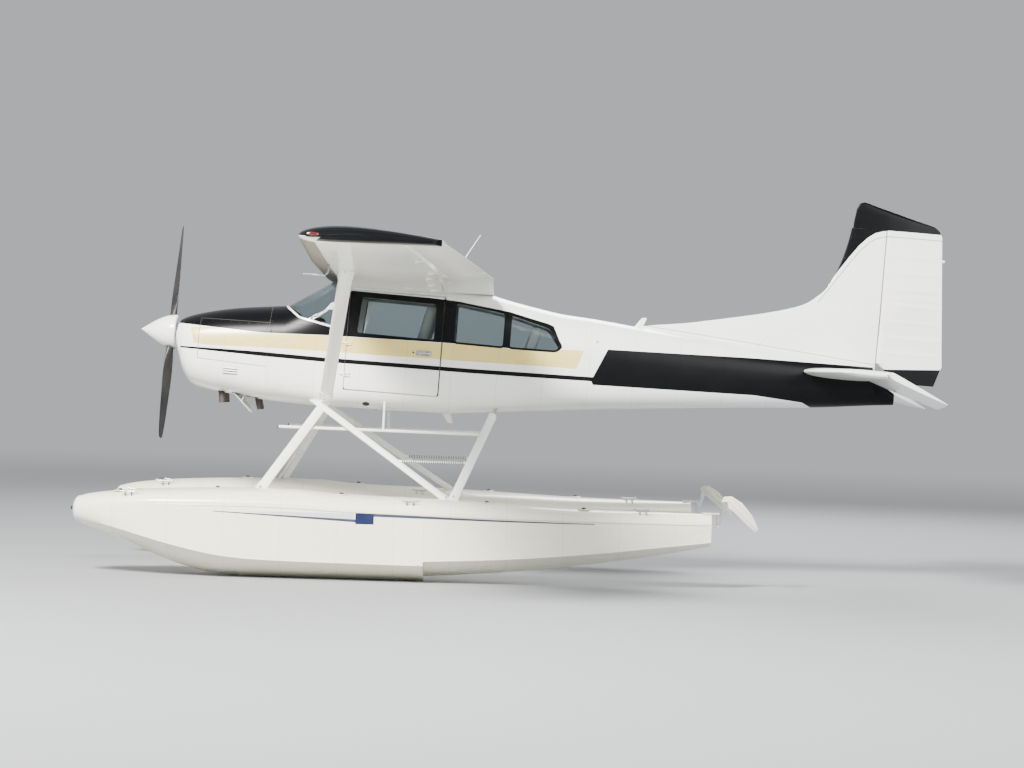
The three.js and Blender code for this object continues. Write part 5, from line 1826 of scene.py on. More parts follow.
    def build_pipes(self) -> None:
        """Both exhaust stacks, with a collar where each leaves the cowl, and the engine block."""
        made = Draft()
        top, mouth = (np.array(p) for p in self.exhaust)
        run = unit(mouth - top)
        stations = [0.0, 0.18, 0.3205, 0.321, 0.316, 0.24]
        radii = [0.030, 0.030, 0.0305, 0.027, 0.0262, 0.025]
        path = np.array([top + run * d for d in stations])
        lead = unit(np.cross(run, (0, 1, 0)))
        turn = around(28)
        ring = np.cos(turn)[:, None] * lead + np.sin(turn)[:, None] * np.cross(run, lead)
        made.loft(np.stack([p + ring * r for p, r in zip(path, radii)]))
        collar = top + run * 0.215
        made.part().tube(collar + ring * 0.036, 0.005, 8, 0, closed=True)
        both = made.join(made.mirrored())
        block = Draft()
        block.box((0.56, -0.235, -0.33), (1.165, 0.235, 0.07), round_by=0.05)
        for k in range(3):
            for side in (1, -1):
                s = 0.68 + 0.19 * k
                for fin in np.linspace(0.235, 0.29, 7):
                    near, far = sorted((side * fin, side * (fin + 0.003)))
                    block.part().box((s - 0.07, near, -0.16), (s + 0.07, far, -0.02), round_by=0.02)
        block.part().box((1.16, -0.14, -0.2), (1.297, 0.14, 0.0), round_by=0.03)
        self.fit("engine_case", both.join(block), (SOOT,), replaces=["engine_block"])


class FrontFace(Surface):
    """The bowl's flat front over (y, w)."""

    sense = -1.0

    def point(self, q: Array) -> Array:
        """The face's place."""
        return np.stack([np.full(q.shape[:-1], COWL_FRONT), q[..., 0], q[..., 1]], -1)


@dataclass
class Propeller(Assembly):
    """Two blades in a pointed spinner."""

    turn: float = math.radians(-12)
    radius: float = 1.070
    place: float = 0.300
    spinner_long: float = 0.345
    spinner_wide: float = 0.165
    # The points of a turned ring.
    round: int = 64
    # Share of the radius, chord, thickness, pitch in degrees.
    sections: tuple = (
        (0.05, 70, 62, 48), (0.16, 78, 58, 44), (0.3, 128, 34, 34), (0.5, 158, 20, 25),
        (0.75, 150, 12, 19), (0.93, 118, 8, 16), (0.985, 84, 6, 15.3), (1, 30, 4, 15),
    )

    def turned(self, p: Array) -> Array:
        """The propeller's own frame, turned about the shaft, in the row frame.

        Args:
            p: places of the propeller's own frame, (..., 3).

        Returns:
            Places of the row frame.
        """
        p = np.asarray(p, float)
        c, t = math.cos(self.turn), math.sin(self.turn)
        return from_airframe(
            np.stack([p[..., 0], p[..., 1] * c - p[..., 2] * t, p[..., 1] * t + p[..., 2] * c], -1)
        )

    def blade(self, side: int) -> Draft:
        """One blade: flat behind, arched ahead, and twisted along the radius.

        The section is x = cos a / 2 of the chord, and sin a / 2 of the thickness ahead of the
        chord line, 0.35 of that behind it outside the shank.

        Args:
            side: 1 for the upper blade, -1 for the lower one.

        Returns:
            The blade.
        """
        rows = Table([(r, c * MM, t * MM, math.radians(p)) for r, c, t, p in self.sections])
        share = np.concatenate([np.linspace(0.05, 0.93, 40), np.linspace(0.94, 1, 14)])
        chord, thick, pitch = np.moveaxis(rows.at(share), -1, 0)
        a = around(28)
        flat = np.clip((share - 0.16) / 0.2, 0, 1)[:, None] * 0.65
        wide = np.cos(a) * chord[:, None] / 2
        lean = np.clip(1 - flat * (np.sin(a) > 0), 0, 1)
        deep = np.sin(a) * lean * (1 + 0.25 * flat * np.cos(a)) * thick[:, None] / 2
        c, t = np.cos(pitch)[:, None], np.sin(pitch)[:, None]
        x = self.place - wide * t + deep * c
        y = side * (wide * c + deep * t)
        z = side * np.broadcast_to(share[:, None] * self.radius, x.shape)
        made = Draft()
        made.loft(np.stack([x, y, z], -1))
        return made

    def lathe(self, profile: Array, caps: tuple[bool, bool]) -> Draft:
        """A profile of (s, radius) carried once round the shaft line.

        Args:
            profile: pairs of s and radius.
            caps: whether the first and the last ring are closed.

        Returns:
            The turned body.
        """
        turn = around(self.round)
        c, t = np.cos(turn), np.sin(turn)
        made = Draft()
        made.loft(np.stack([np.c_[np.full(self.round, s), r * c, r * t] for s, r in profile]), caps=caps)
        return made

    def build(self) -> None:
        """The blades with their hub and shaft, and the spinner with its back plate."""
        made = self.blade(1).part().join(self.blade(-1))
        made.part().join(
            self.lathe(
                [
                    (0.235, 0.050), (0.24, 0.058), (0.25, 0.062), (0.345, 0.062), (0.355, 0.058),
                    (0.357, 0.05),
                ],
                caps=(True, True),
            )
        )
        made.part().join(self.lathe([(0.345, 0.038), (0.54, 0.038)], caps=(True, True)))
        for side in (1, -1):
            made.rods(
                [
                    (self.place, 0, side * 0.05),
                    (self.place, 0, side * 0.135),
                    (self.place, 0, side * 0.14),
                ],
                [0.046, 0.046, 0.04],
                28,
            )
        self.fit("propeller_blades", made, (PROP_PAINT,), "propeller", ["propeller"], self.turned)
        step = np.linspace(0, 1, 48) ** 1.4
        shell = np.c_[self.spinner_long * step, self.spinner_wide * np.sin(step * np.pi / 2) ** 1.02]
        rim = [(0.348, 0.164), (0.352, 0.160), (0.352, 0.05)]
        spinner = self.lathe([(0.0, 0.0), *shell[1:], *rim], caps=(False, True))
        spinner.part().tube(
            np.array([(0.3455, 0.1655 * math.cos(a), 0.1655 * math.sin(a)) for a in around(self.round)]),
            0.0015,
            6,
            1,
            closed=True,
        )
        for side in (1, -1):
            a = around(36)
            s, y = self.place + 0.047 * np.cos(a), 0.050 * np.sin(a)
            r = np.interp(s, shell[:, 0], shell[:, 1]) + 0.0008
            ring = np.stack([s, y, side * np.sqrt(np.maximum(r**2 - y**2, 0))], -1)
            spinner.part().tube(ring, 0.003, 8, 1, closed=True)
            spinner.part().cap(ring, 1)
        self.fit("spinner_shell", spinner, (SMOOTH_WHITE, RUBBER), "propeller", ["spinner"], self.turned)


def foil(u: Array, thickness: Array, camber: float) -> tuple[Array, Array]:
    """Heights of the upper and lower skin at shares u of the chord.

    The half thickness is (t / 0.2)(0.2969 u^0.5 - 0.126 u - 0.3516 u^2 + 0.2843 u^3 - 0.1015 u^4),
    about a camber line of two parabolas that meet at 0.4.

    Args:
        u: shares of the chord.
        thickness: the greatest thickness as a share of it.
        camber: the camber line's height as a share of it.

    Returns:
        The heights above and below, as shares of the chord.
    """
    root = 0.2969 * np.sqrt(u) - 0.126 * u - 0.3516 * u**2 + 0.2843 * u**3 - 0.1015 * u**4
    half = thickness / 0.2 * root + 0.0012 * np.minimum(u * 30, 1)
    ahead = camber / 0.16 * (0.8 * u - u * u)
    behind = camber / 0.36 * (0.2 + 0.8 * u - u * u)
    line = np.where(u < 0.4, ahead, behind)
    return line + half, line - half


def spaced(start: float, end: float, count: int) -> Array:
    """Shares of the chord, closer together towards the leading edge."""
    a, b = math.sqrt(max(start, 0)), math.sqrt(end)
    return np.linspace(a, b, count) ** 2


@dataclass
class Wings(Assembly):
    """Both wings with their flaps and ailerons, the centre section, the struts and the fittings."""

    # y, leading edge, chord, drop, incidence in degrees, thickness share.
    sections: tuple = (
        (0, 1800, 1626, 0, 1.5, 0.12), (2540, 1800, 1626, 0, 1.5, 0.12),
        (5290, 1893, 1152, 0, -1.4, 0.12), (5400, 1915, 1105, 8, -1.5, 0.098),
        (5440, 1938, 1050, 13, -1.5, 0.068), (5460, 1965, 990, 16, -1.5, 0.030),
    )
    dihedral: float = math.tan(math.radians(1.73))
    flap: tuple = (0.72, 0.12, 0.575, 2.480)
    aileron: tuple = (0.76, 0.5, 2.560, 5.240)
    camber: float = 0.02
    edge_share: float = 0.115
    root: float = 0.5003
    tip: float = 5.46
    gap: float = 0.008
    cap_at: tuple = (1.35, 0.22)
    ring_at: tuple = (2.66, 0.24)
    pitot_at: tuple = (3.1, 0.12)
    thick: float = 0.12
    tip_paint: tuple = (5.30, 5.375)
    tip_edge: float = 0.024

    def __post_init__(self) -> None:
        """Reads the sections, straight between the given places as the frame has them."""
        self.rows = np.array(self.sections) * (MM, MM, MM, MM, 1, 1)

    def at(self, y: Array) -> Array:
        """The section's values at a span place, (5, n)."""
        return np.stack([np.interp(y, self.rows[:, 0], self.rows[:, k]) for k in range(1, 6)])

    def place(self, y: Array, u: Array, v: Array) -> Array:
        """A point of the wing: share u along the chord and v above it, turned by the incidence.

        Args:
            y: span places.
            u: shares of the chord.
            v: heights as shares of it.

        Returns:
            The places, (..., 3).
        """
        y, u, v = np.broadcast_arrays(y, u, v)
        leading, chord, drop, incidence, _ = self.at(y)
        turn = np.radians(incidence)
        x, z = (u - 0.3) * chord, v * chord - drop
        base = 0.635 + (np.abs(y) - self.root) * self.dihedral
        return np.stack(
            [
                leading + 0.3 * chord + x * np.cos(turn) + z * np.sin(turn),
                y,
                base - x * np.sin(turn) + z * np.cos(turn),
            ],
            -1,
        )

    def ring(self, y: float, rear: float, cove: Array | None = None) -> Array:
        """One closed section from a rear share round the nose and back, with its cove.

        Args:
            y: the span place.
            rear: the share where the fixed skin ends.
            cove: points (u, v) that close the back, or none.

        Returns:
            Points, (n, 3).
        """
        thick = self.at(np.array(y))[4]
        u = np.unique(np.r_[spaced(0, rear, 26), self.edge_share])
        upper, lower = foil(u, thick, self.camber)
        blunt = self.tip_edge / self.at(np.array(y))[1] * min(max((y - 5.27) / 0.09, 0), 1)
        blunt *= math.sqrt(min(max((5.4605 - y) / 0.05, 0), 1))
        top = np.c_[u, upper + blunt * u**2][::-1]
        low = np.c_[u, lower - blunt * u**2][1:]
        outline = np.concatenate([top, low, *([cove] if cove is not None else [])])
        return self.place(y, outline[:, 0], outline[:, 1])

    def slots(self, rear: float, extra: int) -> Array:
        """The finish slot of each column of a ring: 1 for the black leading edge.

        Args:
            rear: the share where the ring ends.
            extra: the columns of the cove.

        Returns:
            A slot for each column.
        """
        u = np.unique(np.r_[spaced(0, rear, 26), self.edge_share])
        line = np.concatenate([u[::-1], u[1:]])
        middle = (line[:-1] + line[1:]) / 2
        return np.r_[np.where(middle < self.edge_share, 1, 0), np.zeros(extra + 1, int)]

    def hinge(self, spec: tuple) -> tuple[Array, Array]:
        """The two ends of a surface's axis, and the wing's half thickness there.

        Args:
            spec: the surface's share of the chord, level in the wing, inner and outer end.

        Returns:
            The axis, (2, 3), and the half thickness at both ends.
        """
        share, level, inner, outer = spec
        y = np.array([inner, outer])
        _, chord, _, _, thick = self.at(y)
        top, low = foil(np.array(share), thick, self.camber)
        return self.place(y, share, low + (top - low) * level), (top - low) / 2 * chord

    def fixed(self, y0: float, y1: float, rear: float | None, tip: bool = False) -> Draft:
        """A stretch of fixed wing, its back open as a cove where a surface moves behind it.

        Args:
            y0: its inner end.
            y1: its outer end.
            rear: the share where a moving surface starts, or none.
            tip: whether it is the painted tip.

        Returns:
            The stretch.
        """
        share = rear if rear else 1.0
        count = max(int((y1 - y0) / 0.12), 2)
        places = np.linspace(y0, y1, count + 1)
        if tip:
            places = np.unique(np.r_[places, self.rows[3:, 0], self.tip_paint, np.linspace(5.4, 5.46, 6)])
        rings = []
        for y in places:
            cove = None
            if rear:
                thick = self.at(np.array(y))[4]
                top, low = foil(np.array(share), thick, self.camber)
                t = np.linspace(0, 1, 8)[1:-1]
                cove = np.c_[share - 0.022 * np.sin(np.pi * t), low + (top - low) * t]
            rings.append(self.ring(y, share, cove))
        rings = np.stack(rings)
        slots = self.slots(share, 6 if rear else 0)
        if tip:
            slots = self.tip_slots(places, slots)
        made = Draft()
        made.loft(rings, slot=slots, places=rings[..., [1, 0]], cap_slot=1 if tip else 0)
        return made

    def tip_slots(self, places: Array, slots: Array) -> Array:
        """The tip's slots by row: black over the top and round the edge, white low in front.

        Args:
            places: the span places of the rings.
            slots: the slot of each column inboard.

        Returns:
            The slots, (rows, columns).
        """
        middle = (places[:-1] + places[1:])[:, None] / 2
        top = np.arange(len(slots)) < len(slots) // 2
        low_front = ~top & (slots == 1)
        black = (middle > self.tip_paint[0]) & top | (middle > self.tip_paint[1]) & ~low_front
        return np.where(black | (middle < self.tip_paint[0]) & (slots == 1), 1, 0)

    def moving(self, spec: tuple, ahead: float, beads: float) -> Draft:
        """A control surface: a round or blunt nose at its axis and beads pressed in its skins.

        A bead lifts the skin by h cos^4 of the phase along the span, fading at both edges.

        Args:
            spec: as hinge takes it.
            ahead: how round the nose is, 1 for a half circle's depth.
            beads: their height h.

        Returns:
            The surface.
        """
        share, _, inner, outer = spec
        places = np.linspace(inner, outer, int((outer - inner) / 0.0125) + 1)
        u = np.linspace(share, 1.0, 12)
        rings = []
        for y in places:
            _, chord, _, _, thick = self.at(np.array(y))
            upper, lower = foil(u, thick, self.camber)
            fade = np.sin(np.clip((u - share - 0.03) / (0.97 - share - 0.03), 0, 1) * np.pi) ** 0.8
            lift = beads * max(math.cos(2 * math.pi * (y - inner) / 0.15), 0.0) ** 4 * fade / chord
            lift = lift if 0.05 < y - inner and y < outer - 0.05 else lift * 0
            nose_top, nose_low = foil(np.array(share), thick, self.camber)
            a = np.linspace(0, np.pi, 11)[1:-1]
            middle, half = (nose_top + nose_low) / 2, (nose_top - nose_low) / 2
            bulge = half * ahead
            nose = np.c_[share - bulge * np.sin(a), middle - half * np.cos(a)]
            outline = np.concatenate([np.c_[u, upper + lift][::-1], nose[::-1], np.c_[u, lower - lift]])
            rings.append(self.place(y, outline[:, 0], outline[:, 1]))
        rings = np.stack(rings)
        made = Draft()
        made.loft(rings, places=rings[..., [1, 0]])
        return made

    def build(self) -> None:
        """Everything on the right, mirrored to the left, and the centre section."""
        flap_rear = self.flap[0] - 0.020
        gap = self.gap
        aileron_rear = self.aileron[0] - (self.hinge(self.aileron)[1][0] + gap) / 1.45
        wing = self.fixed(self.root, self.flap[2] - gap, None)
        wing.part().join(self.fixed(self.flap[2] - gap, self.flap[3] + gap, flap_rear))
        wing.part().join(self.fixed(self.flap[3] + gap, self.aileron[2] - gap, None))
        wing.part().join(self.fixed(self.aileron[2] - gap, self.aileron[3] + gap, aileron_rear))
        wing.part().join(self.fixed(self.aileron[3] + gap, self.tip, None, tip=True))
        self.fit_pair("wing_skin_{side}", wing, (WHITE, BLACK), replaces=["wing_{side}"], sharp=30)
        centre = Draft()
        rings = np.stack(
            [self.ring(self.root, 1.0) * (1, 0, 1) + (0, y, 0) for y in np.linspace(-0.5, 0.5, 9)]
        )
        centre.loft(rings, slot=self.slots(1.0, 0), places=rings[..., [1, 0]])
        self.fit("wing_centre_skin", centre, (WHITE, BLACK), sharp=30)
        self.fit_pair(
            "flap_skin_{side}", self.moving(self.flap, 0.35, 0.0032), (WHITE,), body="flap_{side}",
            replaces=["flap_{side}"], sharp=30,
        )
        self.fit_pair(
            "aileron_skin_{side}", self.moving(self.aileron, 1.0, 0.003), (WHITE,),
            body="aileron_{side}", replaces=["aileron_{side}"], sharp=30,
        )
        self.build_struts()
        self.build_fittings()

    def build_struts(self) -> None:
        """The lift struts, with a sleeve and a fork at each end."""
        foot = np.array([1.888, 0.480, -0.545])
        top = self.place(2.54, 0.2, -0.02)
        run = unit(top - foot)
        made = Draft()
        made.bar(foot + run * 0.02, top - run * 0.02, 0.125, 0.046, AFT)
        made.part().bar(foot + run * 0.03, foot + run * 0.16, 0.14, 0.060, AFT)
        made.part().bar(top - run * 0.20, top - run * 0.03, 0.14, 0.060, AFT)
        for end, by in ((foot, 1), (top, -1)):
            made.rods(
                [end + run * 0.05 * by - AFT * 0.01 + np.cross(run, AFT) * k for k in (-0.034, 0.034)],
                0.011,
                12,
                1,
            )
        self.fit_pair("lift_strut_faired_{side}", made, (SMOOTH_WHITE, STEEL), replaces=["lift_strut_{side}"])

    def build_fittings(self) -> None:
        """Tank caps, tie-down rings, hinge brackets, tip lights and the pitot tube."""
        made = Draft()
        y, share = self.cap_at
        cap = self.place(y, share, foil(np.array([share]), self.thick, self.camber)[0][0])
        for r0, r1, h0, h1 in ((0.058, 0.056, -0.002, 0.004), (0.040, 0.036, 0.004, 0.011)):
            made.rods([cap + (0, 0, h0), cap + (0, 0, h1)], [r0, r1], 32)
        made.part().box(tuple(cap + (-0.006, -0.03, 0.011)), tuple(cap + (0.006, 0.03, 0.017)))
        self.fit_pair("fuel_cap_{side}", made, (STEEL,))
        ring = Draft()
        y, share = self.ring_at
        base = self.place(y, share, foil(np.array([share]), self.thick, self.camber)[1][0])
        a = around(24)
        ring.tube(
            base + np.c_[0.019 * np.cos(a), 0 * a, 0.019 * np.sin(a) - 0.022], 0.0035, 8, 0, closed=True
        )
        ring.rods([base + (0, 0, 0.006), base + (0, 0, -0.006)], 0.012, 12)
        for spec, shares in ((self.flap, (0.1, 0.5, 0.9)), (self.aileron, (0.12, 0.5, 0.88))):
            (p0, p1), _ = self.hinge(spec)
            for t in shares:
                p = p0 + (p1 - p0) * t
                _, under = foil(np.array(spec[0] - 0.075), self.at(np.array(p[1]))[4], self.camber)
                q = self.place(p[1], spec[0] - 0.075, under)
                ring.part().bar(
                    q + (0.0, 0, 0.012), q + (0.008, 0, -0.011), 0.070, 0.010, AFT
                )
        self.fit_pair("wing_fittings_{side}", ring, (SMOOTH_WHITE,))
        lamp = Draft()
        tip = self.place(5.44, 0.06, 0.015)
        shape = ((0.08, 0, 0), (0.055, 0.012, 0), (0.0, 0.018, 0), (-0.025, 0.012, 0), (-0.034, 0.0, 0))
        lamp.tube(tip + np.array(shape), np.array([0.009, 0.014, 0.017, 0.013, 0.003]), 16)
        other = lamp.mirrored()
        self.fit("tip_light_right", lamp, (GREEN_LENS,))
        self.fit("tip_light_left", other, (RED_LENS,))
        pitot = Draft()
        y, share = self.pitot_at
        q = self.place(y, share, foil(np.array([share]), self.thick, self.camber)[1][0])
        path = q + np.array([(0.0, 0, 0.01), (-0.01, 0, -0.08), (-0.03, 0, -0.10), (-0.22, 0, -0.10)])
        pitot.tube(path, np.array([0.009, 0.009, 0.008, 0.006]), 12)
        self.fit("pitot_tube", pitot.mirrored(), (STEEL,))


@dataclass
class Tail(Assembly):
    """Stabiliser, elevator, fin with its dorsal fillet, and rudder."""

    # y, leading edge, trailing edge, thickness share.
    tailplane: tuple = (
        (0, 6470, 7890, 0.075), (1200, 6640, 7790, 0.072), (1580, 6700, 7740, 0.058),
        (1625, 6735, 7712, 0.048), (1645, 6770, 7680, 0.03), (1650, 6790, 7660, 0.012),
    )
    # Height, leading edge, trailing edge, greatest half thickness.
    fin: tuple = (
        (-20, 4700, 7885, 46), (300, 4700, 7868, 46), (414, 4860, 7862, 46), (504, 5390, 7855, 46),
        (762, 6450, 7836, 45), (832, 6560, 7829, 44), (965, 6690, 7818, 42), (1408, 6850, 7783, 36),
        (1768, 6910, 7756, 31), (1840, 6925, 7750, 30),
    )
    axis: tuple = (7.170, 0.115)
    droop: float = math.radians(23)
    rudder_axis: float = 7.250
    horn: float = 1.560
    foot: float = 0.10
    tail_light: tuple = ((7.78, 0, 1.30), (7.80, 0, 1.30), (7.815, 0, 1.30), (7.82, 0, 1.30))
    half_span: float = 1.560
    # The elevator's inner end, and where its slanted inner edge meets the trailing edge.
    inner: tuple = (0.130, 0.430)
    cap_line: tuple = (
        (6.680, 0.968), (6.78, 1.13), (6.873, 1.270), (6.96, 1.39), (7.042, 1.477), (7.11, 1.525),
        (7.190, 1.552), (7.28, 1.556),
    )
    rudder_outline: tuple = (
        (7.25, 0.262), (7.48, 0.066), (7.80, 0.066), (7.868, 0.239), (7.770, 1.534), (7.745, 1.590),
        (7.680, 1.637), (6.985, 1.824), (6.950, 1.812), (6.915, 1.768), (6.890, 1.566), (7.25, 1.566),
    )
    lap_line: tuple = ((4.93, 0.436), (5.01, 0.429), (5.93, 0.352), (6.79, 0.273), (7.20, 0.236))

    def __post_init__(self) -> None:
        """Reads both tables."""
        self.plane_rows = np.array(self.tailplane) * (MM, MM, MM, 1)
        self.fin_rows = np.array(self.fin) * MM
        self.fin_table = Table(self.fin_rows)

    def plane_at(self, y: Array) -> Array:
        """Leading edge, trailing edge and thickness at a span place."""
        return np.stack(
            [np.interp(np.abs(y), self.plane_rows[:, 0], self.plane_rows[:, k]) for k in (1, 2, 3)]
        )

    def tail_ring(
        self, y: float, start: float | None, end: float | None, nose: bool, bead: float = 0.0
    ) -> Array:
        """A tailplane section from one place to another: whole, cut behind, or with a round nose.

        Args:
            y: the span place.
            start: where it starts, or none for the leading edge.
            end: where it ends, or none for the trailing edge.
            nose: whether it starts round.
            bead: the height of a bead.

        Returns:
            The points, (n, 3).
        """
        leading, trailing, thick = self.plane_at(np.array(y))
        chord = trailing - leading
        u0 = 0.0 if start is None else (start - leading) / chord
        u1 = 1.0 if end is None else (end - leading) / chord
        u = spaced(u0, u1, 18) if start is None else np.linspace(u0, u1, 14)
        half = foil(u, thick, 0.0)[0]
        if bead:
            fade = np.sin(np.clip((u - u0 - 0.02) / (u1 - u0 - 0.04), 0, 1) * np.pi) ** 0.35
            half = half + bead * fade / chord
        up = np.c_[u, half][::-1]
        if nose:
            a = np.linspace(0, np.pi, 13)[1:-1]
            r = half[0]
            round_nose = np.c_[u0 - r * np.sin(a), r * np.cos(a)]
            line = np.concatenate([up, round_nose, np.c_[u, -half]])
        else:
            line = np.concatenate([up, np.c_[u, -half][1:]])
            a = np.linspace(0, 1, 6)[1:-1]
            line = np.concatenate([line, np.c_[u1 - 0.018 * np.sin(a * np.pi), -half[-1] + 2 * half[-1] * a]])
        return np.c_[leading + line[:, 0] * chord, np.full(len(line), y), self.axis[1] + line[:, 1] * chord]

    def build_tailplane(self) -> None:
        """The fixed stabiliser through the cone, and the elevator drooping behind it."""
        rear = self.axis[0] - 0.054
        ys = np.unique(
            np.r_[np.linspace(-1.58, 1.58, 41), -self.plane_rows[2:, 0], self.plane_rows[2:, 0], 0.0]
        )
        rings = np.stack([self.tail_ring(y, None, rear, False) for y in ys])
        made = Draft()
        made.loft(rings, places=rings[..., [1, 0]])
        self.fit("stabiliser_skin", made, (WHITE,), replaces=["stabiliser"], sharp=30)
        half = Draft()
        near, meets = self.inner
        rows = []
        for y in np.linspace(near, self.half_span, 115):
            cut = self.axis[0] + (y - near) / (meets - near) * 0.8
            end = min(float(self.plane_at(np.array(y))[1]), cut + 0.02)
            phase = max(math.cos(2 * math.pi * (y - 0.2) / 0.13), 0.0) ** 4
            rows.append(self.tail_ring(y, self.axis[0], end, True, 0.003 * phase if 0.45 < y < 1.52 else 0.0))
        rows = np.stack(rows)
        half.loft(rows, places=rows[..., [1, 0]])
        both = half.join(half.mirrored())
        tube = np.array([(self.axis[0], y, self.axis[1]) for y in (-0.15, 0.15)])
        both.part().tube(tube, 0.017, 20)
        both.swung(self.axis, self.droop)
        self.fit("elevator_skin", both, (WHITE,), "elevator", ["elevator"], sharp=30)

    def fin_at(self, z: float) -> Array:
        """Leading edge, trailing edge and half thickness at a height."""
        return np.moveaxis(self.fin_table.at(z), -1, 0)

    def width(self, z: float, s: Array) -> Array:
        """The fin's half thickness at places along s.

        It swells as half sqrt(1 - (1 - u / 0.65)^2) to 65 % of the chord, and thins straight to 5 mm.

        Args:
            z: the height.
            s: the places.

        Returns:
            The half thickness at each.
        """
        leading, trailing, half = self.fin_at(z)
        u = np.clip((s - leading) / (trailing - leading), 0, 1)
        swell = half * np.sqrt(
            np.maximum(1 - (1 - np.minimum(u, 0.65) / 0.65) ** 2, 0)
        ) * (0.78 + 0.22 * np.clip((u - 0.1) / 0.3, 0, 1))
        return np.where(u < 0.65, swell, half + (0.005 - half) * (u - 0.65) / 0.35)

    def nose_radius(self, z: float) -> float:
        """The rudder nose's radius at a height."""
        return 0.036 - 0.010 * (z - 0.2) / 1.4

    def build_fin(self) -> None:
        """The fin with its black front, a thin grey line along it, and the fillet's lap."""
        side = FinSide(self)
        edge = np.array(self.cap_line)
        low = edge - (-0.010, 0.055)
        black = [*self.cap_line, (7.5, 1.70), (6.4, 1.70), (6.4, 0.968)]
        paint = [
            Paint(side.at(ribbon(self.lap_line, 0.007)), 2),
            Paint(side.at(ribbon([(6.60, 0.80), *low[1:]], 0.009)), 2),
            Paint(side.at(black), 1),
        ]
        outline = dense(
            [(0, self.foot), (side.span, self.foot), (side.span, self.horn), (0, self.horn)], 0.03
        )
        half = Panel(side, outline, paint=paint, step=0.028, wall=0.004).onto(Draft())
        whole = half.join(half.mirrored(), same_body=True)
        for z, slot in ((self.horn - 0.004, 1), (0.5, 0), (1.0, 0)):
            s = np.linspace(*side.limits(np.array(z)), 30)
            w = np.maximum(self.width(np.full(30, z), s) - 0.003, 0)
            ring = np.concatenate([np.c_[s, w], np.c_[s, -w][::-1]])
            whole.part().loft(
                np.stack([np.c_[ring, np.full(60, h)] for h in (z, z + 0.003)]),
                slot=slot,
                cap_slot=slot,
            )
        self.fit("fin_skin", whole, (WHITE, BLACK, PIN), replaces=["fin"], sharp=35)

    def _rudder_run(self, edge: Array, level: float, share: Array) -> Array:
        """Places along the rudder at a height, from its axis or its cut-off foot to its trailing edge.

        Args:
            edge: the rudder's outline.
            level: the height.
            share: shares of the way back.

        Returns:
            The places along s.
        """
        rear = np.interp(level, edge[2:6, 1], edge[2:6, 0])
        front = self.rudder_axis if level >= 0.262 else np.interp(level, [0.066, 0.262], [7.48, 7.25])
        return front + (rear - front) * share

    def _horn_cap(self, made: Draft, foot: float) -> None:
        """The balance horn: over each place along s, y = w (1 - f^8)^0.5 for f up to the top.

        Args:
            made: the draft that gets it.
            foot: the height of its lower face.
        """
        edge = np.array(
            [
                *self.rudder_outline[-3:][::-1],
                self.rudder_outline[7],
                self.rudder_outline[6],
                self.rudder_outline[5],
                (7.758, foot),
            ]
        )
        s = np.unique(np.r_[6.890 + 0.868 * np.linspace(0, 1, 46) ** 1.6, edge[:, 0]])
        front = [(6.890, foot), (6.896, 1.64), (6.915, 1.768), (6.930, 1.797), (6.950, 1.812), (6.985, 1.822)]
        line = np.array(
            [*front, (7.02, 1.8150), (7.680, 1.637), (7.715, 1.620), (7.745, 1.590), (7.758, foot)]
        )
        top = np.interp(s, line[:, 0], line[:, 1])
        w = self.width(np.full(len(s), 1.66), s)
        f = 1 - (1 - np.linspace(0, 1, 14)) ** 2
        y = w[:, None] * np.sqrt(1 - f**8)
        z = foot + (top[:, None] - foot) * f
        right = np.stack([np.broadcast_to(s[:, None], y.shape), y, z], -1)
        rings = np.concatenate([right, right[:, ::-1][:, 1:] * (1, -1, 1)], 1)
        made.part().loft(rings, slot=1, cap_slot=1, places=rings[..., [2, 0]])

    def build_rudder(self) -> None:
        """The rudder with its balance horn over the fin, and the light on its trailing edge."""
        horn = self.horn + 0.0015
        edge = np.array(self.rudder_outline)
        levels = np.unique(
            np.r_[
                np.linspace(0.068, 0.206, 10),
                np.linspace(0.206, horn - 0.001, 110),
                0.262,
                1.497,
                1.506,
            ]
        )
        share = np.linspace(0, 1, 16)
        rows = []
        for level in levels:
            tilt = 0.071 * np.interp(level, [0.066, 0.206, 0.40], [0.0, 1.0, 0.0])
            s = self._rudder_run(edge, level, share)
            z = level + tilt * (s - 7.42)
            phase = max(
                math.cos(2 * math.pi * (level - 0.35) / 0.16), 0.0
            ) ** 4 if 0.35 < level < 1.45 else 0.0
            w = self.width(z, s) + 0.0028 * phase * np.sin(share * np.pi) ** 0.35
            a = np.linspace(np.pi, 0, 13)[1:-1]
            r = self.nose_radius(level) if level >= 0.262 else w[0] * 0.9
            w[0] = max(w[0], r * 0.999) if level >= 0.262 else w[0]
            nose = np.c_[s[0] - r * np.sin(a), w[0] * np.cos(a), np.full(11, z[0])]
            right = np.c_[s, w, z]
            rows.append(np.concatenate([nose, right, right[::-1] * (1, -1, 1)]))
        rows = np.stack(rows)
        middle = (levels[:-1] + levels[1:]) / 2
        paint = np.where(middle < 0.206, 1, np.where(abs(middle - 1.5015) < 0.004, 2, 0))
        made = Draft()
        made.loft(
            rows, slot=np.repeat(paint[:, None], rows.shape[1], 1), places=rows[..., [2, 0]], cap_slot=1
        )
        self._horn_cap(made, horn)
        self.fit("rudder_skin", made, (WHITE, BLACK, PIN), "rudder", ["rudder"], sharp=35)
        light = Draft()
        light.tube(np.array(self.tail_light), np.array([0.012, 0.016, 0.012, 0.003]), 16)
        self.fit("tail_light", light, (CLEAR_LENS,), "rudder")


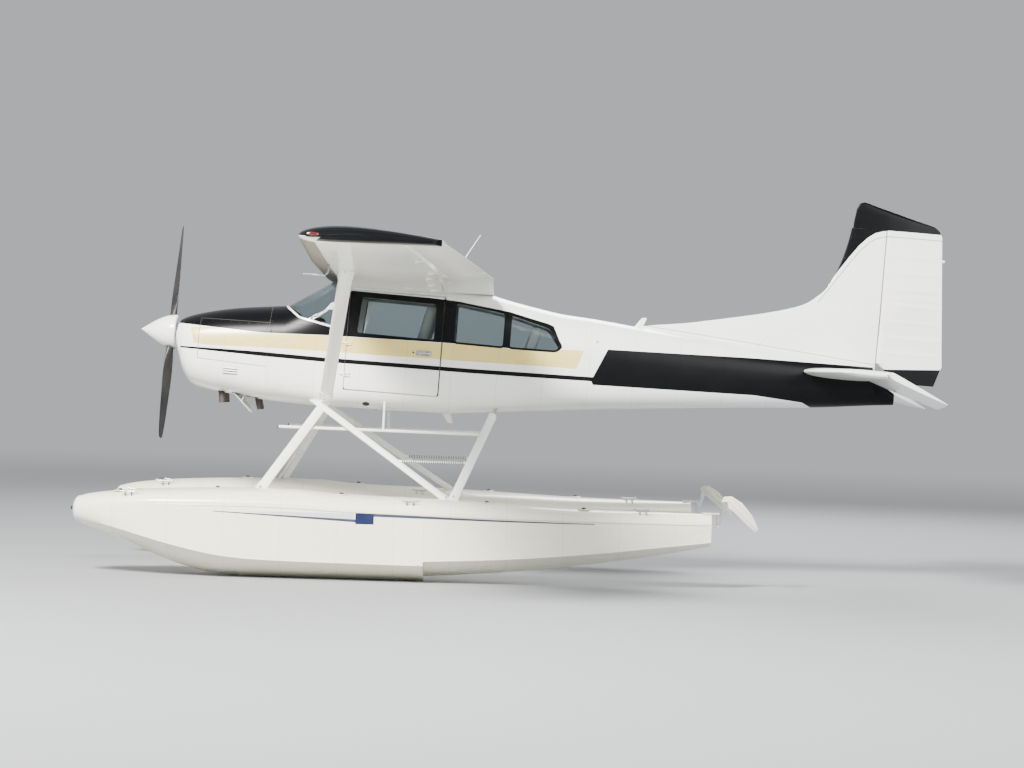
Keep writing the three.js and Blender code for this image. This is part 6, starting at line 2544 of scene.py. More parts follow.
# x, keel, chine height, chine half width, deck edge height, its half width, deck top (mm).
FLOAT_SECTIONS = [
    [-400, 520, 545, 60, 600, 75, 655],
    [-335, 460, 500, 135, 625, 152, 702],
    [-150, 390, 465, 235, 645, 250, 742],
    [100, 300, 410, 315, 657, 322, 770],
    [400, 170, 335, 362, 662, 360, 792],
    [700, 70, 265, 388, 664, 378, 806],
    [1000, 12, 210, 398, 665, 386, 815],
    [1250, 0, 185, 400, 666, 388, 820],
    [1620, 0, 175, 400, 660, 388, 820],
    [2130, 0, 170, 400, 640, 388, 784],
    [2879, 0, 165, 400, 625, 385, 767],
    [2880, 45, 205, 398, 625, 385, 767],
    [3600, 100, 240, 352, 612, 352, 742],
    [4430, 200, 310, 265, 604, 272, 712],
    [5200, 330, 400, 165, 600, 172, 702],
    [5540, 400, 440, 108, 598, 115, 698],
]


class FinSide(Surface):
    """The fin's left face over (span x share^0.5, height).

    The share of the way from the leading edge to the rudder's gap is squared, so that the grid is
    fine where the face is round, and y takes the sign of the parameter across the leading edge.
    """

    span = 1.2

    def __init__(self, tail: "Tail") -> None:
        """Keeps the tail that gives the sizes."""
        self.tail = tail

    def limits(self, z: Array) -> tuple[Array, Array]:
        """The leading edge and the rear edge at each height."""
        return self.tail.fin_at(z)[0], self.tail.rudder_axis - self.tail.nose_radius(z) - 0.006

    def at(self, outline: Sequence[Sequence[float]]) -> Array:
        """An outline of the side view, (s, z), as parameters.

        Args:
            outline: the places, (n, 2).

        Returns:
            The parameter pairs, (m, 2).
        """
        p = dense(outline, 0.02)
        front, rear = self.limits(p[:, 1])
        share = np.clip((p[:, 0] - front) / (rear - front), 0, 1)
        return np.c_[self.span * np.sqrt(share), p[:, 1]]

    def point(self, q: Array) -> Array:
        """The face's place.

        Args:
            q: the parameter pairs, (..., 2).

        Returns:
            The places, (..., 3).
        """
        front, rear = self.limits(q[..., 1])
        s = front + (rear - front) * (q[..., 0] / self.span) ** 2
        y = -self.tail.width(q[..., 1], s) * np.sign(q[..., 0])
        return np.stack([s, y, q[..., 1]], -1)


@dataclass
class Floats(Assembly):
    """Both floats with their trim, hatches, cleats and water rudders."""

    own_frame: ClassVar[Change] = staticmethod(from_keel)
    hatches: tuple = (0.05, 0.95, 2.10, 3.45, 4.35)
    cleats: tuple = (0.15, 2.75, 4.9)
    blade_pivot: tuple = (5.668, 0.800)
    # The blade's corners from its pivot.
    blade: tuple = (
        (-0.032, 0.022), (-0.010, 0.066), (0.060, 0.072), (0.160, 0.012), (0.262, -0.110),
        (0.318, -0.232), (0.296, -0.258), (0.214, -0.196), (0.096, -0.084), (0.010, -0.024),
    )
    steering_pin: float = 5.606
    middle: float = 1.350
    keel_half: float = 0.015

    def __post_init__(self) -> None:
        """Reads the sections, smooth on both sides of the step."""
        self.rows = Table(np.array(FLOAT_SECTIONS) * MM, breaks=(1.25, 2.879, 2.880))

    def ring(self, x: Array) -> Array:
        """Sections at places x: a hollowed V bottom, upright sides and a rounded deck.

        The bottom rises as v - 0.10 sin(pi v) from the keel to the chine, and the deck is the
        superellipse of power 2.4 from its edge to its crown. Near the bow the section turns into
        an ellipse about its middle.

        Args:
            x: the places.

        Returns:
            The rings, (n, columns, 3).
        """
        keel, chine, chine_half, edge, edge_half, top = (
            c[:, None] for c in np.moveaxis(self.rows.at(x), -1, 0)
        )
        v = np.linspace(0, 1, 11)[None]
        rise = np.clip(v - 0.10 * np.sin(np.pi * v), 0, 1)
        bottom = [self.keel_half + (chine_half - self.keel_half) * v, keel + (chine - keel) * rise]
        t = np.linspace(0, 1, 6)[None, 1:]
        side = [chine_half + (edge_half - chine_half) * t, chine + (edge - chine) * t]
        a = np.linspace(0, np.pi / 2, 13)[None, 1:]
        r = (np.cos(a) ** 2.4 + np.sin(a) ** 2.4) ** (-1 / 2.4)
        deck = [edge_half * r * np.cos(a), edge + (top - edge) * r * np.sin(a)]
        y = np.concatenate([bottom[0] * np.ones_like(v), side[0], deck[0]], 1)
        z = np.concatenate([bottom[1], side[1], deck[1]], 1)
        blunt = np.clip((0.35 - x) / 0.70, 0, 1)[:, None] ** 1.3
        core = (keel + top) / 2
        swing = np.arctan2((z - core) / (top - core), y / edge_half)
        y = y + (edge_half * np.cos(swing) - y) * blunt
        z = z + (core + (top - core) * np.sin(swing) - z) * blunt
        right = np.stack([np.broadcast_to(x[:, None], y.shape), y, z], -1)
        left = right[:, ::-1][:, 1:] * (1, -1, 1)
        rings = np.concatenate([right, left], 1) + (0, self.middle, 0)
        return rings

    def bow(self, ring: Array) -> Array:
        """The round bow ahead of the first station: rings that shrink as 0.04 + 0.96 sin a.

        Args:
            ring: the first station's ring.

        Returns:
            The rings, (n, columns, 3).
        """
        a = np.linspace(0, np.pi / 2, 16)[:-1, None, None]
        middle = np.array([ring[0, 0], self.middle, ring[:, 2].mean()])
        return middle + (ring[None] - middle) * (0.04 + 0.96 * np.sin(a)) - np.cos(a) * (0.065, 0, 0)

    def side_point(self, x: Array, z: Array, side: int, proud: float) -> Array:
        """Places on the float's side at given heights, standing proud by a little.

        Args:
            x: the places along the float.
            z: their heights.
            side: 1 outboard, -1 inboard.
            proud: how far from the skin.

        Returns:
            The places, (n, 3).
        """
        _, chine, chine_half, edge, edge_half, _ = np.moveaxis(self.rows.at(x), -1, 0)
        t = (z - chine) / (edge - chine)
        y = chine_half + (edge_half - chine_half) * t + proud
        return np.stack([x, self.middle + side * y, z], -1)

    def strip(self, x0: float, x1: float, low: Change, high: Change, slot: int, made: Draft) -> None:
        """A painted strip on both sides of the float, a skin's thickness proud of it.

        Args:
            x0: its front end.
            x1: its rear end.
            low: its lower edge's height over x.
            high: its upper edge's height over x.
            slot: the finish slot.
            made: the draft that gets it.
        """
        x = np.linspace(x0, x1, 60)
        for side in (1, -1):
            out = np.stack(
                [self.side_point(x, low(x), side, 0.0012), self.side_point(x, high(x), side, 0.0012)], 1
            )
            back = np.stack(
                [self.side_point(x, low(x), side, -0.004), self.side_point(x, high(x), side, -0.004)], 1
            )
            ring = np.concatenate([out, back[:, ::-1]], 1)
            made.part().loft(ring, slot=slot, cap_slot=slot)

    def build_hulls(self) -> None:
        """The float's skin in two runs that meet at the step."""
        made = Draft()
        fore = np.unique(np.r_[np.linspace(-0.335, 0.4, 30), np.linspace(0.4, 2.879, 50)])
        aft = np.linspace(2.880, 5.54, 52)
        for places in (fore, aft):
            rings = self.ring(places)
            if places is fore:
                rings = np.concatenate([self.bow(rings[0]), rings])
            sheet = np.stack([rings[..., 0], rings[..., 1] * 0.6 + rings[..., 2]], -1)
            made.part().loft(rings, places=sheet)
        self.fit_pair("float_hull_{side}", made, (FLOAT_WHITE,), replaces=["float_{side}"], sharp=32)

    def build_trim(self) -> None:
        """Chine and deck rails, keel strip, bow bumper, stripe, badge, hatches and cleats."""
        made = Draft()
        x = np.linspace(0.32, 5.52, 80)
        _, chine, chine_half, edge, edge_half, _ = np.moveaxis(self.rows.at(x), -1, 0)
        slim = np.clip((x - 0.30) / 0.45, 0.08, 1)
        for side in (1, -1):
            for height, half, radius in ((edge, edge_half, 0.006), (chine, chine_half, 0.005)):
                path = np.stack([x, self.middle + side * (half - 0.001), height], -1)
                made.part().tube(path, radius * slim, 8, 0)
        keel = self.rows.at(np.linspace(1.25, 2.87, 12))[:, 0]
        line = np.linspace(1.25, 2.87, 12)
        ring = np.stack(
            [
                np.c_[
                    np.full(4, a),
                    self.middle + np.array([-0.0148, 0.0148, 0.0148, -0.0148]),
                    k + np.array([0.0, 0.0, 0.012, 0.012]),
                ]
                for a, k in zip(line, keel)
            ]
        )
        made.part().loft(ring, slot=1, cap_slot=1)
        self.fit_pair("float_rails_{side}", made, (FLOAT_WHITE, STEEL))
        paint = Draft()
        front, middle, rear = (0.94, 2.25), (1.25, 1.7, 2.235), (2.42, 4.45)

        def line(x: Array) -> Array:
            """The height of the front stripe's middle."""
            return np.interp(x, front, [0.612, 0.560])

        def line_half(x: Array) -> Array:
            """Its half width."""
            return np.interp(x, front, [0.003, 0.013])

        def back(x: Array) -> Array:
            """The height of the rear stripe's middle."""
            return self.rows.at(x)[..., 3] - 0.018

        def back_half(x: Array) -> Array:
            """Its half width."""
            return np.interp(x, rear, [0.013, 0.004])

        self.strip(*front, lambda x: line(x) - line_half(x), lambda x: line(x) + line_half(x), 0, paint)
        self.strip(
            middle[0], middle[-1], lambda x: line(x) + 0.016,
            lambda x: np.interp(x, middle, [0.617, 0.624, 0.626]), 2, paint,
        )
        self.strip(2.25, 2.42, lambda x: 0 * x + 0.530, lambda x: 0 * x + 0.631, 1, paint)
        self.strip(*rear, lambda x: back(x) - back_half(x), lambda x: back(x) + back_half(x), 0, paint)
        self.fit_pair("float_stripes_{side}", paint, (FLOAT_STRIPE, FLOAT_BADGE, FLOAT_TINT))
        bumper = Draft()
        t = np.linspace(-1, 1, 15)
        path = np.c_[-0.402 + 0.050 * t**2, self.middle + 0.085 * t, np.full(15, 0.588)]
        bumper.tube(path, 0.021 * (1 - 0.5 * t**4), 16)
        self.fit_pair("bow_bumper_{side}", bumper, (RUBBER,))
        deck = Draft()
        for x0 in self.hatches:
            self._hatch(deck, x0)
        self.fit_pair("float_hatches_{side}", deck, (FLOAT_WHITE, RUBBER, STEEL))
        fittings = Draft()
        for x0 in self.cleats:
            for side in (1, -1):
                self._cleat(fittings, x0, side)
        self.fit_pair("float_cleats_{side}", fittings, (STEEL,))

    def deck_height(self, x: float, y: float) -> float:
        """The deck's height at a distance y from the float's middle."""
        _, _, _, edge, half, top = self.rows.at(np.array(x))
        return float(edge + (top - edge) * (1 - min(abs(y) / half, 1) ** 2.4) ** (1 / 2.4))

    def _hatch(self, made: Draft, x: float) -> None:
        """A round pump-out cap on the crown, with a rubber ball in its middle.

        Args:
            made: the draft that gets it.
            x: its place.
        """
        c = np.array([x, self.middle + 0.10, self.deck_height(x, 0.10) - 0.002])
        made.rods([c, c + (0, 0, 0.006), c + (0, 0, 0.009)], [0.060, 0.060, 0.055], 36)
        made.rods([c + (0, 0, 0.008), c + (0, 0, 0.018), c + (0, 0, 0.024)], [0.021, 0.019, 0.008], 20, 1)
        for k in range(6):
            a = k * np.pi / 3
            p = c + (0.049 * math.cos(a), 0.049 * math.sin(a), 0.009)
            made.rods([p, p + (0, 0, 0.002)], 0.0035, 8, 2)

    def _cleat(self, made: Draft, x: float, side: int) -> None:
        """A mooring cleat near the deck's edge: two feet under a bar with turned-up horns.

        Args:
            made: the draft that gets it.
            x: its place.
            side: 1 outboard, -1 inboard.
        """
        half = float(self.rows.at(np.array(x))[4])
        y = side * (half - 0.055)
        z = self.deck_height(x, y)
        base = np.array([x, self.middle + y, z])
        for d in (-0.03, 0.03):
            made.rods([base + (d, 0, -0.008), base + (d, 0, 0.028)], [0.011, 0.008], 12)
        t = np.linspace(-1, 1, 11)
        made.part().tube(
            np.c_[base[0] + 0.085 * t, np.full(11, base[1]), base[2] + 0.030 + 0.010 * t**2],
            0.008 * (1 - 0.5 * t**4),
            12,
        )

    def build_water_rudders(self) -> None:
        """The swinging blades with their stiffening ribs, and the lugs with the steering pin."""
        px, pz = self.blade_pivot
        corners = [(px + a, pz + b) for a, b in self.blade]
        outline = rounded(corners, 0.010, 6)
        made = Draft()
        rings = []
        for y, inset in ((-0.006, 0.004), (-0.003, 0.0), (0.003, 0.0), (0.006, 0.004)):
            ring = grown(outline, -inset)
            rings.append(np.c_[ring[:, 0], np.full(len(ring), self.middle + y), ring[:, 1]])
        made.grid(np.stack(rings), wrap=True)
        made.cap(rings[0])
        made.cap(rings[-1])
        for side in (1, -1):
            for (x0, z0), (x1, z1) in (((0.03, 0.03), (0.27, -0.20)), ((0.09, 0.035), (0.26, -0.13))):
                line = ((x0, z0), ((x0 + x1) / 2, (z0 + z1) / 2), (x1, z1))
                made.rods(
                    [(px + a, self.middle + side * 0.006, pz + b) for a, b in line],
                    [0.004, 0.006, 0.004],
                    10,
                )
        self.fit_pair(
            "water_rudder_plate_{side}",
            made,
            (FLOAT_WHITE,),
            body="water_rudder_blade_{side}",
            replaces=["water_rudder_blade_{side}"],
        )
        lugs = Draft()
        for z in (0.585, 0.705):
            tang = [
                (5.46, -0.05), (5.60, -0.016), (5.622, -0.016), (5.622, 0.016), (5.60, 0.016),
                (5.46, 0.05),
            ]
            plan = rounded([(x, self.middle + y) for x, y in tang], 0.008, 5)
            ring = np.stack([np.c_[plan, np.full(len(plan), z + h)] for h in (-0.006, 0.006)])
            lugs.part().loft(ring)
        for low, high, radius, sides in (
            (0.575, 0.715, 0.008, 16), (0.572, 0.580, 0.013, 6), (0.709, 0.717, 0.013, 6)
        ):
            lugs.rods([(self.steering_pin, self.middle, z) for z in (low, high)], radius, sides, 1)
        self.fit_pair("water_rudder_lugs_{side}", lugs, (FLOAT_WHITE, STEEL))


@dataclass
class FloatGear(Assembly):
    """The struts between hull and floats, the spreader bars, the wires and the steps."""

    own_frame: ClassVar[Change] = staticmethod(from_keel)
    # Places on the right side in the keel frame (mm).
    joints: dict = field(
        default_factory=lambda: {
            "frontTop": (1893, 374, 1688), "frontFoot": (1305, 1270, 775),
            "diagonalTop": (1703, 390, 1675), "diagonalFoot": (3100, 1270, 735),
            "rearTop": (3558, 245, 1735), "rearFoot": (3120, 1270, 735), "railFront": (1430, 626, 1385),
            "railRear": (3412, 578, 1362), "railMiddle": (2430, 602, 1374),
            "railPost": (2430, 450, 1700), "rungFront": (2565, 933, 1095),
            "rungRear": (3277, 901, 1095),
        }
    )
    struts: dict = field(
        default_factory=lambda: {
            "front": ("frontTop", "frontFoot", 0.095, 0.048),
            "rear": ("rearTop", "rearFoot", 0.085, 0.044),
            "diagonal": ("diagonalTop", "diagonalFoot", 0.070, 0.040),
        }
    )
    spreaders: tuple = (1.305, 3.095)
    # A spreader's half length and height, and where its sleeves start and end.
    spreader_half: float = 1.10
    spreader_height: float = 0.690
    sleeve: tuple = (0.94, 1.06)

    def at(self, name: str) -> Array:
        """A joint's place in metres."""
        return np.array(self.joints[name]) * MM

    def build_struts(self) -> None:
        """The front, rear and diagonal struts with a sleeve and a pin at the foot."""
        for name, (top, foot, chord, thick) in self.struts.items():
            a, b = self.at(top), self.at(foot)
            run = unit(b - a)
            made = Draft()
            start = a + run * 0.30 if name == "rear" else a
            made.bar(start, b - run * 0.03, chord, thick, AFT)
            if name == "rear":
                turn = np.linspace(0, np.pi, 15)
                ball = start[None] - run * 0.036 * np.cos(turn)[:, None]
                made.part().tube(ball, 0.040 * np.sin(turn) + 0.0006, 24)
                made.rods([a + run * 0.06, start], 0.015, 16, 1)
                made.rods([a + run * 0.10, a + run * 0.17], 0.027, 20, 1)
            made.part().bar(b - run * 0.12, b - run * 0.01, chord * 1.12, thick * 1.25, AFT)
            side = unit(np.cross(run, AFT))
            made.rods([b - run * 0.05 - side * 0.036, b - run * 0.05 + side * 0.036], 0.009, 10, 1)
            self.fit_pair(
                name + "_float_strut_faired_{side}",
                made,
                (SMOOTH_WHITE, STEEL),
                replaces=[name + "_float_strut_{side}"],
            )

    def build_steps(self) -> None:
        """The step rails with their posts, and the rungs on the diagonal struts."""
        steps = Draft()
        rail = np.array([self.at("railFront"), self.at("railMiddle"), self.at("railRear")])
        run = np.concatenate([np.linspace(rail[0], rail[1], 8), np.linspace(rail[1], rail[2], 8)[1:]])
        steps.tube(run, 0.015, 16)
        for end, by in ((rail[0], -1), (rail[-1], 1)):
            steps.rods(
                [end, end + (by * 0.010, 0, 0), end + (by * 0.014, 0, 0)],
                [0.0155, 0.0155, 0.008],
                16,
                1,
            )
        steps.rods([self.at("railMiddle"), self.at("railPost")], 0.011, 14)
        steps.rods([self.at("rungFront"), self.at("rungRear")], 0.013, 14)
        front, rung = self.at("rungFront"), self.at("rungRear") - self.at("rungFront")
        for k in np.linspace(0.1, 0.9, 34):
            c, d = front + rung * k, unit(rung) * 0.004
            steps.rods([c - d, c + d], 0.0142, 12, 1)
        self.fit_pair("boarding_steps_{side}", steps, (SMOOTH_WHITE, RUBBER), replaces=["step_rail_{side}"])

    def build_spreaders(self) -> None:
        """The two bars between the floats, with a sleeve at each end."""
        half, z = self.spreader_half, self.spreader_height
        for x, name in zip(self.spreaders, ("front", "rear")):
            made = Draft()
            made.bar((x, -half, z), (x, half, z), 0.090, 0.042, AFT)
            for side in (1, -1):
                near, far = (side * y for y in self.sleeve)
                made.part().bar((x, near, z), (x, far, z), 0.102, 0.054, AFT)
            self.fit(name + "_spreader_faired", made, (SMOOTH_WHITE,), replaces=[name + "_spreader_bar"])

    def build_wires(self) -> None:
        """The crossed bracing wires with their end fittings."""
        wires = Draft()
        for top, foot in (("frontTop", "frontFoot"), ("rearTop", "rearFoot")):
            a, b = self.at(top), self.at(foot)
            low = b * (1, -1, 1) + (0, 0.02, 0.02)
            high = a + (0, -0.02, -0.03)
            run = unit(low - high)
            wires.rods([high, low], 0.004, 8)
            for p, d in ((high, run), (low, -run)):
                wires.rods([p, p + d * 0.02, p + d * 0.10, p + d * 0.12], [0.006, 0.009, 0.009, 0.005], 10)
        self.fit_pair("bracing_wires_{side}", wires, (STEEL,))


@dataclass
class Cabin(Assembly):
    """The seats, bench, instrument panel and control wheels."""

    seams: float = 0.006
    swell: float = 0.022
    voxel: float = 0.009
    base: tuple = ((2.29, -0.11), (2.76, -0.13), (2.76, -0.01), (2.70, 0.005), (2.30, 0.02))
    back: tuple = ((2.70, 0.0), (2.785, -0.01), (2.905, 0.40), (2.905, 0.44), (2.83, 0.455), (2.80, 0.44))
    bench_base: tuple = ((3.33, -0.15), (3.79, -0.17), (3.79, -0.05), (3.34, -0.025))
    bench_back: tuple = ((3.735, -0.05), (3.81, -0.06), (3.905, 0.25), (3.90, 0.33), (3.835, 0.33))
    frames: int = 20
    # Front, rear, bottom and top of the instrument board.
    board: tuple = (1.690, 1.735, -0.070, 0.238)
    wheel_at: tuple = (1.93, 0.255, 0.108)

    def cushion(
        self, outline: Sequence[Sequence[float]], y0: float, y1: float, crown: float, channels: int = 4
    ) -> Draft:
        """A crowned pad on an outline of the side view: its sides pull in between the corners.

        Each ring across is the outline grown by crown sqrt(1 - t^2), with t
        from -1 at one side to 1 at the other.

        Args:
            outline: the pad's side view.
            y0: its near side.
            y1: its far side.
            crown: how far the middle stands out.
            channels: the number of strips; not used.

        Returns:
            The pad.
        """
        line = dense(rounded(outline, 0.03, 6), 0.012)
        t = np.linspace(-1, 1, 61)
        made = Draft()
        rings = []
        for k in t:
            puff = crown * math.sqrt(max(1 - k**6, 0)) - crown - 0.010 * k**16
            groove = 0.004 * abs(
                math.cos(math.pi * channels * (k + 1) / 2)
            ) ** 24 if abs(k) < 0.97 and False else 0
            ring = grown(line, puff - groove)
            rings.append(np.c_[ring[:, 0], np.full(len(ring), (y0 + y1) / 2 + k * (y1 - y0) / 2), ring[:, 1]])
        made.loft(np.stack(rings)[::-1])
        return made

    def fill(self, piece: bpy.types.Object, y0: float, y1: float, channels: int) -> None:
        """Fills a pad as cloth under pressure, then sews its channels and softens it.

        A point moves swell metres at the most. A channel draws the cloth in by
        seams exp(-(dy / 6 mm)^2) along its normal, dy being the distance to the channel's line.

        Args:
            piece: the pad, whose mesh gets the filled shape.
            y0: its near side.
            y1: its far side.
            channels: the number of strips between the sewn lines.
        """
        scene = bpy.context.scene
        mesher = piece.modifiers.new("even_mesh", "REMESH")
        mesher.mode, mesher.voxel_size = "VOXEL", self.voxel
        even = bpy.data.meshes.new_from_object(piece.evaluated_get(bpy.context.evaluated_depsgraph_get()))
        piece.modifiers.remove(mesher)
        piece.data = even
        start = self._corners(even)
        cloth = piece.modifiers.new("filling", "CLOTH")
        cloth.settings.use_pressure = True
        cloth.settings.uniform_pressure_force = 3.0
        cloth.settings.effector_weights.gravity = 0.0
        cloth.settings.quality = 4
        cloth.point_cache.frame_start, cloth.point_cache.frame_end = 1, self.frames
        for number in range(1, self.frames + 1):
            scene.frame_set(number)
        full = self._corners(piece.evaluated_get(bpy.context.evaluated_depsgraph_get()).data)
        piece.modifiers.remove(cloth)
        scene.frame_set(1)
        move = full - start
        far = np.linalg.norm(move, axis=1)[:, None]
        place = start + move * np.tanh(far / self.swell) * self.swell / np.maximum(far, 1e-9)
        even.vertices.foreach_set("co", place.ravel())
        even.update()
        settle = piece.modifiers.new("settle", "SMOOTH")
        settle.factor, settle.iterations = 0.6, 14
        place = self._corners(piece.evaluated_get(bpy.context.evaluated_depsgraph_get()).data)
        piece.modifiers.remove(settle)
        even.vertices.foreach_set("co", place.ravel())
        even.update()
        normal = np.empty(len(place) * 3)
        even.vertex_normals.foreach_get("vector", normal)
        for line in np.linspace(y0, y1, channels + 1)[1:-1]:
            depth = self.seams * np.exp(-(((place[:, 1] - line) / 0.006) ** 2))
            place -= normal.reshape(-1, 3) * depth[:, None]
        even.vertices.foreach_set("co", place.ravel())
        even.shade_smooth()
        soft = piece.modifiers.new("soft", "SUBSURF")
        soft.levels = soft.render_levels = 1
        LOG.info("%s filled: %d points, %.1f mm at the most", piece.name, len(place), far.max() * 1000)

    @staticmethod
    def _corners(mesh: bpy.types.Mesh) -> Array:
        """A mesh's points, a row each.

        Args:
            mesh: the mesh.

        Returns:
            The points, (n, 3).
        """
        flat = np.empty(len(mesh.vertices) * 3)
        mesh.vertices.foreach_get("co", flat)
        return flat.reshape(-1, 3)

    def pad(
        self, name: str, outline: Sequence[Sequence[float]], y0: float, y1: float, channels: int,
        nodes: Sequence[str],
    ) -> bpy.types.Object:
        """A filled pad of cloth; it starts slim, because the filling swells it.

        Args:
            name: the piece's name.
            outline: its side view.
            y0: its near side.
            y1: its far side.
            channels: the number of strips.
            nodes: the CAD nodes that it stands for.

        Returns:
            The piece.
        """
        slim = 0.014
        draft = self.cushion(grown(dense(outline, 0.02), -slim), y0 + slim, y1 - slim, 0.012, channels)
        piece = self.fit(name, draft, (CLOTH,), replaces=nodes, sharp=60)
        self.fill(piece, y0, y1, channels)
        return piece

    def pad_copy(self, pad: bpy.types.Object, name: str, nodes: Sequence[str]) -> None:
        """The same pad on the other side, as a mirrored mesh.

        Args:
            pad: the right-hand pad.
            name: the left one's name.
            nodes: the CAD nodes that it stands for.
        """
        twin = bpy.data.objects.new(name, pad.data.copy())
        for old in pad.modifiers:
            soft = twin.modifiers.new(old.name, "SUBSURF")
            soft.levels = soft.render_levels = old.render_levels
        place = self._corners(twin.data) * (1, -1, 1)
        twin.data.vertices.foreach_set("co", place.ravel())
        twin.data.flip_normals()
        bpy.context.scene.collection.objects.link(twin)
        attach(twin, "airframe")
        if nodes:
            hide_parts(*nodes)

    def build_seats(self) -> None:
        """The front seats and the bench behind them, each base and back a pad of its own."""
        for name, outline, y0, y1 in (
            ("cushion", self.base, 0.055, 0.465), ("backrest", self.back, 0.068, 0.452)
        ):
            nodes = "front_seat_{}" if name == "cushion" else ""
            right = self.pad(
                f"front_seat_{name}_right", outline, y0, y1, 4, [nodes.format("right")] if nodes else []
            )
            self.pad_copy(right, f"front_seat_{name}_left", [nodes.format("left")] if nodes else [])
        legs = Draft()
        for s in (2.36, 2.70):
            for y in (0.11, 0.41):
                legs.rods([(s, y, -0.432), (s, y, -0.10)], 0.012, 12)
        for y in (0.11, 0.41):
            legs.part().box((2.32, y - 0.014, -0.432), (2.74, y + 0.014, -0.418))
        self.fit_pair("seat_frame_{side}", legs, (BARE,))
        self.pad("bench_cushion", self.bench_base, -0.42, 0.42, 6, ["rear_bench"])
        self.pad("bench_backrest", self.bench_back, -0.39, 0.39, 6, [])
        feet = Draft()
        for y in (0.36, -0.36):
            feet.part().box((3.36, y - 0.015, -0.425), (3.76, y + 0.015, -0.14))
        self.fit("bench_frame", feet, (BARE,))

    def build_panel(self) -> None:
        """The board with a hood, dials with plain marks, radios and two control wheels."""
        made = Draft()
        s0, s1, low, high = self.board
        w = np.linspace(low, high, 24)
        y = HULL.edge(np.full(24, s1), w, 0.045)
        board = np.concatenate([np.c_[y, w], np.c_[-y, w][::-1]])
        made.loft(np.stack([np.c_[np.full(48, s), board] for s in (s0, s1)]))
        hood = np.linspace(-1, 1, 30)
        edge = float(y[-1])
        ring = np.stack(
            [
                np.c_[np.full(30, s), edge * hood, 0.240 + lift - 0.02 * hood**4]
                for s, lift in (
                    (1.62, 0.0), (1.70, 0.012), (1.76, 0.012), (1.765, 0.004), (1.70, 0.0),
                    (1.62, -0.01),
                )
            ]
        )
        made.part().loft(ring.transpose(1, 0, 2), slot=0)
        turn = around(32)
        for row, z in enumerate((0.165, 0.075)):
            for k in range(6):
                y0 = -0.40 + 0.095 * k
                face = np.c_[np.full(32, s1 + 0.004), y0 + 0.036 * np.cos(turn), z + 0.036 * np.sin(turn)]
                made.part().tube(face, 0.0035, 8, 0, closed=True)
                made.part().loft(np.stack([face - (0.004, 0, 0), face]), slot=1, cap_slot=1)
                for m in range(12):
                    c, t = math.cos(m * math.pi / 6), math.sin(m * math.pi / 6)
                    made.rods([(s1 + 0.005, y0 + r * c, z + r * t) for r in (0.030, 0.025)], 0.0009, 4, 2)
                a = 0.7 * k + row
                made.rods(
                    [
                        (s1 + 0.0055, y0, z),
                        (s1 + 0.0055, y0 + 0.024 * math.cos(a), z + 0.024 * math.sin(a)),
                    ],
                    0.0012,
                    4,
                    2,
                )
        for k in range(4):
            made.part().box((s1, 0.17, 0.02 + 0.05 * k), (s1 + 0.012, 0.36, 0.06 + 0.05 * k))
        for side in (1, -1):
            y0, z0 = side * self.wheel_at[1], self.wheel_at[2]
            a = np.linspace(-2.1, 2.1, 40) - math.pi / 2
            wheel = np.c_[np.full(40, 1.93), y0 + 0.118 * 0.98 * np.cos(a), z0 - 0.085 * np.sin(a)]
            made.part().tube(wheel, 0.011, 14, 0)
            made.rods([(s1, y0, z0), (1.925, y0, z0)], 0.012, 14, 3)
            made.rods(
                [(1.93, y0 - 0.10, z0 - 0.03), (1.93, y0, z0), (1.93, y0 + 0.10, z0 - 0.03)],
                0.010,
                12,
                0,
            )
            made.rods([(1.915, y0, z0), (1.945, y0, z0)], 0.026, 20, 0)
        self.fit("instrument_board", made, (PLASTIC, DIAL, MARKS, STEEL), replaces=["instrument_panel"])


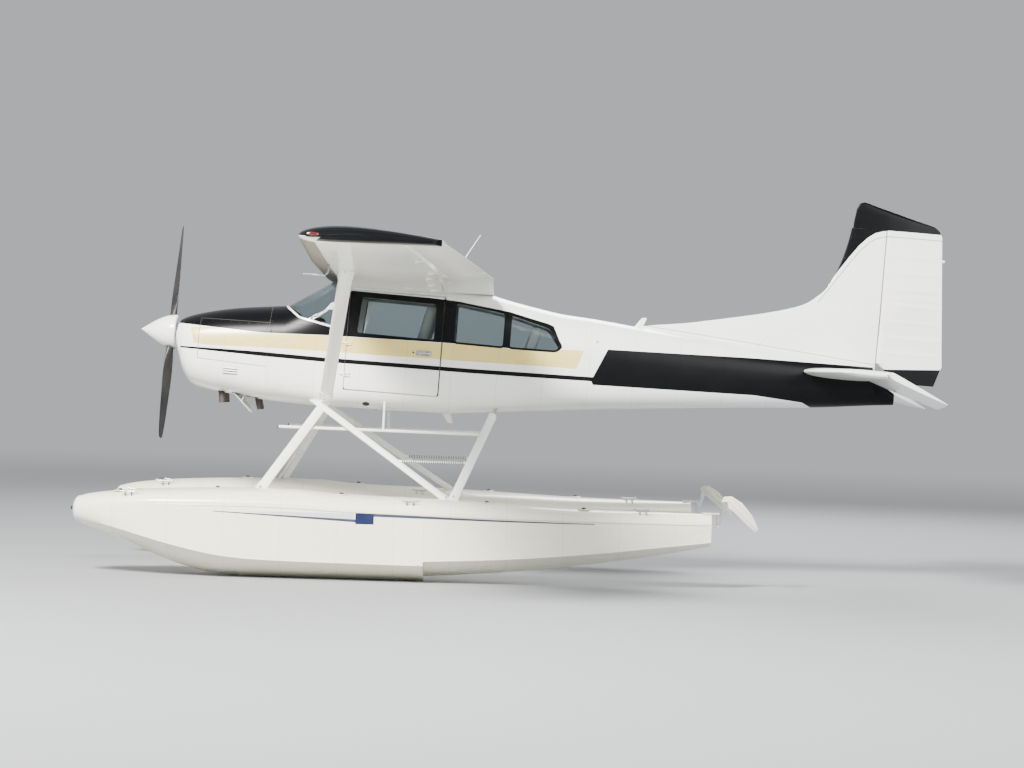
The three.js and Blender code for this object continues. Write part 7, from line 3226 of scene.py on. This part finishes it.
@dataclass
class Aerials(Assembly):
    """The aerials and small things on the fuselage."""

    whip: tuple = ((2.984, 0, 0.725), (3.245, 0, 1.190))
    # Each blade's s, w, height, chord and lean.
    blades: tuple = ((4.86, 0.405, 0.105, 0.085, 0.06), (3.05, -0.575, -0.10, 0.09, 0.05))
    vent: tuple = ((2.35, 0.2, -0.57), (2.35, 0.2, -0.64), (2.36, 0.2, -0.66))
    plug_at: tuple = (4.46, 0.23)
    drain_at: tuple = (2.28, -0.55)
    breather: tuple = ((1.20, 0.17, -0.575), (1.225, 0.17, -0.665), (1.232, 0.17, -0.692))

    def blade(self, s: float, w: float, tall: float, chord: float, lean: float) -> Draft:
        """A swept blade aerial: foil sections that shrink towards the tip.

        Args:
            s: its foot along the hull.
            w: its foot's height.
            tall: its height, below zero downwards.
            chord: its length at the foot.
            lean: how far the tip stands back.

        Returns:
            The aerial.
        """
        made = Draft()
        rings = []
        a = around(24)
        for k in np.linspace(0, 1, 10):
            c = chord * (1 - 0.45 * k) * (1 if k < 0.95 else 0.85)
            wide, deep = np.cos(a) * c / 2, np.sin(a) * 0.16 * c / 2 * (1 - 0.5 * k)
            rings.append(np.c_[s + lean * k + wide, deep, np.full(24, w + tall * k)])
        made.loft(np.stack(rings))
        return made

    def build(self) -> None:
        """The whip and the blades above and below, with their feet."""
        whip = Draft()
        foot, tip = np.array(self.whip)
        t = np.linspace(0, 1, 12)[:, None]
        whip.tube(foot + (tip - foot) * t, np.linspace(0.006, 0.0028, 12), 10)
        whip.rods([(2.98, 0, 0.70), (2.985, 0, 0.745), (2.99, 0, 0.76)], [0.024, 0.014, 0.008], 20)
        self.fit("whip_aerial", whip, (SMOOTH_WHITE,), replaces=["whip_antenna"])
        top, low = (self.blade(*sizes) for sizes in self.blades)
        top.part().join(low)
        self.fit("blade_aerials", top, (SMOOTH_WHITE,))
        belly = Draft()
        belly.tube(np.array(self.vent), np.array([0.008, 0.006, 0.004]), 12)
        for side in (1, -1):
            flip = (1, side, 1)
            (p0, n0), (p1, n1) = (
                (HULL.point(q) * flip, HULL.normal(q) * flip)
                for q in (HULL.place_at(*np.array(spot)) for spot in (self.plug_at, self.drain_at))
            )
            belly.rods([p0 - n0 * 0.004, p0 + n0 * 0.003], 0.012, 20)
            belly.rods([p1 - n1 * 0.004, p1 + n1 * 0.004, p1 + n1 * 0.006], [0.034, 0.034, 0.028], 28, 1)
            belly.rods(np.array(self.breather) * flip, [0.020, 0.020, 0.0195], 20, 2)
            belly.rods([(1.2325, side * 0.17, -0.6925), (1.228, side * 0.17, -0.675)], 0.0165, 20, 1)
        self.fit("drains_and_vents", belly, (STEEL, RUBBER, SOOT))


# Scene


@dataclass
class Studio:
    """The floor, the lights and the camera."""

    eye: tuple = (3.576, -26.0, 1.8115)
    aim: tuple = (-0.08, 0.0, 1.86)
    trim: float = math.radians(1.7)
    lens: float = 93.0
    # Name, place, watts, width in metres, colour.
    lamps: tuple = (
        ("key", (-8.0, -14.0, 13.0), 14500, 4.5, (1.0, 0.975, 0.94)),
        ("fill", (9.0, -13.0, 7.0), 1700, 9.0, (0.94, 0.97, 1.0)),
        ("rim", (4.0, 13.0, 11.0), 3200, 8.0, (1, 1, 1)),
    )

    def floor(self) -> None:
        """A wide pale disc that fades into the background at its rim."""
        made = Draft()
        turn = around(96)
        rings = np.stack(
            [
                np.c_[r * np.cos(turn), r * np.sin(turn), np.zeros(96)]
                for r in (0.0, 6.0, 14.0, 30.0, 60.0)
            ]
        )
        made.grid(rings, wrap=True)
        piece = made.build(
            "studio_floor",
            (SMOOTH_WHITE,),
            lambda p: np.asarray(p, float) + (0, 0, -0.0015),
            outwards=False,
        )
        stuff = bpy.data.materials.new("floor_paper")
        stuff.use_nodes = True
        graph = Graph(stuff.node_tree)
        shader = stuff.node_tree.nodes["Principled BSDF"]
        place = graph.node("ShaderNodeTexCoord").outputs["Object"]
        reach = graph.node("ShaderNodeVectorMath", {0: place}, operation="LENGTH").outputs["Value"]
        shader.inputs["Base Color"].default_value = (0.30, 0.31, 0.32, 1)
        shader.inputs["Roughness"].default_value = 0.9
        graph.feed(shader.inputs["Alpha"], graph.ramp(reach, 7.0, 44.0, (1.0, 0.0)))
        piece.data.materials[0] = stuff

    def light(self, name: str, place: tuple, power: float, size: float, colour: tuple) -> None:
        """A square area lamp that looks at the aircraft's middle.

        Args:
            name: its name.
            place: where it hangs.
            power: its power in watts.
            size: its width.
            colour: its colour.
        """
        lamp = bpy.data.lights.new(name, "AREA")
        lamp.energy, lamp.size, lamp.color = power, size, colour
        holder = bpy.data.objects.new(name, lamp)
        bpy.context.scene.collection.objects.link(holder)
        holder.location = place
        holder.rotation_euler = (Vector((0, 0, 1.6)) - Vector(place)).to_track_quat("-Z", "Y").to_euler()

    def build(self) -> None:
        """Floor, sky, lamps and the camera at the photograph's angle."""
        self.floor()
        world = bpy.data.worlds.new("studio_sky")
        world.use_nodes = True
        world.node_tree.nodes["Background"].inputs[0].default_value = (0.82, 0.85, 0.88, 1)
        world.node_tree.nodes["Background"].inputs[1].default_value = 0.62
        bpy.context.scene.world = world
        for lamp in self.lamps:
            self.light(*lamp)
        camera = bpy.data.cameras.new("photograph_view")
        holder = bpy.data.objects.new("photograph_view", camera)
        bpy.context.scene.collection.objects.link(holder)
        eye = Vector(self.eye) + Vector((NOSE_X, 0, 0))
        holder.location = eye
        turn = (Vector(self.aim) - eye).to_track_quat("-Z", "Y") @ Quaternion((0, 0, 1), self.trim)
        holder.rotation_euler = turn.to_euler()
        camera.sensor_width = 36.0
        camera.lens = self.lens
        camera.clip_end = 400.0
        bpy.context.scene.camera = holder


def main() -> None:
    """Builds the sub-assemblies in order and reports each piece."""
    logging.basicConfig(level=logging.INFO, format="%(name)s %(message)s", force=True)
    Studio().build()
    hull = Fuselage()
    hull.build_cabin()
    hull.build_windows()
    hull.build_doors()
    hull.build_tail_cone()
    hull.build_cabin_inside()
    cowl = Cowling()
    cowl.build_skin()
    cowl.build_flaps()
    cowl.build_fasteners()
    cowl.build_pipes()
    Propeller().build()
    Wings().build()
    tail = Tail()
    tail.build_tailplane()
    tail.build_fin()
    tail.build_rudder()
    floats = Floats()
    floats.build_hulls()
    floats.build_trim()
    floats.build_water_rudders()
    gear = FloatGear()
    gear.build_struts()
    gear.build_steps()
    gear.build_spreaders()
    gear.build_wires()
    cabin = Cabin()
    cabin.build_seats()
    cabin.build_panel()
    Aerials().build()
    dress_frame()


def dress_frame() -> None:
    """Gives the CAD nodes that stay visible their finishes."""
    for name, finish in (("water_rudder_post_left", BARE), ("water_rudder_post_right", BARE)):
        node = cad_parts[name]
        for slot in node.material_slots:
            slot.material = finish.material()


if __name__ == "__main__":
    main()
